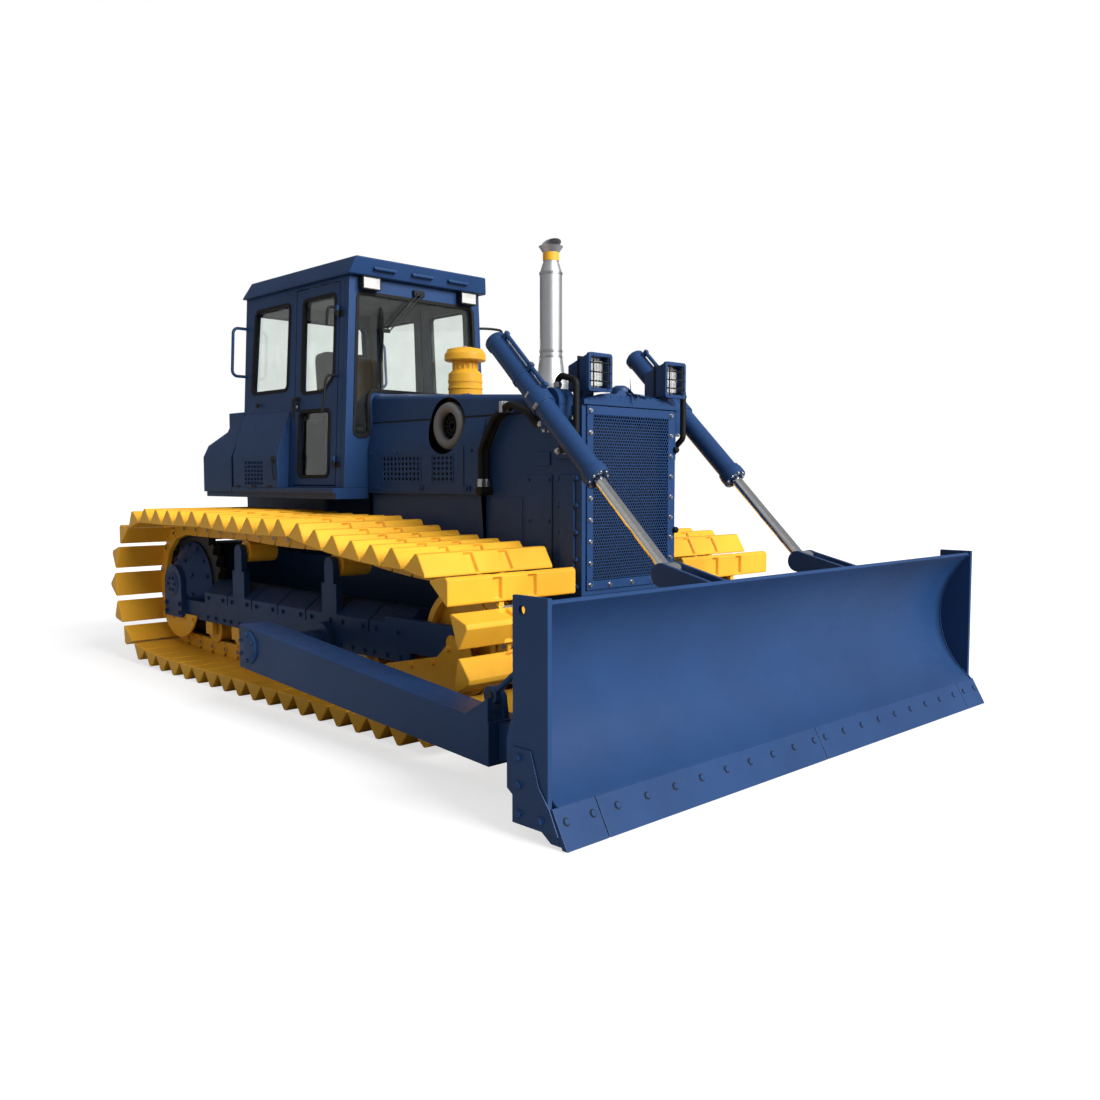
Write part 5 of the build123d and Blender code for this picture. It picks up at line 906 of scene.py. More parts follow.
@dataclass
class GuardTrim:
    """Small fittings on the radiator guard: filler cap, knobs and bolted side plates."""

    front: float = 3.830
    half: float = 0.430
    crown: float = 1.990
    cap: Profile = ((0.0, 0.062), (0.03, 0.06), (0.055, 0.045), (0.062, 0.02), (0.062, 0.0), (0.075, 0.0),
                    (0.075, -0.02))
    cap_station: float = 3.740
    plate_stations: Flat = (3.655, 3.775)
    plate_heights: Flat = (0.830, 1.500)
    plate: float = 0.014
    bolt: float = 0.030
    bolt_stations: Flat = (3.640, 3.790)
    bolt_heights: tuple[float, ...] = (0.84, 1.0, 1.16, 1.32, 1.48)
    knob: Profile = ((0.0, 0.038), (0.014, 0.037), (0.02, 0.03), (0.02, 0.012), (0.011, 0.008), (0.011, -0.012))
    knob_heights: Flat = (1.66, 1.15)
    knob_side: float = 0.412

    def build(self) -> None:
        """Make the guard's trim."""
        form = Form()
        for z in self.bolt_heights:
            for x in self.bolt_stations:
                form.bolt(at(x, -self.half, z), RIGHT, self.bolt)
        (rear, front), (low, high) = self.plate_stations, self.plate_heights
        form.box(at(rear, -self.half - self.plate, low), at(front, -self.half, high), 0.004)
        form.mirror()
        form.turn(self.cap, at(self.cap_station, 0.0, self.crown - 0.004), UP, 28)
        form.piece("guard_trim", Body.CHASSIS, Finish.BLUE)
        knobs = Form()
        for z in self.knob_heights:
            knobs.turn(self.knob, at(self.front, self.knob_side, z), AHEAD, 16)
        knobs.piece("guard_knobs", Body.CHASSIS, Finish.PLASTIC)


@dataclass
class Headlamps:
    """Lamp boxes' rims, lamps and wire guards, right one drawn and mirrored."""

    front: float = 3.890
    middle: float = 0.345
    width: float = 0.190
    bottom: float = 1.988
    height: float = 0.210
    wire: float = 0.0042
    bend: float = 0.020
    ribs: int = 5
    rib_pitch: float = 0.026
    rib_radius: float = 0.006
    rib_margin: float = 0.040
    bolt: float = 0.018

    def frame_points(self, inset: float, x: float) -> list[Vector]:
        """Corners of the lamp's front, drawn in by an inset."""
        half = self.width / 2 - inset
        low, high = self.bottom + inset, self.bottom + self.height - inset
        y = -self.middle
        return [at(x, y - half, low), at(x, y + half, low), at(x, y + half, high), at(x, y - half, high)]

    def rims(self) -> None:
        """Make the boxes' rims and top bolts."""
        form = Form()
        form.band(self.frame_points(-0.006, self.front - 0.012), 0.02, AHEAD * 0.02, 0.02)
        for sign in (-1, 1):
            form.bolt(at(self.front - 0.13, -self.middle + sign * 0.03, self.bottom + 0.19), UP, self.bolt)
        form.mirror()
        form.piece("headlamp_rims", Body.CHASSIS, Finish.BLUE)

    def units(self) -> None:
        """Make the lamps: reflector, bezel, ribbed lens and back plate."""
        form = Form()
        form.plate(self.frame_points(0.022, self.front - 0.07), AHEAD * 0.022, corner=0.022, edge=0.004)
        form.band(self.frame_points(0.02, self.front - 0.05), 0.012, AHEAD * 0.012, 0.024, paint=1)
        x = self.front - 0.0465
        low, high = self.bottom + self.rib_margin, self.bottom + self.height - self.rib_margin
        for step in range(self.ribs):
            y = -self.middle + (step - self.ribs // 2) * self.rib_pitch
            form.rod(at(x, y, low), at(x, y, high), self.rib_radius, sides=8, paint=2)
        form.plate(self.frame_points(0.03, self.front - 0.05), AHEAD * 0.004, corner=0.018, paint=2)
        form.plate(self.frame_points(0.009, self.front - 0.1), AHEAD * 0.012, paint=3)
        form.mirror()
        form.piece("headlamp_units", Body.CHASSIS, Finish.ALUMINIUM, Finish.CHROME, Finish.WHITE, Finish.PLASTIC,
                   replaces=["headlamp_lenses"])

    def wires(self) -> None:
        """Make the bent wires in front of the lamps."""
        form = Form()
        half, tall, bend = self.width / 2 - 0.004, self.height, self.bend
        x0, x1 = self.front - 0.004, self.front + 0.012
        y = -self.middle
        for share in (0.25, 0.5, 0.75):
            z = self.bottom + tall * share
            form.pipe([at(x0, y - half, z), at(x1, y - half, z), at(x1, y - half + bend, z), at(x1, y, z),
                       at(x1, y + half - bend, z), at(x1, y + half, z), at(x0, y + half, z)], self.wire, 8)
        low, high, x1 = self.bottom + 0.004, self.bottom + tall - 0.004, x1 - 0.004
        for share in (-0.32, 0.32):
            y = -self.middle + share * self.width
            form.pipe([at(x0, y, low), at(x1, y, low), at(x1, y, low + bend), at(x1, y, high - bend),
                       at(x1, y, high), at(x0, y, high)], self.wire, 8)
        form.mirror()
        form.piece("headlamp_wires", Body.CHASSIS, Finish.PLASTIC)

    def build(self) -> None:
        """Make rims, lamps and guards."""
        self.rims()
        self.units()
        self.wires()


@dataclass
class Exhaust:
    """Bright stack with its clamps, painted band and the tilted rain flap."""

    station: float = 3.130
    deck: float = 2.0092
    collar: float = 0.118
    radius: float = 0.0725
    mouth: float = 0.050
    height: float = 0.950
    foot_bolts: int = 8
    bolt: float = 0.018
    flap: Profile = ((0.0, 0.006), (0.05, 0.004), (0.066, 0.0), (0.068, -0.005), (0.06, -0.003), (0.0, 0.001))
    flap_tilt: tuple[float, float, float] = (-0.42, 0, 1)

    def stack(self, foot: Vector) -> None:
        """Make the pipe with its clamps, band and foot bolts."""
        form = Form()
        c, r, m, h = self.collar, self.radius, self.mouth, self.height
        form.turn([(c + 0.008, -0.03), (c + 0.008, 0.012), (c, 0.014), (c, 0.078), (c - 0.003, 0.084),
                   (c - 0.006, 0.1), (c - 0.03, 0.16), (r + 0.004, 0.25), (r, 0.262), (r, h - 0.142),
                   (r - 0.003, h - 0.134), (m + 0.004, h - 0.084), (m, h - 0.078), (m, h - 0.02),
                   (m + 0.028, h + 0.022), (m + 0.03, h + 0.025), (m + 0.024, h + 0.025), (m - 0.006, h - 0.02),
                   (m - 0.006, h - 0.3), (0.0, h - 0.3)], foot, UP, 48)
        for z in (0.262, 0.300, h - 0.150):
            form.turn([(r - 0.001, z - 0.008), (r + 0.004, z - 0.007), (r + 0.004, z + 0.007),
                       (r - 0.001, z + 0.008)], foot, UP, 40, paint=1)
        form.turn([(m - 0.001, h - 0.070), (m + 0.003, h - 0.068), (m + 0.003, h - 0.016), (m - 0.001, h - 0.014)],
                  foot, UP, 48, paint=2)
        for way in spokes(self.foot_bolts, 0.5, flat=True):
            form.bolt(foot + way * (c - 0.004) + UP * 0.012, UP, self.bolt, paint=1)
        form.piece("exhaust_pipe", Body.CHASSIS, Finish.ALUMINIUM, Finish.STEEL, Finish.YELLOW,
                   replaces=["exhaust_stack"])

    def rain_flap(self, foot: Vector) -> None:
        """Make the flap and its hinge on the stack's mouth."""
        form = Form()
        rim = foot + UP * (self.height + 0.012)
        hinge = rim + Vector((-0.062, 0, 0.022))
        form.turn(self.flap, rim + UP * 0.032, Vector(self.flap_tilt).normalized(), 32)
        form.rod(hinge + RIGHT * 0.03, hinge - RIGHT * 0.03, 0.007, sides=12)
        form.box(hinge + Vector((-0.03, -0.008, -0.004)), hinge + Vector((0.01, 0.008, 0.006)), 0.003)
        form.piece("rain_flap", Body.CHASSIS, Finish.ALUMINIUM)

    def build(self) -> None:
        """Make the stack and its flap."""
        foot = at(self.station, 0, self.deck)
        self.stack(foot)
        self.rain_flap(foot)


@dataclass
class Precleaner:
    """Yellow intake bowl with a ribbed neck, a domed cap and its wing nut."""

    station: float = 2.250
    deck: float = 2.0602
    radius: float = 0.120
    cap: float = 0.148
    neck: float = 0.086
    top: float = 0.360
    ribs: int = 16
    rib_radius: float = 0.005
    rib_heights: Flat = (0.196, 0.250)
    nut: float = 0.022

    def build(self) -> None:
        """Make the precleaner."""
        form = Form()
        foot = at(self.station, 0, self.deck)
        r, c, n, t = self.radius, self.cap, self.neck, self.top
        form.turn([(r + 0.012, -0.03), (r + 0.012, 0.006), (r, 0.01), (r, 0.05), (r + 0.005, 0.055),
                   (r + 0.005, 0.066), (r, 0.071), (r, 0.16), (r - 0.004, 0.169), (n + 0.006, 0.19), (n, 0.197),
                   (n, 0.248), (n + 0.012, 0.252), (c - 0.006, 0.256), (c, 0.262), (c, 0.3), (c - 0.004, 0.308),
                   (r + 0.006, 0.338), (0.05, t - 0.006), (0.022, t - 0.002), (0.0, t - 0.002)], foot, UP, 48)
        low, high = self.rib_heights
        for way in spokes(self.ribs, flat=True):
            spot = foot + way * (n + 0.002)
            form.rod(spot + UP * low, spot + UP * high, self.rib_radius, sides=6)
        form.turn([(r - 0.001, 0.1), (r + 0.004, 0.102), (r + 0.004, 0.118), (r - 0.001, 0.12)], foot, UP, 40)
        form.bolt(foot + UP * (t - 0.004), UP, self.nut, paint=1)
        form.piece("precleaner_bowl", Body.CHASSIS, Finish.YELLOW, Finish.STEEL, replaces=["air_precleaner"])


@dataclass
class HoodTrim:
    """Latches, seams, hinges and hatch plates on the hood and its side panels."""

    half: float = 0.420
    bulge: float = 0.466
    seam: float = 1.880
    ends: Flat = (1.702, 3.598)
    recess: Flat = (2.400, 2.740)
    hatch: Flat = (3.349, 3.575)
    hatch_heights: Flat = (0.950, 1.500)
    hatch_bolts: tuple[float, ...] = (0.98, 1.22, 1.47)
    bolt: float = 0.020
    latches: tuple[float, ...] = (1.83, 2.33, 2.83)
    latch_heights: Flat = (1.395, 1.430)
    vents: Profile = ((1.876, 2.332), (2.456, 2.684))
    vent_heights: Flat = (1.452, 1.638)
    bead: float = 0.003
    bulge_bolts: tuple[float, ...] = (1.74, 2.05, 2.87)
    bulge_bolt_height: float = 1.660
    hinges: tuple[float, ...] = (1.95, 2.62, 3.42)
    hinge_side: float = 0.300
    top_rear: Flat = (1.700, 2.092)
    top_fall: float = 0.05789

    def strip(self, form: Form, side: int, low: float, high: float) -> None:
        """Add a length of the dark seam under the hood's lid.

        Args:
            form: mesh to add to.
            side: 1 for the machine's left, -1 for its right.
            low: rear end.
            high: front end.
        """
        inner, outer = side * (self.half - 0.002), side * (self.half + 0.004)
        form.box(at(low, inner, self.seam - 0.004), at(high, outer, self.seam + 0.006), 0.002, paint=1)

    def patch(self, form: Form, stations: Flat, heights: Flat, proud: float, edge: float = 0.004) -> None:
        """Add a plate on the lower side panel.

        Args:
            form: mesh to add to.
            stations: rear and front end.
            heights: lower and upper edge.
            proud: thickness.
            edge: width of its rounded edges.
        """
        form.box(at(stations[0], -self.half - proud, heights[0]), at(stations[1], -self.half, heights[1]), edge)

    def sides(self) -> None:
        """Make the seams, hatches, latches and vent frames of both sides."""
        form = Form()
        for low, high in (self.ends[0], self.recess[0]), (self.recess[1], self.ends[1]):
            self.strip(form, -1, low, high)
        self.patch(form, self.hatch, self.hatch_heights, 0.007)
        for x in (self.hatch[0] + 0.025, self.hatch[1] - 0.025):
            for z in self.hatch_bolts:
                form.bolt(at(x, -self.half - 0.007, z), RIGHT, self.bolt)
        self.patch(form, (3.03, 3.31), (0.95, 1.36), 0.005)
        self.patch(form, (3.44, 3.56), (1.555, 1.64), 0.010, 0.006)
        face = -self.bulge
        low, high = self.latch_heights
        middle = (low + high) / 2
        for x in self.latches:
            form.box(at(x - 0.03, face - 0.01, low), at(x + 0.03, face, high), 0.004)
            form.rod(at(x, face, middle), at(x, face - 0.02, middle), 0.012, sides=14, edge=0.002)
        form.box(at(2.79, face - 0.003, 1.39), at(2.797, face + 0.001, 1.69), 0.001, paint=1)
        low, high = self.vent_heights
        b = self.bead
        for rear, front in self.vents:
            for z in (low, high):
                form.box(at(rear, face - 0.004, z - b), at(front, face, z + b), 0.001)
            for x in (rear, front):
                form.box(at(x - b, face - 0.004, low), at(x + b, face, high), 0.001)
        for x in self.bulge_bolts:
            form.bolt(at(x, face, self.bulge_bolt_height), RIGHT, self.bolt)
        form.mirror()
        self.strip(form, 1, *self.recess)
        form.piece("hood_trim", Body.CHASSIS, Finish.BLUE, Finish.RUBBER)

    def top_hinges(self) -> None:
        """Make the bolted hinge plates on the hood's sloping top."""
        form = Form()
        for x in self.hinges:
            z = self.top_rear[1] - self.top_fall * (x - self.top_rear[0])
            for y in (-self.hinge_side, self.hinge_side):
                form.box(at(x - 0.04, y - 0.02, z - 0.003), at(x + 0.04, y + 0.02, z + 0.006), 0.003)
                form.bolt(at(x - 0.022, y, z + 0.005), UP, 0.014)
                form.bolt(at(x + 0.022, y, z + 0.003), UP, 0.014)
        form.piece("hood_top_hinges", Body.CHASSIS, Finish.BLUE)

    def build(self) -> None:
        """Make all of the hood's trim."""
        self.sides()
        self.top_hinges()


@dataclass
class Intake:
    """Cast ring of the air intake in its recess, with a dark screen."""

    station: float = 2.570
    height: float = 1.830
    face: float = 0.398
    ring: float = 0.124
    tube: float = 0.036
    bars: int = 12
    bar_radius: float = 0.004
    hoops: tuple[float, ...] = (0.03, 0.06, 0.09)
    hoop_half: float = 0.003
    hoop_depths: Flat = (-0.024, -0.016)

    def build(self) -> None:
        """Make the ring, its bars and screen."""
        form = Form()
        foot = at(self.station, -self.face, self.height)
        r, t = self.ring, self.tube
        loop = [(r + t * math.cos(math.tau * k / 20), t * math.sin(math.tau * k / 20)) for k in range(21)]
        form.turn(loop, foot, RIGHT, 48)
        form.turn([(r + 0.002, -0.16), (r + 0.002, 0.0)], foot, RIGHT, 48)
        form.turn([(r - 0.028, 0.005), (r - 0.03, -0.13), (0.0, -0.13)], foot, RIGHT, 40, paint=1)
        deep = foot - RIGHT * 0.02
        for way in spokes(self.bars):
            form.rod(deep + way * 0.02, deep + way * (r - 0.02), self.bar_radius, sides=6, paint=1)
        low, high = self.hoop_depths
        for radius in self.hoops:
            inner, outer = radius - self.hoop_half, radius + self.hoop_half
            form.turn([(inner, low), (outer, low), (outer, high), (inner, high), (inner, low)], foot, RIGHT, 32,
                      paint=1)
        form.piece("intake_ring", Body.CHASSIS, Finish.GREY, Finish.CORE, replaces=["intake_elbow"])


@dataclass
class LineFittings:
    """Hexagon ends and clamps on the stiff hydraulic lines."""

    sides: Flat = (-0.451, -0.497)
    foot: Flat = (3.0003, 1.425)
    yoke_height: float = 1.800
    hexagon: float = 0.026
    sleeve: float = 0.022
    branch: tuple[float, float, float] = (3.690, -0.491, 2.010)

    def build(self) -> None:
        """Make the fittings of both sides."""
        form = Form()
        (x, z), top = self.foot, self.yoke_height
        for y in self.sides:
            form.rod(at(x, y, z), at(x, y, z + 0.035), self.hexagon, sides=6)
            form.rod(at(x, y, z + 0.03), at(x, y, z + 0.05), self.sleeve, sides=16)
            form.rod(at(3.56, y, top), at(3.6, y, top), self.hexagon, sides=6)
            form.rod(at(3.545, y, top), at(3.565, y, top), self.sleeve, sides=16)
        form.box(at(3.2, -0.52, 1.885), at(3.23, -0.42, 1.955), 0.004)
        foot = at(*self.branch)
        form.rod(foot, foot + UP * 0.03, self.hexagon, sides=6)
        form.mirror()
        form.piece("line_fittings", Body.CHASSIS, Finish.STEEL)


# Lift cylinders


@dataclass
class Cylinder:
    """Hardware of one lift cylinder: gland ring, head cap, clamp and trunnion collar."""

    side: Side
    trunnion: tuple[float, float, float] = (3.690, 0.634, 1.925)
    way: Flat = (0.71633, -0.69777)
    radius: float = 0.0625
    head: float = 0.545
    gland: float = 0.640
    gland_bolts: int = 8
    gland_ring: float = 0.058
    clamp: float = -0.200
    clamp_height: float = 0.046
    cap_bolts: Flat = (0.047, 0.066)
    collar: Profile = ((0.04, 0.004), (0.078, 0.003), (0.083, -0.003), (0.083, -0.05), (0.079, -0.056))
    yoke_side: float = 0.460
    yoke_bolts: Profile = ((3.66, 1.64), (3.66, 1.73), (3.72, 1.64), (3.78, 1.73), (3.78, 1.83))
    foot_sides: Flat = (-0.500, -0.535)

    def along(self, distance: float, out: float = 0.0, aside: float = 0.0) -> Vector:
        """Point by the right cylinder's axis.

        Args:
            distance: metres from the trunnion towards the blade.
            out: metres off the axis on its upper side.
            aside: metres off the axis to the machine's right.

        Returns:
            The point in the frame.
        """
        x, y, z = self.trunnion
        run, fall = self.way
        return at(x + run * distance - fall * out, -y - aside, z + fall * distance + run * out)

    def barrel(self) -> Form:
        """The head cap, gland ring, clamp and trunnion cap bolts of the right barrel."""
        form = Form()
        axis = (self.along(1.0) - self.along(0.0)).normalized()
        r = self.radius
        form.turn([(0.0, 0.0), (0.03, 0.0), (0.05, 0.006), (r + 0.002, 0.018), (r + 0.006, 0.024),
                   (r + 0.006, 0.06), (r, 0.066)], self.along(-self.head - 0.018), axis, 36)
        form.turn([(0.036, 0.004), (0.05, 0.008), (r + 0.012, 0.006), (r + 0.014, 0.0), (r + 0.014, -0.045),
                   (r + 0.01, -0.05), (r + 0.01, -0.058), (r, -0.062)], self.along(self.gland), axis, 36)
        for spoke in spokes(self.gland_bolts, 0.5):
            across = spoke * self.gland_ring
            form.bolt(self.along(self.gland + 0.005, across.x, across.z), axis, 0.018, paint=1)
        form.turn([(r - 0.001, -0.012), (r + 0.005, -0.011), (r + 0.005, 0.011), (r - 0.001, 0.012)],
                  self.along(self.clamp), axis, 32)
        top = self.along(self.clamp, r + self.clamp_height)
        form.rod(self.along(self.clamp, r), top, 0.019, sides=10)
        form.bolt(top, self.along(0, 1.0) - self.along(0.0), 0.016, paint=1)
        reach, spread = self.cap_bolts
        for place in (-reach, reach):
            for aside in (-spread, spread):
                start, end = self.along(place, -0.02, aside), self.along(place, 0.02, aside)
                form.rod(start, end, 0.012, sides=6, paint=1)
        return form

    def yoke(self) -> Form:
        """The collar and bolts on the right cylinder's yoke."""
        form = Form()
        x, y, z = self.trunnion
        form.turn(self.collar, at(x, -y + self.radius + 0.018, z), RIGHT, 36)
        for dx in (-0.07, 0.07):
            for foot in self.foot_sides:
                form.bolt(at(x + dx, foot, z - 0.16), -UP, 0.03, paint=1)
        for px, pz in self.yoke_bolts:
            form.bolt(at(px, -self.yoke_side, pz), RIGHT, 0.032, paint=1)
        return form

    def build(self) -> None:
        """Make the barrel's and the yoke's hardware."""
        name = self.side.name.lower()
        body = Body.BARREL_RIGHT if self.side is Side.RIGHT else Body.BARREL_LEFT
        barrel, yoke = self.barrel().flipped(self.side), self.yoke().flipped(self.side)
        barrel.piece(f"lift_barrel_{name}_hardware", body, Finish.BLUE, Finish.STEEL)
        yoke.piece(f"lift_collar_{name}", Body.CHASSIS, Finish.BLUE, Finish.STEEL)


# Cab


LEAN = math.radians(2.65)
WALL_OUT = Vector((0, -math.cos(LEAN), math.sin(LEAN)))
REAR_SIDE_WINDOW = [(0.320, 2.155), (0.880, 2.155), (0.895, 2.815), (0.360, 2.815)]
DOOR_UPPER_WINDOW = [(1.085, 2.115), (1.395, 2.115), (1.530, 2.220), (1.530, 2.815), (1.085, 2.815)]
DOOR_LOWER_WINDOW = [(1.065, 1.490), (1.485, 1.490), (1.485, 1.985), (1.065, 1.985)]
WINDSHIELD = [(-0.535, 2.815), (-0.583, 1.780), (-0.448, 1.780), (-0.448, 2.115), (0.448, 2.115), (0.448, 1.780),
              (0.583, 1.780), (0.535, 2.815)]
REAR_WINDOW = [(-0.515, 2.815), (-0.5475, 2.155), (0.5475, 2.155), (0.515, 2.815)]
CAB_FRONT, CAB_REAR = 1.695, 0.195
CAB_TOP = 2.925
CAB_HALF_TOP = 0.600

Bends = tuple[tuple[float, float, float], ...]


def wall(station: float, z: float, out: float = 0.0) -> Vector:
    """Point by the right cab wall, which leans in towards the roof.

    Args:
        station: metres ahead of the drive axle.
        z: metres above the ground.
        out: metres proud of the wall.

    Returns:
        The point in the frame.
    """
    return at(station, -CAB_HALF_TOP - (CAB_TOP - z) * math.tan(LEAN), z) + WALL_OUT * out


def grow(outline: Sequence[Flat], by: float) -> list[Flat]:
    """Outline moved outwards all round.

    Args:
        outline: corner points in order.
        by: how far each edge moves.

    Returns:
        The moved corners.
    """
    count = len(outline)
    area = sum(a[0] * b[1] - b[0] * a[1] for a, b in zip(outline, [*outline[1:], outline[0]]))
    turn = 1.0 if area > 0 else -1.0
    moved = []
    for i, corner in enumerate(outline):
        here = Vector(corner)
        before = (here - Vector(outline[i - 1])).normalized()
        after = (Vector(outline[(i + 1) % count]) - here).normalized()
        first = Vector((before.y, -before.x)) * turn
        second = Vector((after.y, -after.x)) * turn
        mitre = (first + second) / (1 + first.dot(second))
        moved.append(tuple(here + mitre * by))
    return moved


@dataclass
class Seals:
    """Black rubber round every pane, from the glass to just proud of the wall."""

    lap: float = 0.010
    width: float = 0.026
    sunk: float = 0.021
    proud: float = 0.007
    corner: float = 0.055

    def on_wall(self, form: Form, window: Sequence[Flat]) -> None:
        """Lay the rubber of one window of the right wall."""
        outline = [wall(x, z, -self.sunk) for x, z in grow(window, self.lap)]
        form.band(outline, self.width, WALL_OUT * (self.sunk + self.proud), self.corner, edge=0.003)

    def on_end(self, form: Form, window: Sequence[Flat], station: float, ahead: float) -> None:
        """Lay the rubber of the windshield or the rear window.

        Args:
            form: mesh to add to.
            window: outline across the machine.
            station: the wall's outer face.
            ahead: 1 for the front wall, -1 for the rear one.
        """
        outline = [at(station - ahead * self.sunk, y, z) for y, z in grow(window, self.lap)]
        form.band(outline, self.width, AHEAD * ahead * (self.sunk + self.proud), self.corner, edge=0.003)

    def build(self) -> None:
        """Make the fixed windows' rubbers."""
        form = Form()
        self.on_wall(form, REAR_SIDE_WINDOW)
        form.mirror()
        self.on_end(form, WINDSHIELD, CAB_FRONT, 1.0)
        self.on_end(form, REAR_WINDOW, CAB_REAR, -1.0)
        form.piece("window_seals", Body.CHASSIS, Finish.RUBBER)


@dataclass
class Door:
    """Fittings of one door: pane rubbers, bent hinge bars, latch and handle."""

    side: Side
    bar: float = 0.010
    upper_bar: Bends = ((1.568, 2.700, 0.002), (1.568, 2.705, 0.050), (1.564, 2.700, 0.084),
                        (1.562, 2.650, 0.094), (1.560, 2.565, 0.092))
    lower_bar: Bends = ((1.568, 2.216, 0.002), (1.568, 2.222, 0.056), (1.564, 2.200, 0.088),
                        (1.562, 2.120, 0.098), (1.560, 1.985, 0.100), (1.552, 1.950, 0.112))
    handle: Bends = ((1.036, 2.075, 0.004), (1.036, 2.078, 0.040), (1.036, 2.060, 0.046),
                     (1.036, 1.960, 0.044), (1.036, 1.930, 0.038))
    latch: Profile = ((1.012, 1.985), (1.060, 1.985), (1.060, 2.095), (1.012, 2.095))
    lock: Flat = (1.036, 2.020)
    lock_radius: float = 0.011
    bolt: float = 0.014
    bolt_station: float = 1.560
    bolt_heights: tuple[float, ...] = (1.582, 1.622, 2.662, 2.702)

    def rubbers(self) -> Form:
        """The rubbers of the right door's two panes."""
        form = Form()
        for window in (DOOR_UPPER_WINDOW, DOOR_LOWER_WINDOW):
            Seals().on_wall(form, window)
        return form

    def fittings(self) -> Form:
        """The right door's bars, latch, handle, lock and hinge bolts."""
        form = Form()
        for bends in (self.upper_bar, self.lower_bar):
            form.pipe([wall(*bend) for bend in bends], self.bar, 10)
        form.plate([wall(x, z, -0.004) for x, z in self.latch], WALL_OUT * 0.012, corner=0.012, edge=0.002)
        form.pipe([wall(*bend) for bend in self.handle], self.bar, 10)
        form.rod(wall(*self.lock, 0.006), wall(*self.lock, 0.012), self.lock_radius, sides=16, edge=0.002, paint=1)
        for z in self.bolt_heights:
            form.bolt(wall(self.bolt_station, z, 0.001), WALL_OUT, self.bolt, paint=1)
        return form

    def build(self) -> None:
        """Make the fittings on the door's body."""
        name = self.side.name.lower()
        body = Body.DOOR_RIGHT if self.side is Side.RIGHT else Body.DOOR_LEFT
        self.rubbers().flipped(self.side).piece(f"door_{name}_seals", body, Finish.RUBBER)
        self.fittings().flipped(self.side).piece(f"door_{name}_fittings", body, Finish.PLASTIC, Finish.STEEL)


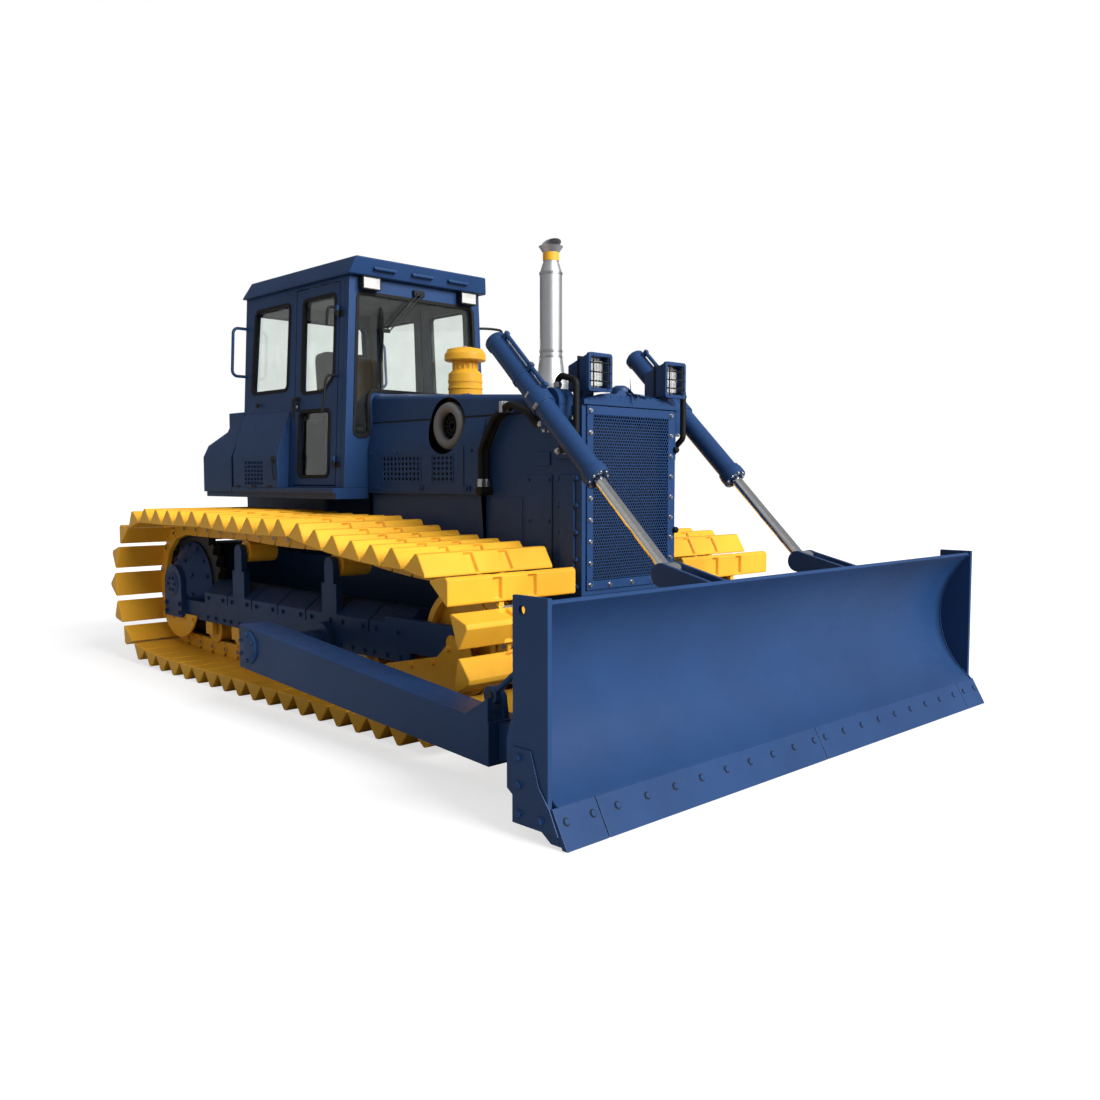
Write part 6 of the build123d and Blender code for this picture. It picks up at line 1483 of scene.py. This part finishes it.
@dataclass
class CabTrim:
    """Wiper, roof pads, roof lamps, lining and mats of the cab."""

    front: float = CAB_FRONT
    wiper_arm: float = 0.0055
    wiper_pivot: float = 2.850
    wiper_bow: float = 0.006
    edge_bar: float = 0.010
    pad_sides: tuple[float, ...] = (-0.348, -0.010, 0.328)
    stud: Profile = ((0.0, 0.034), (0.030, 0.032), (0.044, 0.022), (0.048, 0.0), (0.048, -0.010))
    lamp_sides: Flat = (-0.530, -0.372)
    lamp_heights: Flat = (2.828, 2.922)
    lamp_rim: float = 0.010
    lining_panel: Profile = ((0.262, 1.430), (0.972, 1.430), (0.972, 2.125), (0.262, 2.125))
    mat_ribs: int = 9
    mat_pitch: float = 0.130

    def wiper(self) -> None:
        """Make the double-arm wiper on the windshield and the bent bar at its far edge."""
        form = Form()
        x = self.front
        form.box(at(x - 0.002, -0.050, 2.838), at(x + 0.028, 0.050, 2.884), 0.008)
        for y, reach in ((-0.022, -0.300), (0.022, -0.268)):
            z = self.wiper_pivot
            form.rod(at(x + 0.010, y, z), at(x + 0.036, y, z), 0.011, sides=16, edge=0.002)
            form.pipe([at(x + 0.032, y, z), at(x + 0.036, y - 0.100, z - 0.095), at(x + 0.014, reach, z - 0.290)],
                      self.wiper_arm, 8)
        form.pipe([at(x - 0.040, 0.604, 2.668), at(x + 0.004, 0.640, 2.671), at(x + 0.005, 0.800, 2.676),
                   at(x + 0.005, 0.845, 2.668), at(x + 0.005, 0.855, 2.610)], self.edge_bar, 10)
        form.box(at(x - 0.004, -0.335, 2.545), at(x + 0.018, -0.262, 2.572), 0.006)
        form.pipe([at(x - 0.004, -0.319, 2.714), at(x + 0.012, -0.322, 2.640), at(x + 0.012, -0.328, 2.440),
                   at(x - 0.004, -0.333, 2.350)], self.wiper_bow, 8)
        form.box(at(x - 0.0205, -0.333, 2.335), at(x - 0.002, -0.319, 2.725), 0.003)
        form.piece("wiper", Body.CHASSIS, Finish.PLASTIC)

    def roof(self) -> None:
        """Make the roof's front pads, its two raised panels and the round stud."""
        form = Form()
        for y in self.pad_sides:
            form.box(at(1.735, y - 0.098, 2.966), at(1.789, y + 0.098, 2.992), 0.011)
        for y in (-0.30, 0.30):
            form.box(at(0.420, y - 0.160, 3.046), at(1.600, y + 0.160, 3.057), 0.006)
        form.turn(self.stud, at(0.360, 0, 3.05), UP, 28)
        form.piece("roof_pads", Body.CHASSIS, Finish.BLUE)

    def lamps(self) -> None:
        """Make the two roof lamps."""
        form = Form()
        (y0, y1), (low, high) = self.lamp_sides, self.lamp_heights
        form.box(at(1.697, y0, low), at(1.752, y1, high), 0.009)
        outline = [(y0, low), (y1, low), (y1, high), (y0, high)]
        rim = self.lamp_rim
        form.band([at(1.748, y, z) for y, z in outline], rim, AHEAD * rim, rim, edge=0.002)
        form.plate([at(1.7525, y, z) for y, z in grow(outline, -rim)], AHEAD * 0.0035, corner=0.006, paint=1)
        for y in (-0.490, -0.412):
            form.box(at(1.710, y - 0.006, high - 0.002), at(1.736, y + 0.006, 2.928), 0.002)
        form.mirror()
        form.piece("roof_lamp_units", Body.CHASSIS, Finish.PLASTIC, Finish.WHITE, replaces=["roof_lamps"])

    def lining(self) -> None:
        """Line the cab's roof, walls and floor."""
        form = Form()
        form.box(at(0.247, -0.548, 2.908), at(1.643, 0.548, 2.924), 0.006)
        form.box(at(0.247, -0.612, 1.411), at(0.980, 0.612, 1.419), 0.003)
        form.box(at(0.980, -0.600, 1.411), at(1.642, 0.600, 1.419), 0.003)
        form.box(at(0.246, -0.560, 1.425), at(0.254, 0.560, 2.125), 0.003)
        lined = Form()
        lined.plate([wall(x, z, -0.051) for x, z in self.lining_panel], WALL_OUT * -0.007, corner=0.02, edge=0.002)
        for step in range(self.mat_ribs):
            y = (step - self.mat_ribs // 2) * self.mat_pitch
            form.box(at(1.000, y - 0.030, 1.418), at(1.420, y + 0.030, 1.422), 0.0015, paint=1)
        lined.mirror()
        form.take(lined.mesh)
        form.piece("cab_lining", Body.CHASSIS, Finish.LINING, Finish.RUBBER)

    def build(self) -> None:
        """Make all of the cab's trim."""
        self.wiper()
        self.roof()
        self.lamps()
        self.lining()


@dataclass
class Seat:
    """Operator's seat: crowned cushions with sewn channels on a moulded base."""

    rear: float = 0.690
    front: float = 1.200
    half: float = 0.260
    low: float = 1.730
    high: float = 1.860
    back_top: float = 2.470
    back_half: float = 0.245
    back_station: float = 0.720
    back_depth: float = 0.130
    back_rake: float = 0.060
    cuts: int = 11
    smoothings: int = 3
    channel_depth: float = 0.010
    channel_width: float = 0.060
    fill: float = 0.6
    bellows: int = 5
    bellows_foot: float = 1.475
    bellows_pitch: float = 0.044
    arm_rests: Flat = (-0.290, 0.290)

    def cushion(self, size: tuple[float, float, float], crown: float) -> Form:
        """One padded cushion about its own middle.

        Args:
            size: length, width and thickness.
            crown: height of its crown.

        Returns:
            The cushion, its sitting face up.
        """
        form = Form()
        made = bmesh.ops.create_cube(form.mesh, size=2.0)["verts"]
        edges = list({e for v in made for e in v.link_edges})
        bmesh.ops.subdivide_edges(form.mesh, edges=edges, cuts=self.cuts, use_grid_fill=True)
        for _ in range(self.smoothings):
            bmesh.ops.smooth_vert(form.mesh, verts=list(form.mesh.verts), factor=0.5, use_axis_x=True,
                                  use_axis_y=True, use_axis_z=True)
        for vert in form.mesh.verts:
            u, v, w = vert.co
            swell = max(0.0, 1 - u * u) * max(0.0, 1 - v * v)
            lengthwise, crosswise = (abs(v) - 0.5) / self.channel_width, (u - 0.1) / self.channel_width
            groove = self.channel_depth * (math.exp(-lengthwise ** 2) + math.exp(-crosswise ** 2))
            lift = (crown * swell - groove * min(1.0, 3 * swell)) if w > 0.3 else 0.0
            vert.co = Vector((u * size[0] / 2, v * size[1] / 2, w * size[2] / 2 + lift))
        return form

    def padded(self, name: str, form: Form, place: Matrix, replaces: Sequence[str] = ()) -> None:
        """Put a cushion in its place as a padded piece, smoothed by one level of subdivision.

        Args:
            name: the piece's name.
            form: the cushion.
            place: where it goes.
            replaces: CAD nodes that it stands for.
        """
        bmesh.ops.transform(form.mesh, matrix=place, verts=list(form.mesh.verts))
        thing = form.piece(name, Body.CHASSIS, Finish.VINYL, replaces=replaces, smooth=180.0)
        thing.modifiers.clear()
        soft = thing.modifiers.new("padding", "SUBSURF")
        soft.levels = 1
        soft.render_levels = 1

    def base(self) -> None:
        """Make the base with its bellows and the arm rests."""
        form = Form()
        form.box(at(0.730, -0.195, 1.415), at(1.130, 0.195, 1.470), 0.012)
        for step in range(self.bellows):
            z, inset = self.bellows_foot + step * self.bellows_pitch, 0.004 * step
            form.box(at(0.750 + inset, -0.180, z), at(1.110 - inset, 0.180, z + 0.030), 0.012, paint=1)
        form.box(at(0.710, -0.235, 1.690), at(1.160, 0.235, 1.728), 0.012)
        for y in self.arm_rests:
            form.box(at(0.720, y - 0.030, 2.060), at(1.040, y + 0.030, 2.105), 0.014)
            form.rod(at(0.735, y * 0.86, 2.080), at(0.735, y, 2.080), 0.018, sides=16, edge=0.003)
        form.piece("seat_base", Body.CHASSIS, Finish.PLASTIC, Finish.RUBBER)

    def build(self) -> None:
        """Make cushion, back and base."""
        sit = self.cushion((self.front - self.rear, 2 * self.half, self.high - self.low + 0.03), 0.024)
        middle = at((self.front + self.rear) / 2, 0, (self.high + self.low) / 2)
        self.padded("seat_cushion", sit, Matrix.Translation(middle), ["operator_seat"])
        tall = self.back_top - self.high
        back = self.cushion((tall + 0.02, 2 * self.back_half, self.back_depth), 0.022)
        lean = math.atan2(self.back_rake, tall)
        middle = at(self.back_station, 0, (self.back_top + self.high) / 2 + 0.02)
        face = Matrix.Rotation(math.pi / 2 - lean, 4, "Y")
        self.padded("seat_back", back, Matrix.Translation(middle) @ face)
        self.base()


@dataclass
class Controls:
    """Lever boots, knobs, dials and pedals."""

    boot: Profile = ((0.046, -0.002), (0.046, 0.008), (0.034, 0.016), (0.038, 0.024), (0.026, 0.034),
                     (0.029, 0.042), (0.016, 0.054), (0.0, 0.054))
    knob: Profile = ((0.0, 0.040), (0.016, 0.037), (0.027, 0.020), (0.028, 0.0), (0.020, -0.030),
                     (0.014, -0.060), (0.0, -0.060))
    dial: Profile = ((0.0, 0.004), (0.030, 0.004), (0.034, 0.008), (0.040, 0.008), (0.042, 0.0), (0.042, -0.006))
    lever_sides: Flat = (-0.400, 0.400)
    dial_sides: tuple[float, ...] = (-0.170, -0.060, 0.060, 0.170)
    pedal_sides: Flat = (-0.150, 0.150)
    pedal_half: float = 0.050
    pedal_slope: tuple[float, float, float] = (0.020, 0, 0.030)

    def build(self) -> None:
        """Make the small controls."""
        form = Form()
        for y in self.lever_sides:
            form.turn(self.boot, at(1.050, y, 1.930), UP, 24)
            form.turn(self.knob, at(1.074, y, 2.145), UP, 24)
        for y in self.dial_sides:
            form.turn(self.dial, at(1.450, y, 2.030), BEHIND, 24, paint=1)
        under = Vector(self.pedal_slope).normalized() * -0.008
        for y in self.pedal_sides:
            right, left = y - self.pedal_half, y + self.pedal_half
            corners = [at(1.340, right, 1.500), at(1.340, left, 1.500), at(1.250, left, 1.440),
                       at(1.250, right, 1.440)]
            form.plate(corners, under, corner=0.012, edge=0.002)
            form.pipe([at(1.300, y, 1.470), at(1.360, y, 1.470), at(1.460, y, 1.560)], 0.010, 8)
        form.piece("controls", Body.CHASSIS, Finish.PLASTIC, Finish.STEEL)


@dataclass
class DeckTrim:
    """Latches, lamps, filler and cover plates on the side boxes and the tank."""

    box_face: float = 0.765
    lock: Profile = ((0.0, 0.014), (0.020, 0.014), (0.026, 0.008), (0.028, 0.0), (0.028, -0.004))
    lever: float = 0.0065
    knob: Profile = ((0.0, 0.022), (0.014, 0.021), (0.018, 0.014), (0.016, 0.004), (0.010, 0.0), (0.010, -0.006))
    feet: tuple[float, ...] = (0.300, 0.560, 0.800)
    filler: Profile = ((0.0, 0.050), (0.050, 0.050), (0.056, 0.044), (0.056, 0.020), (0.048, 0.014),
                       (0.048, -0.010))
    filler_foot: tuple[float, float, float] = (0.060, 0.430, 2.020)
    grips: int = 12
    grip_ring: float = 0.056
    plate_stations: Flat = (-0.306, -0.299)
    strap_sides: Flat = (-0.450, 0.450)
    lamp_sides: Flat = (-0.640, 0.640)

    def latches(self) -> None:
        """Make the side boxes' locks, levers, knobs and feet."""
        form = Form()
        face = -self.box_face
        form.turn(self.lock, at(0.872, face, 1.625), RIGHT, 20)
        form.pipe([at(0.872, face - 0.010, 1.625), at(0.878, face - 0.018, 1.580), at(0.889, face - 0.010, 1.470)],
                  self.lever, 8)
        form.turn(self.knob, wall(0.459, 2.058, 0.014), WALL_OUT, 20)
        for x in self.feet:
            form.box(at(x - 0.035, face - 0.008, 1.414), at(x + 0.035, face, 1.426), 0.003)
        form.mirror()
        form.piece("side_box_latches", Body.CHASSIS, Finish.PLASTIC)

    def tank(self) -> None:
        """Make the tank's filler cap, straps and cover plate."""
        form = Form()
        foot = at(*self.filler_foot)
        form.turn(self.filler, foot, UP, 28, paint=1)
        for way in spokes(self.grips, flat=True):
            grip = foot + way * self.grip_ring + UP * 0.022
            form.rod(grip, grip + UP * 0.022, 0.005, sides=6, paint=1)
        back, face = self.plate_stations
        for y in self.strap_sides:
            form.box(at(back, y - 0.030, 1.385), at(face, y + 0.030, 1.750), 0.003)
            for z in (1.410, 1.725):
                form.bolt(at(back, y, z), BEHIND, 0.024)
        form.box(at(back, -0.180, 1.420), at(face, 0.180, 1.640), 0.004)
        for y in (-0.150, 0.150):
            for z in (1.445, 1.615):
                form.bolt(at(back, y, z), BEHIND, 0.020)
        form.piece("tank_trim", Body.CHASSIS, Finish.BLUE, Finish.PLASTIC)

    def lamps(self) -> None:
        """Make the two rear lamps."""
        form = Form()
        for y in self.lamp_sides:
            form.box(at(-0.345, y - 0.065, 1.530), at(-0.298, y + 0.065, 1.640), 0.012)
            outline = [(y - 0.060, 1.536), (y + 0.060, 1.536), (y + 0.060, 1.634), (y - 0.060, 1.634)]
            pane = grow(outline, -0.010)
            form.band([at(-0.342, a, z) for a, z in outline], 0.010, BEHIND * 0.008, 0.012, edge=0.002)
            form.plate([at(-0.3445, a, z) for a, z in pane], BEHIND * 0.003, corner=0.008, paint=1)
        form.piece("rear_lamps", Body.CHASSIS, Finish.PLASTIC, Finish.WHITE)

    def build(self) -> None:
        """Make the trim of both sides."""
        self.latches()
        self.tank()
        self.lamps()


# Undercarriage hardware


@dataclass
class DriveTrim:
    """Bolts and caps on the final drives and their outer bearings."""

    axle: float = 0.636
    wide: Flat = (1.020, 0.335)
    narrow: Flat = (1.150, 0.160)
    rings: tuple[tuple[float, int], ...] = ((0.300, 14), (0.200, 8))
    ring_bolt: float = 0.030
    plate_face: float = 1.192
    cap: Profile = ((0.0, 0.014), (0.070, 0.014), (0.078, 0.008), (0.092, 0.006), (0.098, 0.0), (0.098, -0.004))
    cap_bolts: int = 6
    cap_ring: float = 0.052
    cap_bolt: float = 0.022
    plate_bolt: float = 0.034

    def build(self) -> None:
        """Make the hardware of both sides."""
        form = Form()
        long = self.narrow[0] - self.wide[0]
        drop = self.wide[1] - self.narrow[1]
        for ring, count in self.rings:
            y = -self.wide[0] - long * (self.wide[1] - ring) / drop
            for way in spokes(count, 0.5):
                form.bolt(at(0, y, self.axle) + way * ring, way * long + RIGHT * drop, self.ring_bolt)
        foot = at(0, -self.plate_face, self.axle)
        form.turn(self.cap, foot, RIGHT, 36)
        for way in spokes(self.cap_bolts):
            form.bolt(foot + way * self.cap_ring + RIGHT * 0.014, RIGHT, self.cap_bolt)
        for x in (-0.115, 0.115):
            for z in (0.410, 0.480):
                form.bolt(at(x, -self.plate_face, z), RIGHT, self.plate_bolt)
        form.mirror()
        form.piece("final_drive_bolts", Body.CHASSIS, Finish.BLUE)


@dataclass
class FrameTrim:
    """Bolts along the track frames' covers and guards."""

    face: float = 1.150
    guard_face: float = 1.166
    first: float = 0.470
    last: float = 3.060
    covers: int = 7
    slot: float = 0.012
    cover_bolt: float = 0.028
    foot_bolt: float = 0.026
    guard_bolt: float = 0.030
    guard_places: Profile = ((2.815, 0.292), (2.960, 0.345), (3.150, 0.385), (3.360, 0.425), (3.500, 0.520),
                             (3.615, 0.545), (3.660, 0.430), (3.560, 0.300), (3.455, 0.225), (3.300, 0.255),
                             (3.080, 0.275), (-0.200, 0.370), (-0.040, 0.370), (0.140, 0.370), (0.300, 0.370))

    def build(self) -> None:
        """Make the bolts of both sides."""
        form = Form()
        long = (self.last - self.first - (self.covers - 1) * self.slot) / self.covers
        for i in range(self.covers):
            start = self.first + i * (long + self.slot)
            for share in (0.18, 0.82):
                form.bolt(at(start + long * share, -self.face, 0.560), RIGHT, self.cover_bolt)
            for share in (0.12, 0.5, 0.88):
                form.bolt(at(start + long * share, -self.face, 0.410), RIGHT, self.foot_bolt)
        form.mirror()
        # Cover bolts in the darker blue copy, which is painted shade
        form.piece("frame_cover_bolts", Body.CHASSIS, Finish.SHADED_FRAME_BLUE)
        guard = Form()
        for x, z in self.guard_places:
            guard.bolt(at(x, -self.guard_face, z), RIGHT, self.guard_bolt)
        guard.mirror()
        guard.piece("track_guard_bolts", Body.CHASSIS, Finish.YELLOW)


# Blade and arms


def arc_through(a: Flat, b: Flat, c: Flat, steps: int) -> list[Flat]:
    """Points of the circle arc from a through b to c.

    Args:
        a: first point.
        b: point on the way.
        c: last point.
        steps: number of parts.

    Returns:
        The points along the arc.
    """
    ax, ay, bx, by, cx, cy = *a, *b, *c
    d = 2 * (ax * (by - cy) + bx * (cy - ay) + cx * (ay - by))
    squares = (ax * ax + ay * ay, bx * bx + by * by, cx * cx + cy * cy)
    ux = (squares[0] * (by - cy) + squares[1] * (cy - ay) + squares[2] * (ay - by)) / d
    uy = (squares[0] * (cx - bx) + squares[1] * (ax - cx) + squares[2] * (bx - ax)) / d
    radius = math.hypot(ax - ux, ay - uy)
    first = math.atan2(ay - uy, ax - ux)
    last = math.atan2(cy - uy, cx - ux)
    through = math.atan2(by - uy, bx - ux)
    if not min(first, last) <= through <= max(first, last):
        first, last = (first % math.tau, last % math.tau)
    angles = [first + (last - first) * k / steps for k in range(steps + 1)]
    return [(ux + radius * math.cos(t), uy + radius * math.sin(t)) for t in angles]


@dataclass
class BladeTrim:
    """Bolted cutting edge, plow bolts, end doublers and weld seams of the blade."""

    half: float = 1.950
    edge: Profile = ((5.220, 0.005), (5.135, 0.160), (5.1131, 0.1480), (5.1915, 0.005))
    splits: tuple[float, ...] = (-1.950, -1.700, 0.0, 1.700, 1.950)
    gap: float = 0.004
    bolt: float = 0.019
    bolt_share: float = 0.64
    bolt_pitch: float = 0.1925
    doubler: Profile = ((4.905, 0.055), (5.176, 0.055), (5.128, 0.150), (5.062, 0.235), (5.015, 0.375),
                        (4.905, 0.375))
    doubler_thick: float = 0.008
    doubler_bolts: Profile = ((4.945, 0.100), (5.075, 0.100), (4.945, 0.220), (4.945, 0.335))
    seam: Profile = ((5.100, 0.978), (4.912, 0.570), (5.135, 0.160))
    seam_radius: float = 0.006

    def cutting_edge(self) -> None:
        """Make the edge's sections and their plow bolts, each head in a thin black ring that is painted shade of
        its countersunk recess.
        """
        form = Form()
        for low, high in zip(self.splits, self.splits[1:]):
            start = low + (self.gap / 2 if low > -self.half else 0.0)
            end = high - (self.gap / 2 if high < self.half else 0.0)
            form.plate([at(x, start, z) for x, z in self.edge], Vector((0, end - start, 0)), edge=0.003)
        tip, top = Vector(self.edge[0]), Vector(self.edge[1])
        up = (top - tip).normalized()
        out = Vector((up.y, 0, -up.x))
        spot = tip.lerp(top, self.bolt_share)
        places = [0.055 + self.bolt_pitch * k for k in range(9)] + [1.745, 1.900]
        r = self.bolt
        head = [(0.0, 0.006), (r * 0.66, 0.006), (r * 0.76, 0.002), (r * 0.8, -0.003)]
        # Thin black ring (CORE) round each head: painted shade of the countersunk recess, not a real part
        rim = [(r * 0.7, 0.0008), (r, 0.0008), (r, -0.003)]
        for y in [*places, *[-p for p in places]]:
            form.turn(head, at(spot.x, y, spot.y), out, 18)
            form.turn(rim, at(spot.x, y, spot.y), out, 18, paint=1)
        form.piece("cutting_edge_sections", Body.BLADE, Finish.BLUE, Finish.CORE, replaces=["cutting_edge"])

    def ends(self) -> None:
        """Make the end doublers, their bolts and the weld seams."""
        form = Form()
        face, thick = -self.half, self.doubler_thick
        form.plate([at(x, face, z) for x, z in self.doubler], RIGHT * thick, edge=0.003)
        for x, z in self.doubler_bolts:
            form.bolt(at(x, face - thick, z), RIGHT, 0.032)
        arc = arc_through(*self.seam, 24)
        form.pipe([at(x + 0.002, face + 0.030, z) for x, z in arc], self.seam_radius, 8)
        form.mirror()
        form.piece("blade_end_trim", Body.BLADE, Finish.BLUE)

    def build(self) -> None:
        """Make all of the blade's trim."""
        self.cutting_edge()
        self.ends()


@dataclass
class ArmTrim:
    """Caps and bolts at the push arms' rear pivots."""

    pivot: Flat = (2.220, 0.440)
    face: float = 1.714
    cap: Profile = ((0.0, 0.016), (0.060, 0.016), (0.072, 0.012), (0.096, 0.010), (0.102, 0.003), (0.102, -0.003))
    bolts: int = 6
    ring: float = 0.080
    bolt: float = 0.024

    def build(self) -> None:
        """Make the caps of both sides."""
        form = Form()
        foot = at(self.pivot[0], -self.face, self.pivot[1])
        form.turn(self.cap, foot, RIGHT, 36)
        for way in spokes(self.bolts, 0.5):
            form.bolt(foot + way * self.ring + RIGHT * 0.011, RIGHT, self.bolt)
        form.mirror()
        form.piece("arm_pivot_caps", Body.BLADE, Finish.BLUE)


# The machine


def dress_nodes() -> None:
    """Give the CAD nodes that stay as they are their finishes."""
    plan = {
        Finish.CASTING: ("sprockets", "engine_block", "blade_pins"),
        Finish.YELLOW: ("track_rollers", "carrier_rollers", "idlers"),
        Finish.CORE: ("radiator_core",),
        Finish.GLASS: ("cab_glass", "door_right_glass", "door_left_glass"),
        Finish.PLASTIC: ("door_hinges",),
        Finish.RUBBER: ("hydraulic_lines",),
        Finish.BLUE: ("final_drive_covers", "final_drive_cases", "blade_braces", "grab_handles",
                      "headlamp_housings"),
    }
    for finish, names in plan.items():
        for name in names:
            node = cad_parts[name]
            node.data.materials.clear()
            node.data.materials.append(finish.material())
            LOG.info("%s dressed as %s", name, finish.value.name)


SOFTENED = [
    *[SoftenedNode(n, Body.CHASSIS, Finish.BLUE) for n in (
        "radiator_guard", "hood", "engine_side_panels", "side_boxes", "fuel_tank", "platform", "lift_yokes")],
    SoftenedNode("cab_front_wall", Body.CHASSIS, Finish.BLUE, inward=(-1, 0, 0)),
    SoftenedNode("cab_rear_wall", Body.CHASSIS, Finish.BLUE, inward=(1, 0, 0)),
    SoftenedNode("cab_side_right", Body.CHASSIS, Finish.BLUE, inward=(0, 1, 0)),
    SoftenedNode("cab_side_left", Body.CHASSIS, Finish.BLUE, inward=(0, -1, 0)),
    SoftenedNode("cab_roof", Body.CHASSIS, Finish.BLUE, 0.012),
    # Frames and drawbar in the darker blue copy, which is painted shade
    *[SoftenedNode(n, Body.CHASSIS, Finish.SHADED_FRAME_BLUE) for n in (
        "main_frame", "transmission_case", "drawbar", "track_frame_right", "track_frame_left")],
    SoftenedNode("track_guards", Body.CHASSIS, Finish.YELLOW),
    SoftenedNode("control_console", Body.CHASSIS, Finish.PLASTIC, 0.008),
    SoftenedNode("door_right", Body.DOOR_RIGHT, Finish.BLUE, inward=(0, 1, 0)),
    SoftenedNode("door_left", Body.DOOR_LEFT, Finish.BLUE, inward=(0, -1, 0)),
    *[SoftenedNode(n, Body.BLADE, Finish.BLUE) for n in (
        "push_arms", "blade_moldboard", "blade_end_plates")],
    SoftenedNode("lift_rod_right", Body.ROD_RIGHT, Finish.CHROME, 0.002),
    SoftenedNode("lift_rod_left", Body.ROD_LEFT, Finish.CHROME, 0.002),
    SoftenedNode("lift_barrel_right", Body.BARREL_RIGHT, Finish.BLUE),
    SoftenedNode("lift_barrel_left", Body.BARREL_LEFT, Finish.BLUE),
]


# Studio


@dataclass
class Studio:
    """Pale floor, white surroundings, soft light and the camera at the photograph's angle."""

    eye: tuple[float, float, float] = (5.6966, -4.7607, 1.4751)
    yaw: float = 135.743
    pitch: float = -3.953
    lens: float = 33.647
    sensor: float = 36.0
    floor_half: float = 60.0
    floor_colour: Colour = (0.45, 0.45, 0.455)
    floor_roughness: float = 0.9
    floor_specular: float = 0.05
    sky: float = 0.33
    key: float = 6.0
    key_spread: float = 40.0
    key_way: tuple[float, float, float] = (-0.92, -0.14, -0.52)
    fill: float = 0.14
    fill_spread: float = 60.0
    fill_way: tuple[float, float, float] = (0.15, 0.9, -0.8)
    lift: float = 0.65

    def _shown(self, tree: bpy.types.NodeTree) -> bpy.types.Node:
        """Factor that is 1 for what the camera sees, straight or through glass."""
        path = tree.nodes.new("ShaderNodeLightPath")
        node = tree.nodes.new("ShaderNodeMath")
        node.operation = "MAXIMUM"
        tree.links.new(path.outputs["Is Camera Ray"], node.inputs[0])
        tree.links.new(path.outputs["Is Transmission Ray"], node.inputs[1])
        return node

    def floor(self) -> None:
        """Floor that keeps the soft shadow and reads as white where it is lit."""
        form = bmesh.new()
        bmesh.ops.create_grid(form, x_segments=1, y_segments=1, size=self.floor_half)
        data = bpy.data.meshes.new("studio_floor")
        form.to_mesh(data)
        form.free()
        material = bpy.data.materials.new("studio_floor")
        material.use_nodes = True
        tree = material.node_tree
        shader = tree.nodes["Principled BSDF"]
        shader.inputs["Base Color"].default_value = (*self.floor_colour, 1)
        shader.inputs["Roughness"].default_value = self.floor_roughness
        shader.inputs["Specular IOR Level"].default_value = self.floor_specular
        shader.inputs["Emission Color"].default_value = (1, 1, 1, 1)
        lift = tree.nodes.new("ShaderNodeMath")
        lift.operation = "MULTIPLY"
        lift.inputs[1].default_value = self.lift
        tree.links.new(self._shown(tree).outputs[0], lift.inputs[0])
        tree.links.new(lift.outputs[0], shader.inputs["Emission Strength"])
        data.materials.append(material)
        thing = bpy.data.objects.new("studio_floor", data)
        bpy.context.scene.collection.objects.link(thing)

    def light(self) -> None:
        """Even white surroundings, a soft key from ahead of the machine and a weak fill on its right side."""
        world = bpy.data.worlds.new("studio")
        bpy.context.scene.world = world
        world.use_nodes = True
        tree = world.node_tree
        back = tree.nodes["Background"]
        back.inputs["Color"].default_value = (1, 1, 1, 1)
        strength = tree.nodes.new("ShaderNodeMapRange")
        strength.inputs["To Min"].default_value = self.sky
        strength.inputs["To Max"].default_value = 1.0
        tree.links.new(self._shown(tree).outputs[0], strength.inputs[0])
        tree.links.new(strength.outputs[0], back.inputs["Strength"])
        for name, power, spread, way in (("key", self.key, self.key_spread, self.key_way),
                                         ("fill", self.fill, self.fill_spread, self.fill_way)):
            lamp = bpy.data.lights.new(f"studio_{name}", "SUN")
            lamp.energy = power
            lamp.angle = math.radians(spread)
            thing = bpy.data.objects.new(f"studio_{name}", lamp)
            thing.rotation_euler = Vector(way).to_track_quat("-Z", "Y").to_euler()
            bpy.context.scene.collection.objects.link(thing)

    def camera(self) -> None:
        """Camera at the photograph's place."""
        lens = bpy.data.cameras.new("photo_camera")
        lens.lens = self.lens
        lens.sensor_width = self.sensor
        lens.clip_end = 200.0
        thing = bpy.data.objects.new("photo_camera", lens)
        yaw, pitch = math.radians(self.yaw), math.radians(self.pitch)
        ahead = Vector((math.cos(pitch) * math.cos(yaw), math.cos(pitch) * math.sin(yaw), math.sin(pitch)))
        thing.location = self.eye
        thing.rotation_euler = ahead.to_track_quat("-Z", "Y").to_euler()
        bpy.context.scene.collection.objects.link(thing)
        bpy.context.scene.camera = thing

    def build(self) -> None:
        """Set the whole studio up."""
        bpy.context.scene.view_settings.view_transform = "Standard"
        self.floor()
        self.light()
        self.camera()


def main() -> None:
    """Build the studio, then every piece in order, and note the sizes."""
    logging.basicConfig(level=logging.INFO, format="%(message)s")
    Studio().build()
    dress_nodes()
    for node in SOFTENED:
        node.build()
    for side in Side:
        Track(side).build()
        Cylinder(side).build()
        Door(side).build()
    for group in (Grille, GuardTrim, Headlamps, Exhaust, Precleaner, HoodTrim, Intake, LineFittings, Seals,
                  CabTrim, Seat, Controls, DeckTrim, DriveTrim, FrameTrim, BladeTrim, ArmTrim):
        LOG.info("building %s", group.__name__)
        group().build()


if __name__ == "__main__":
    main()
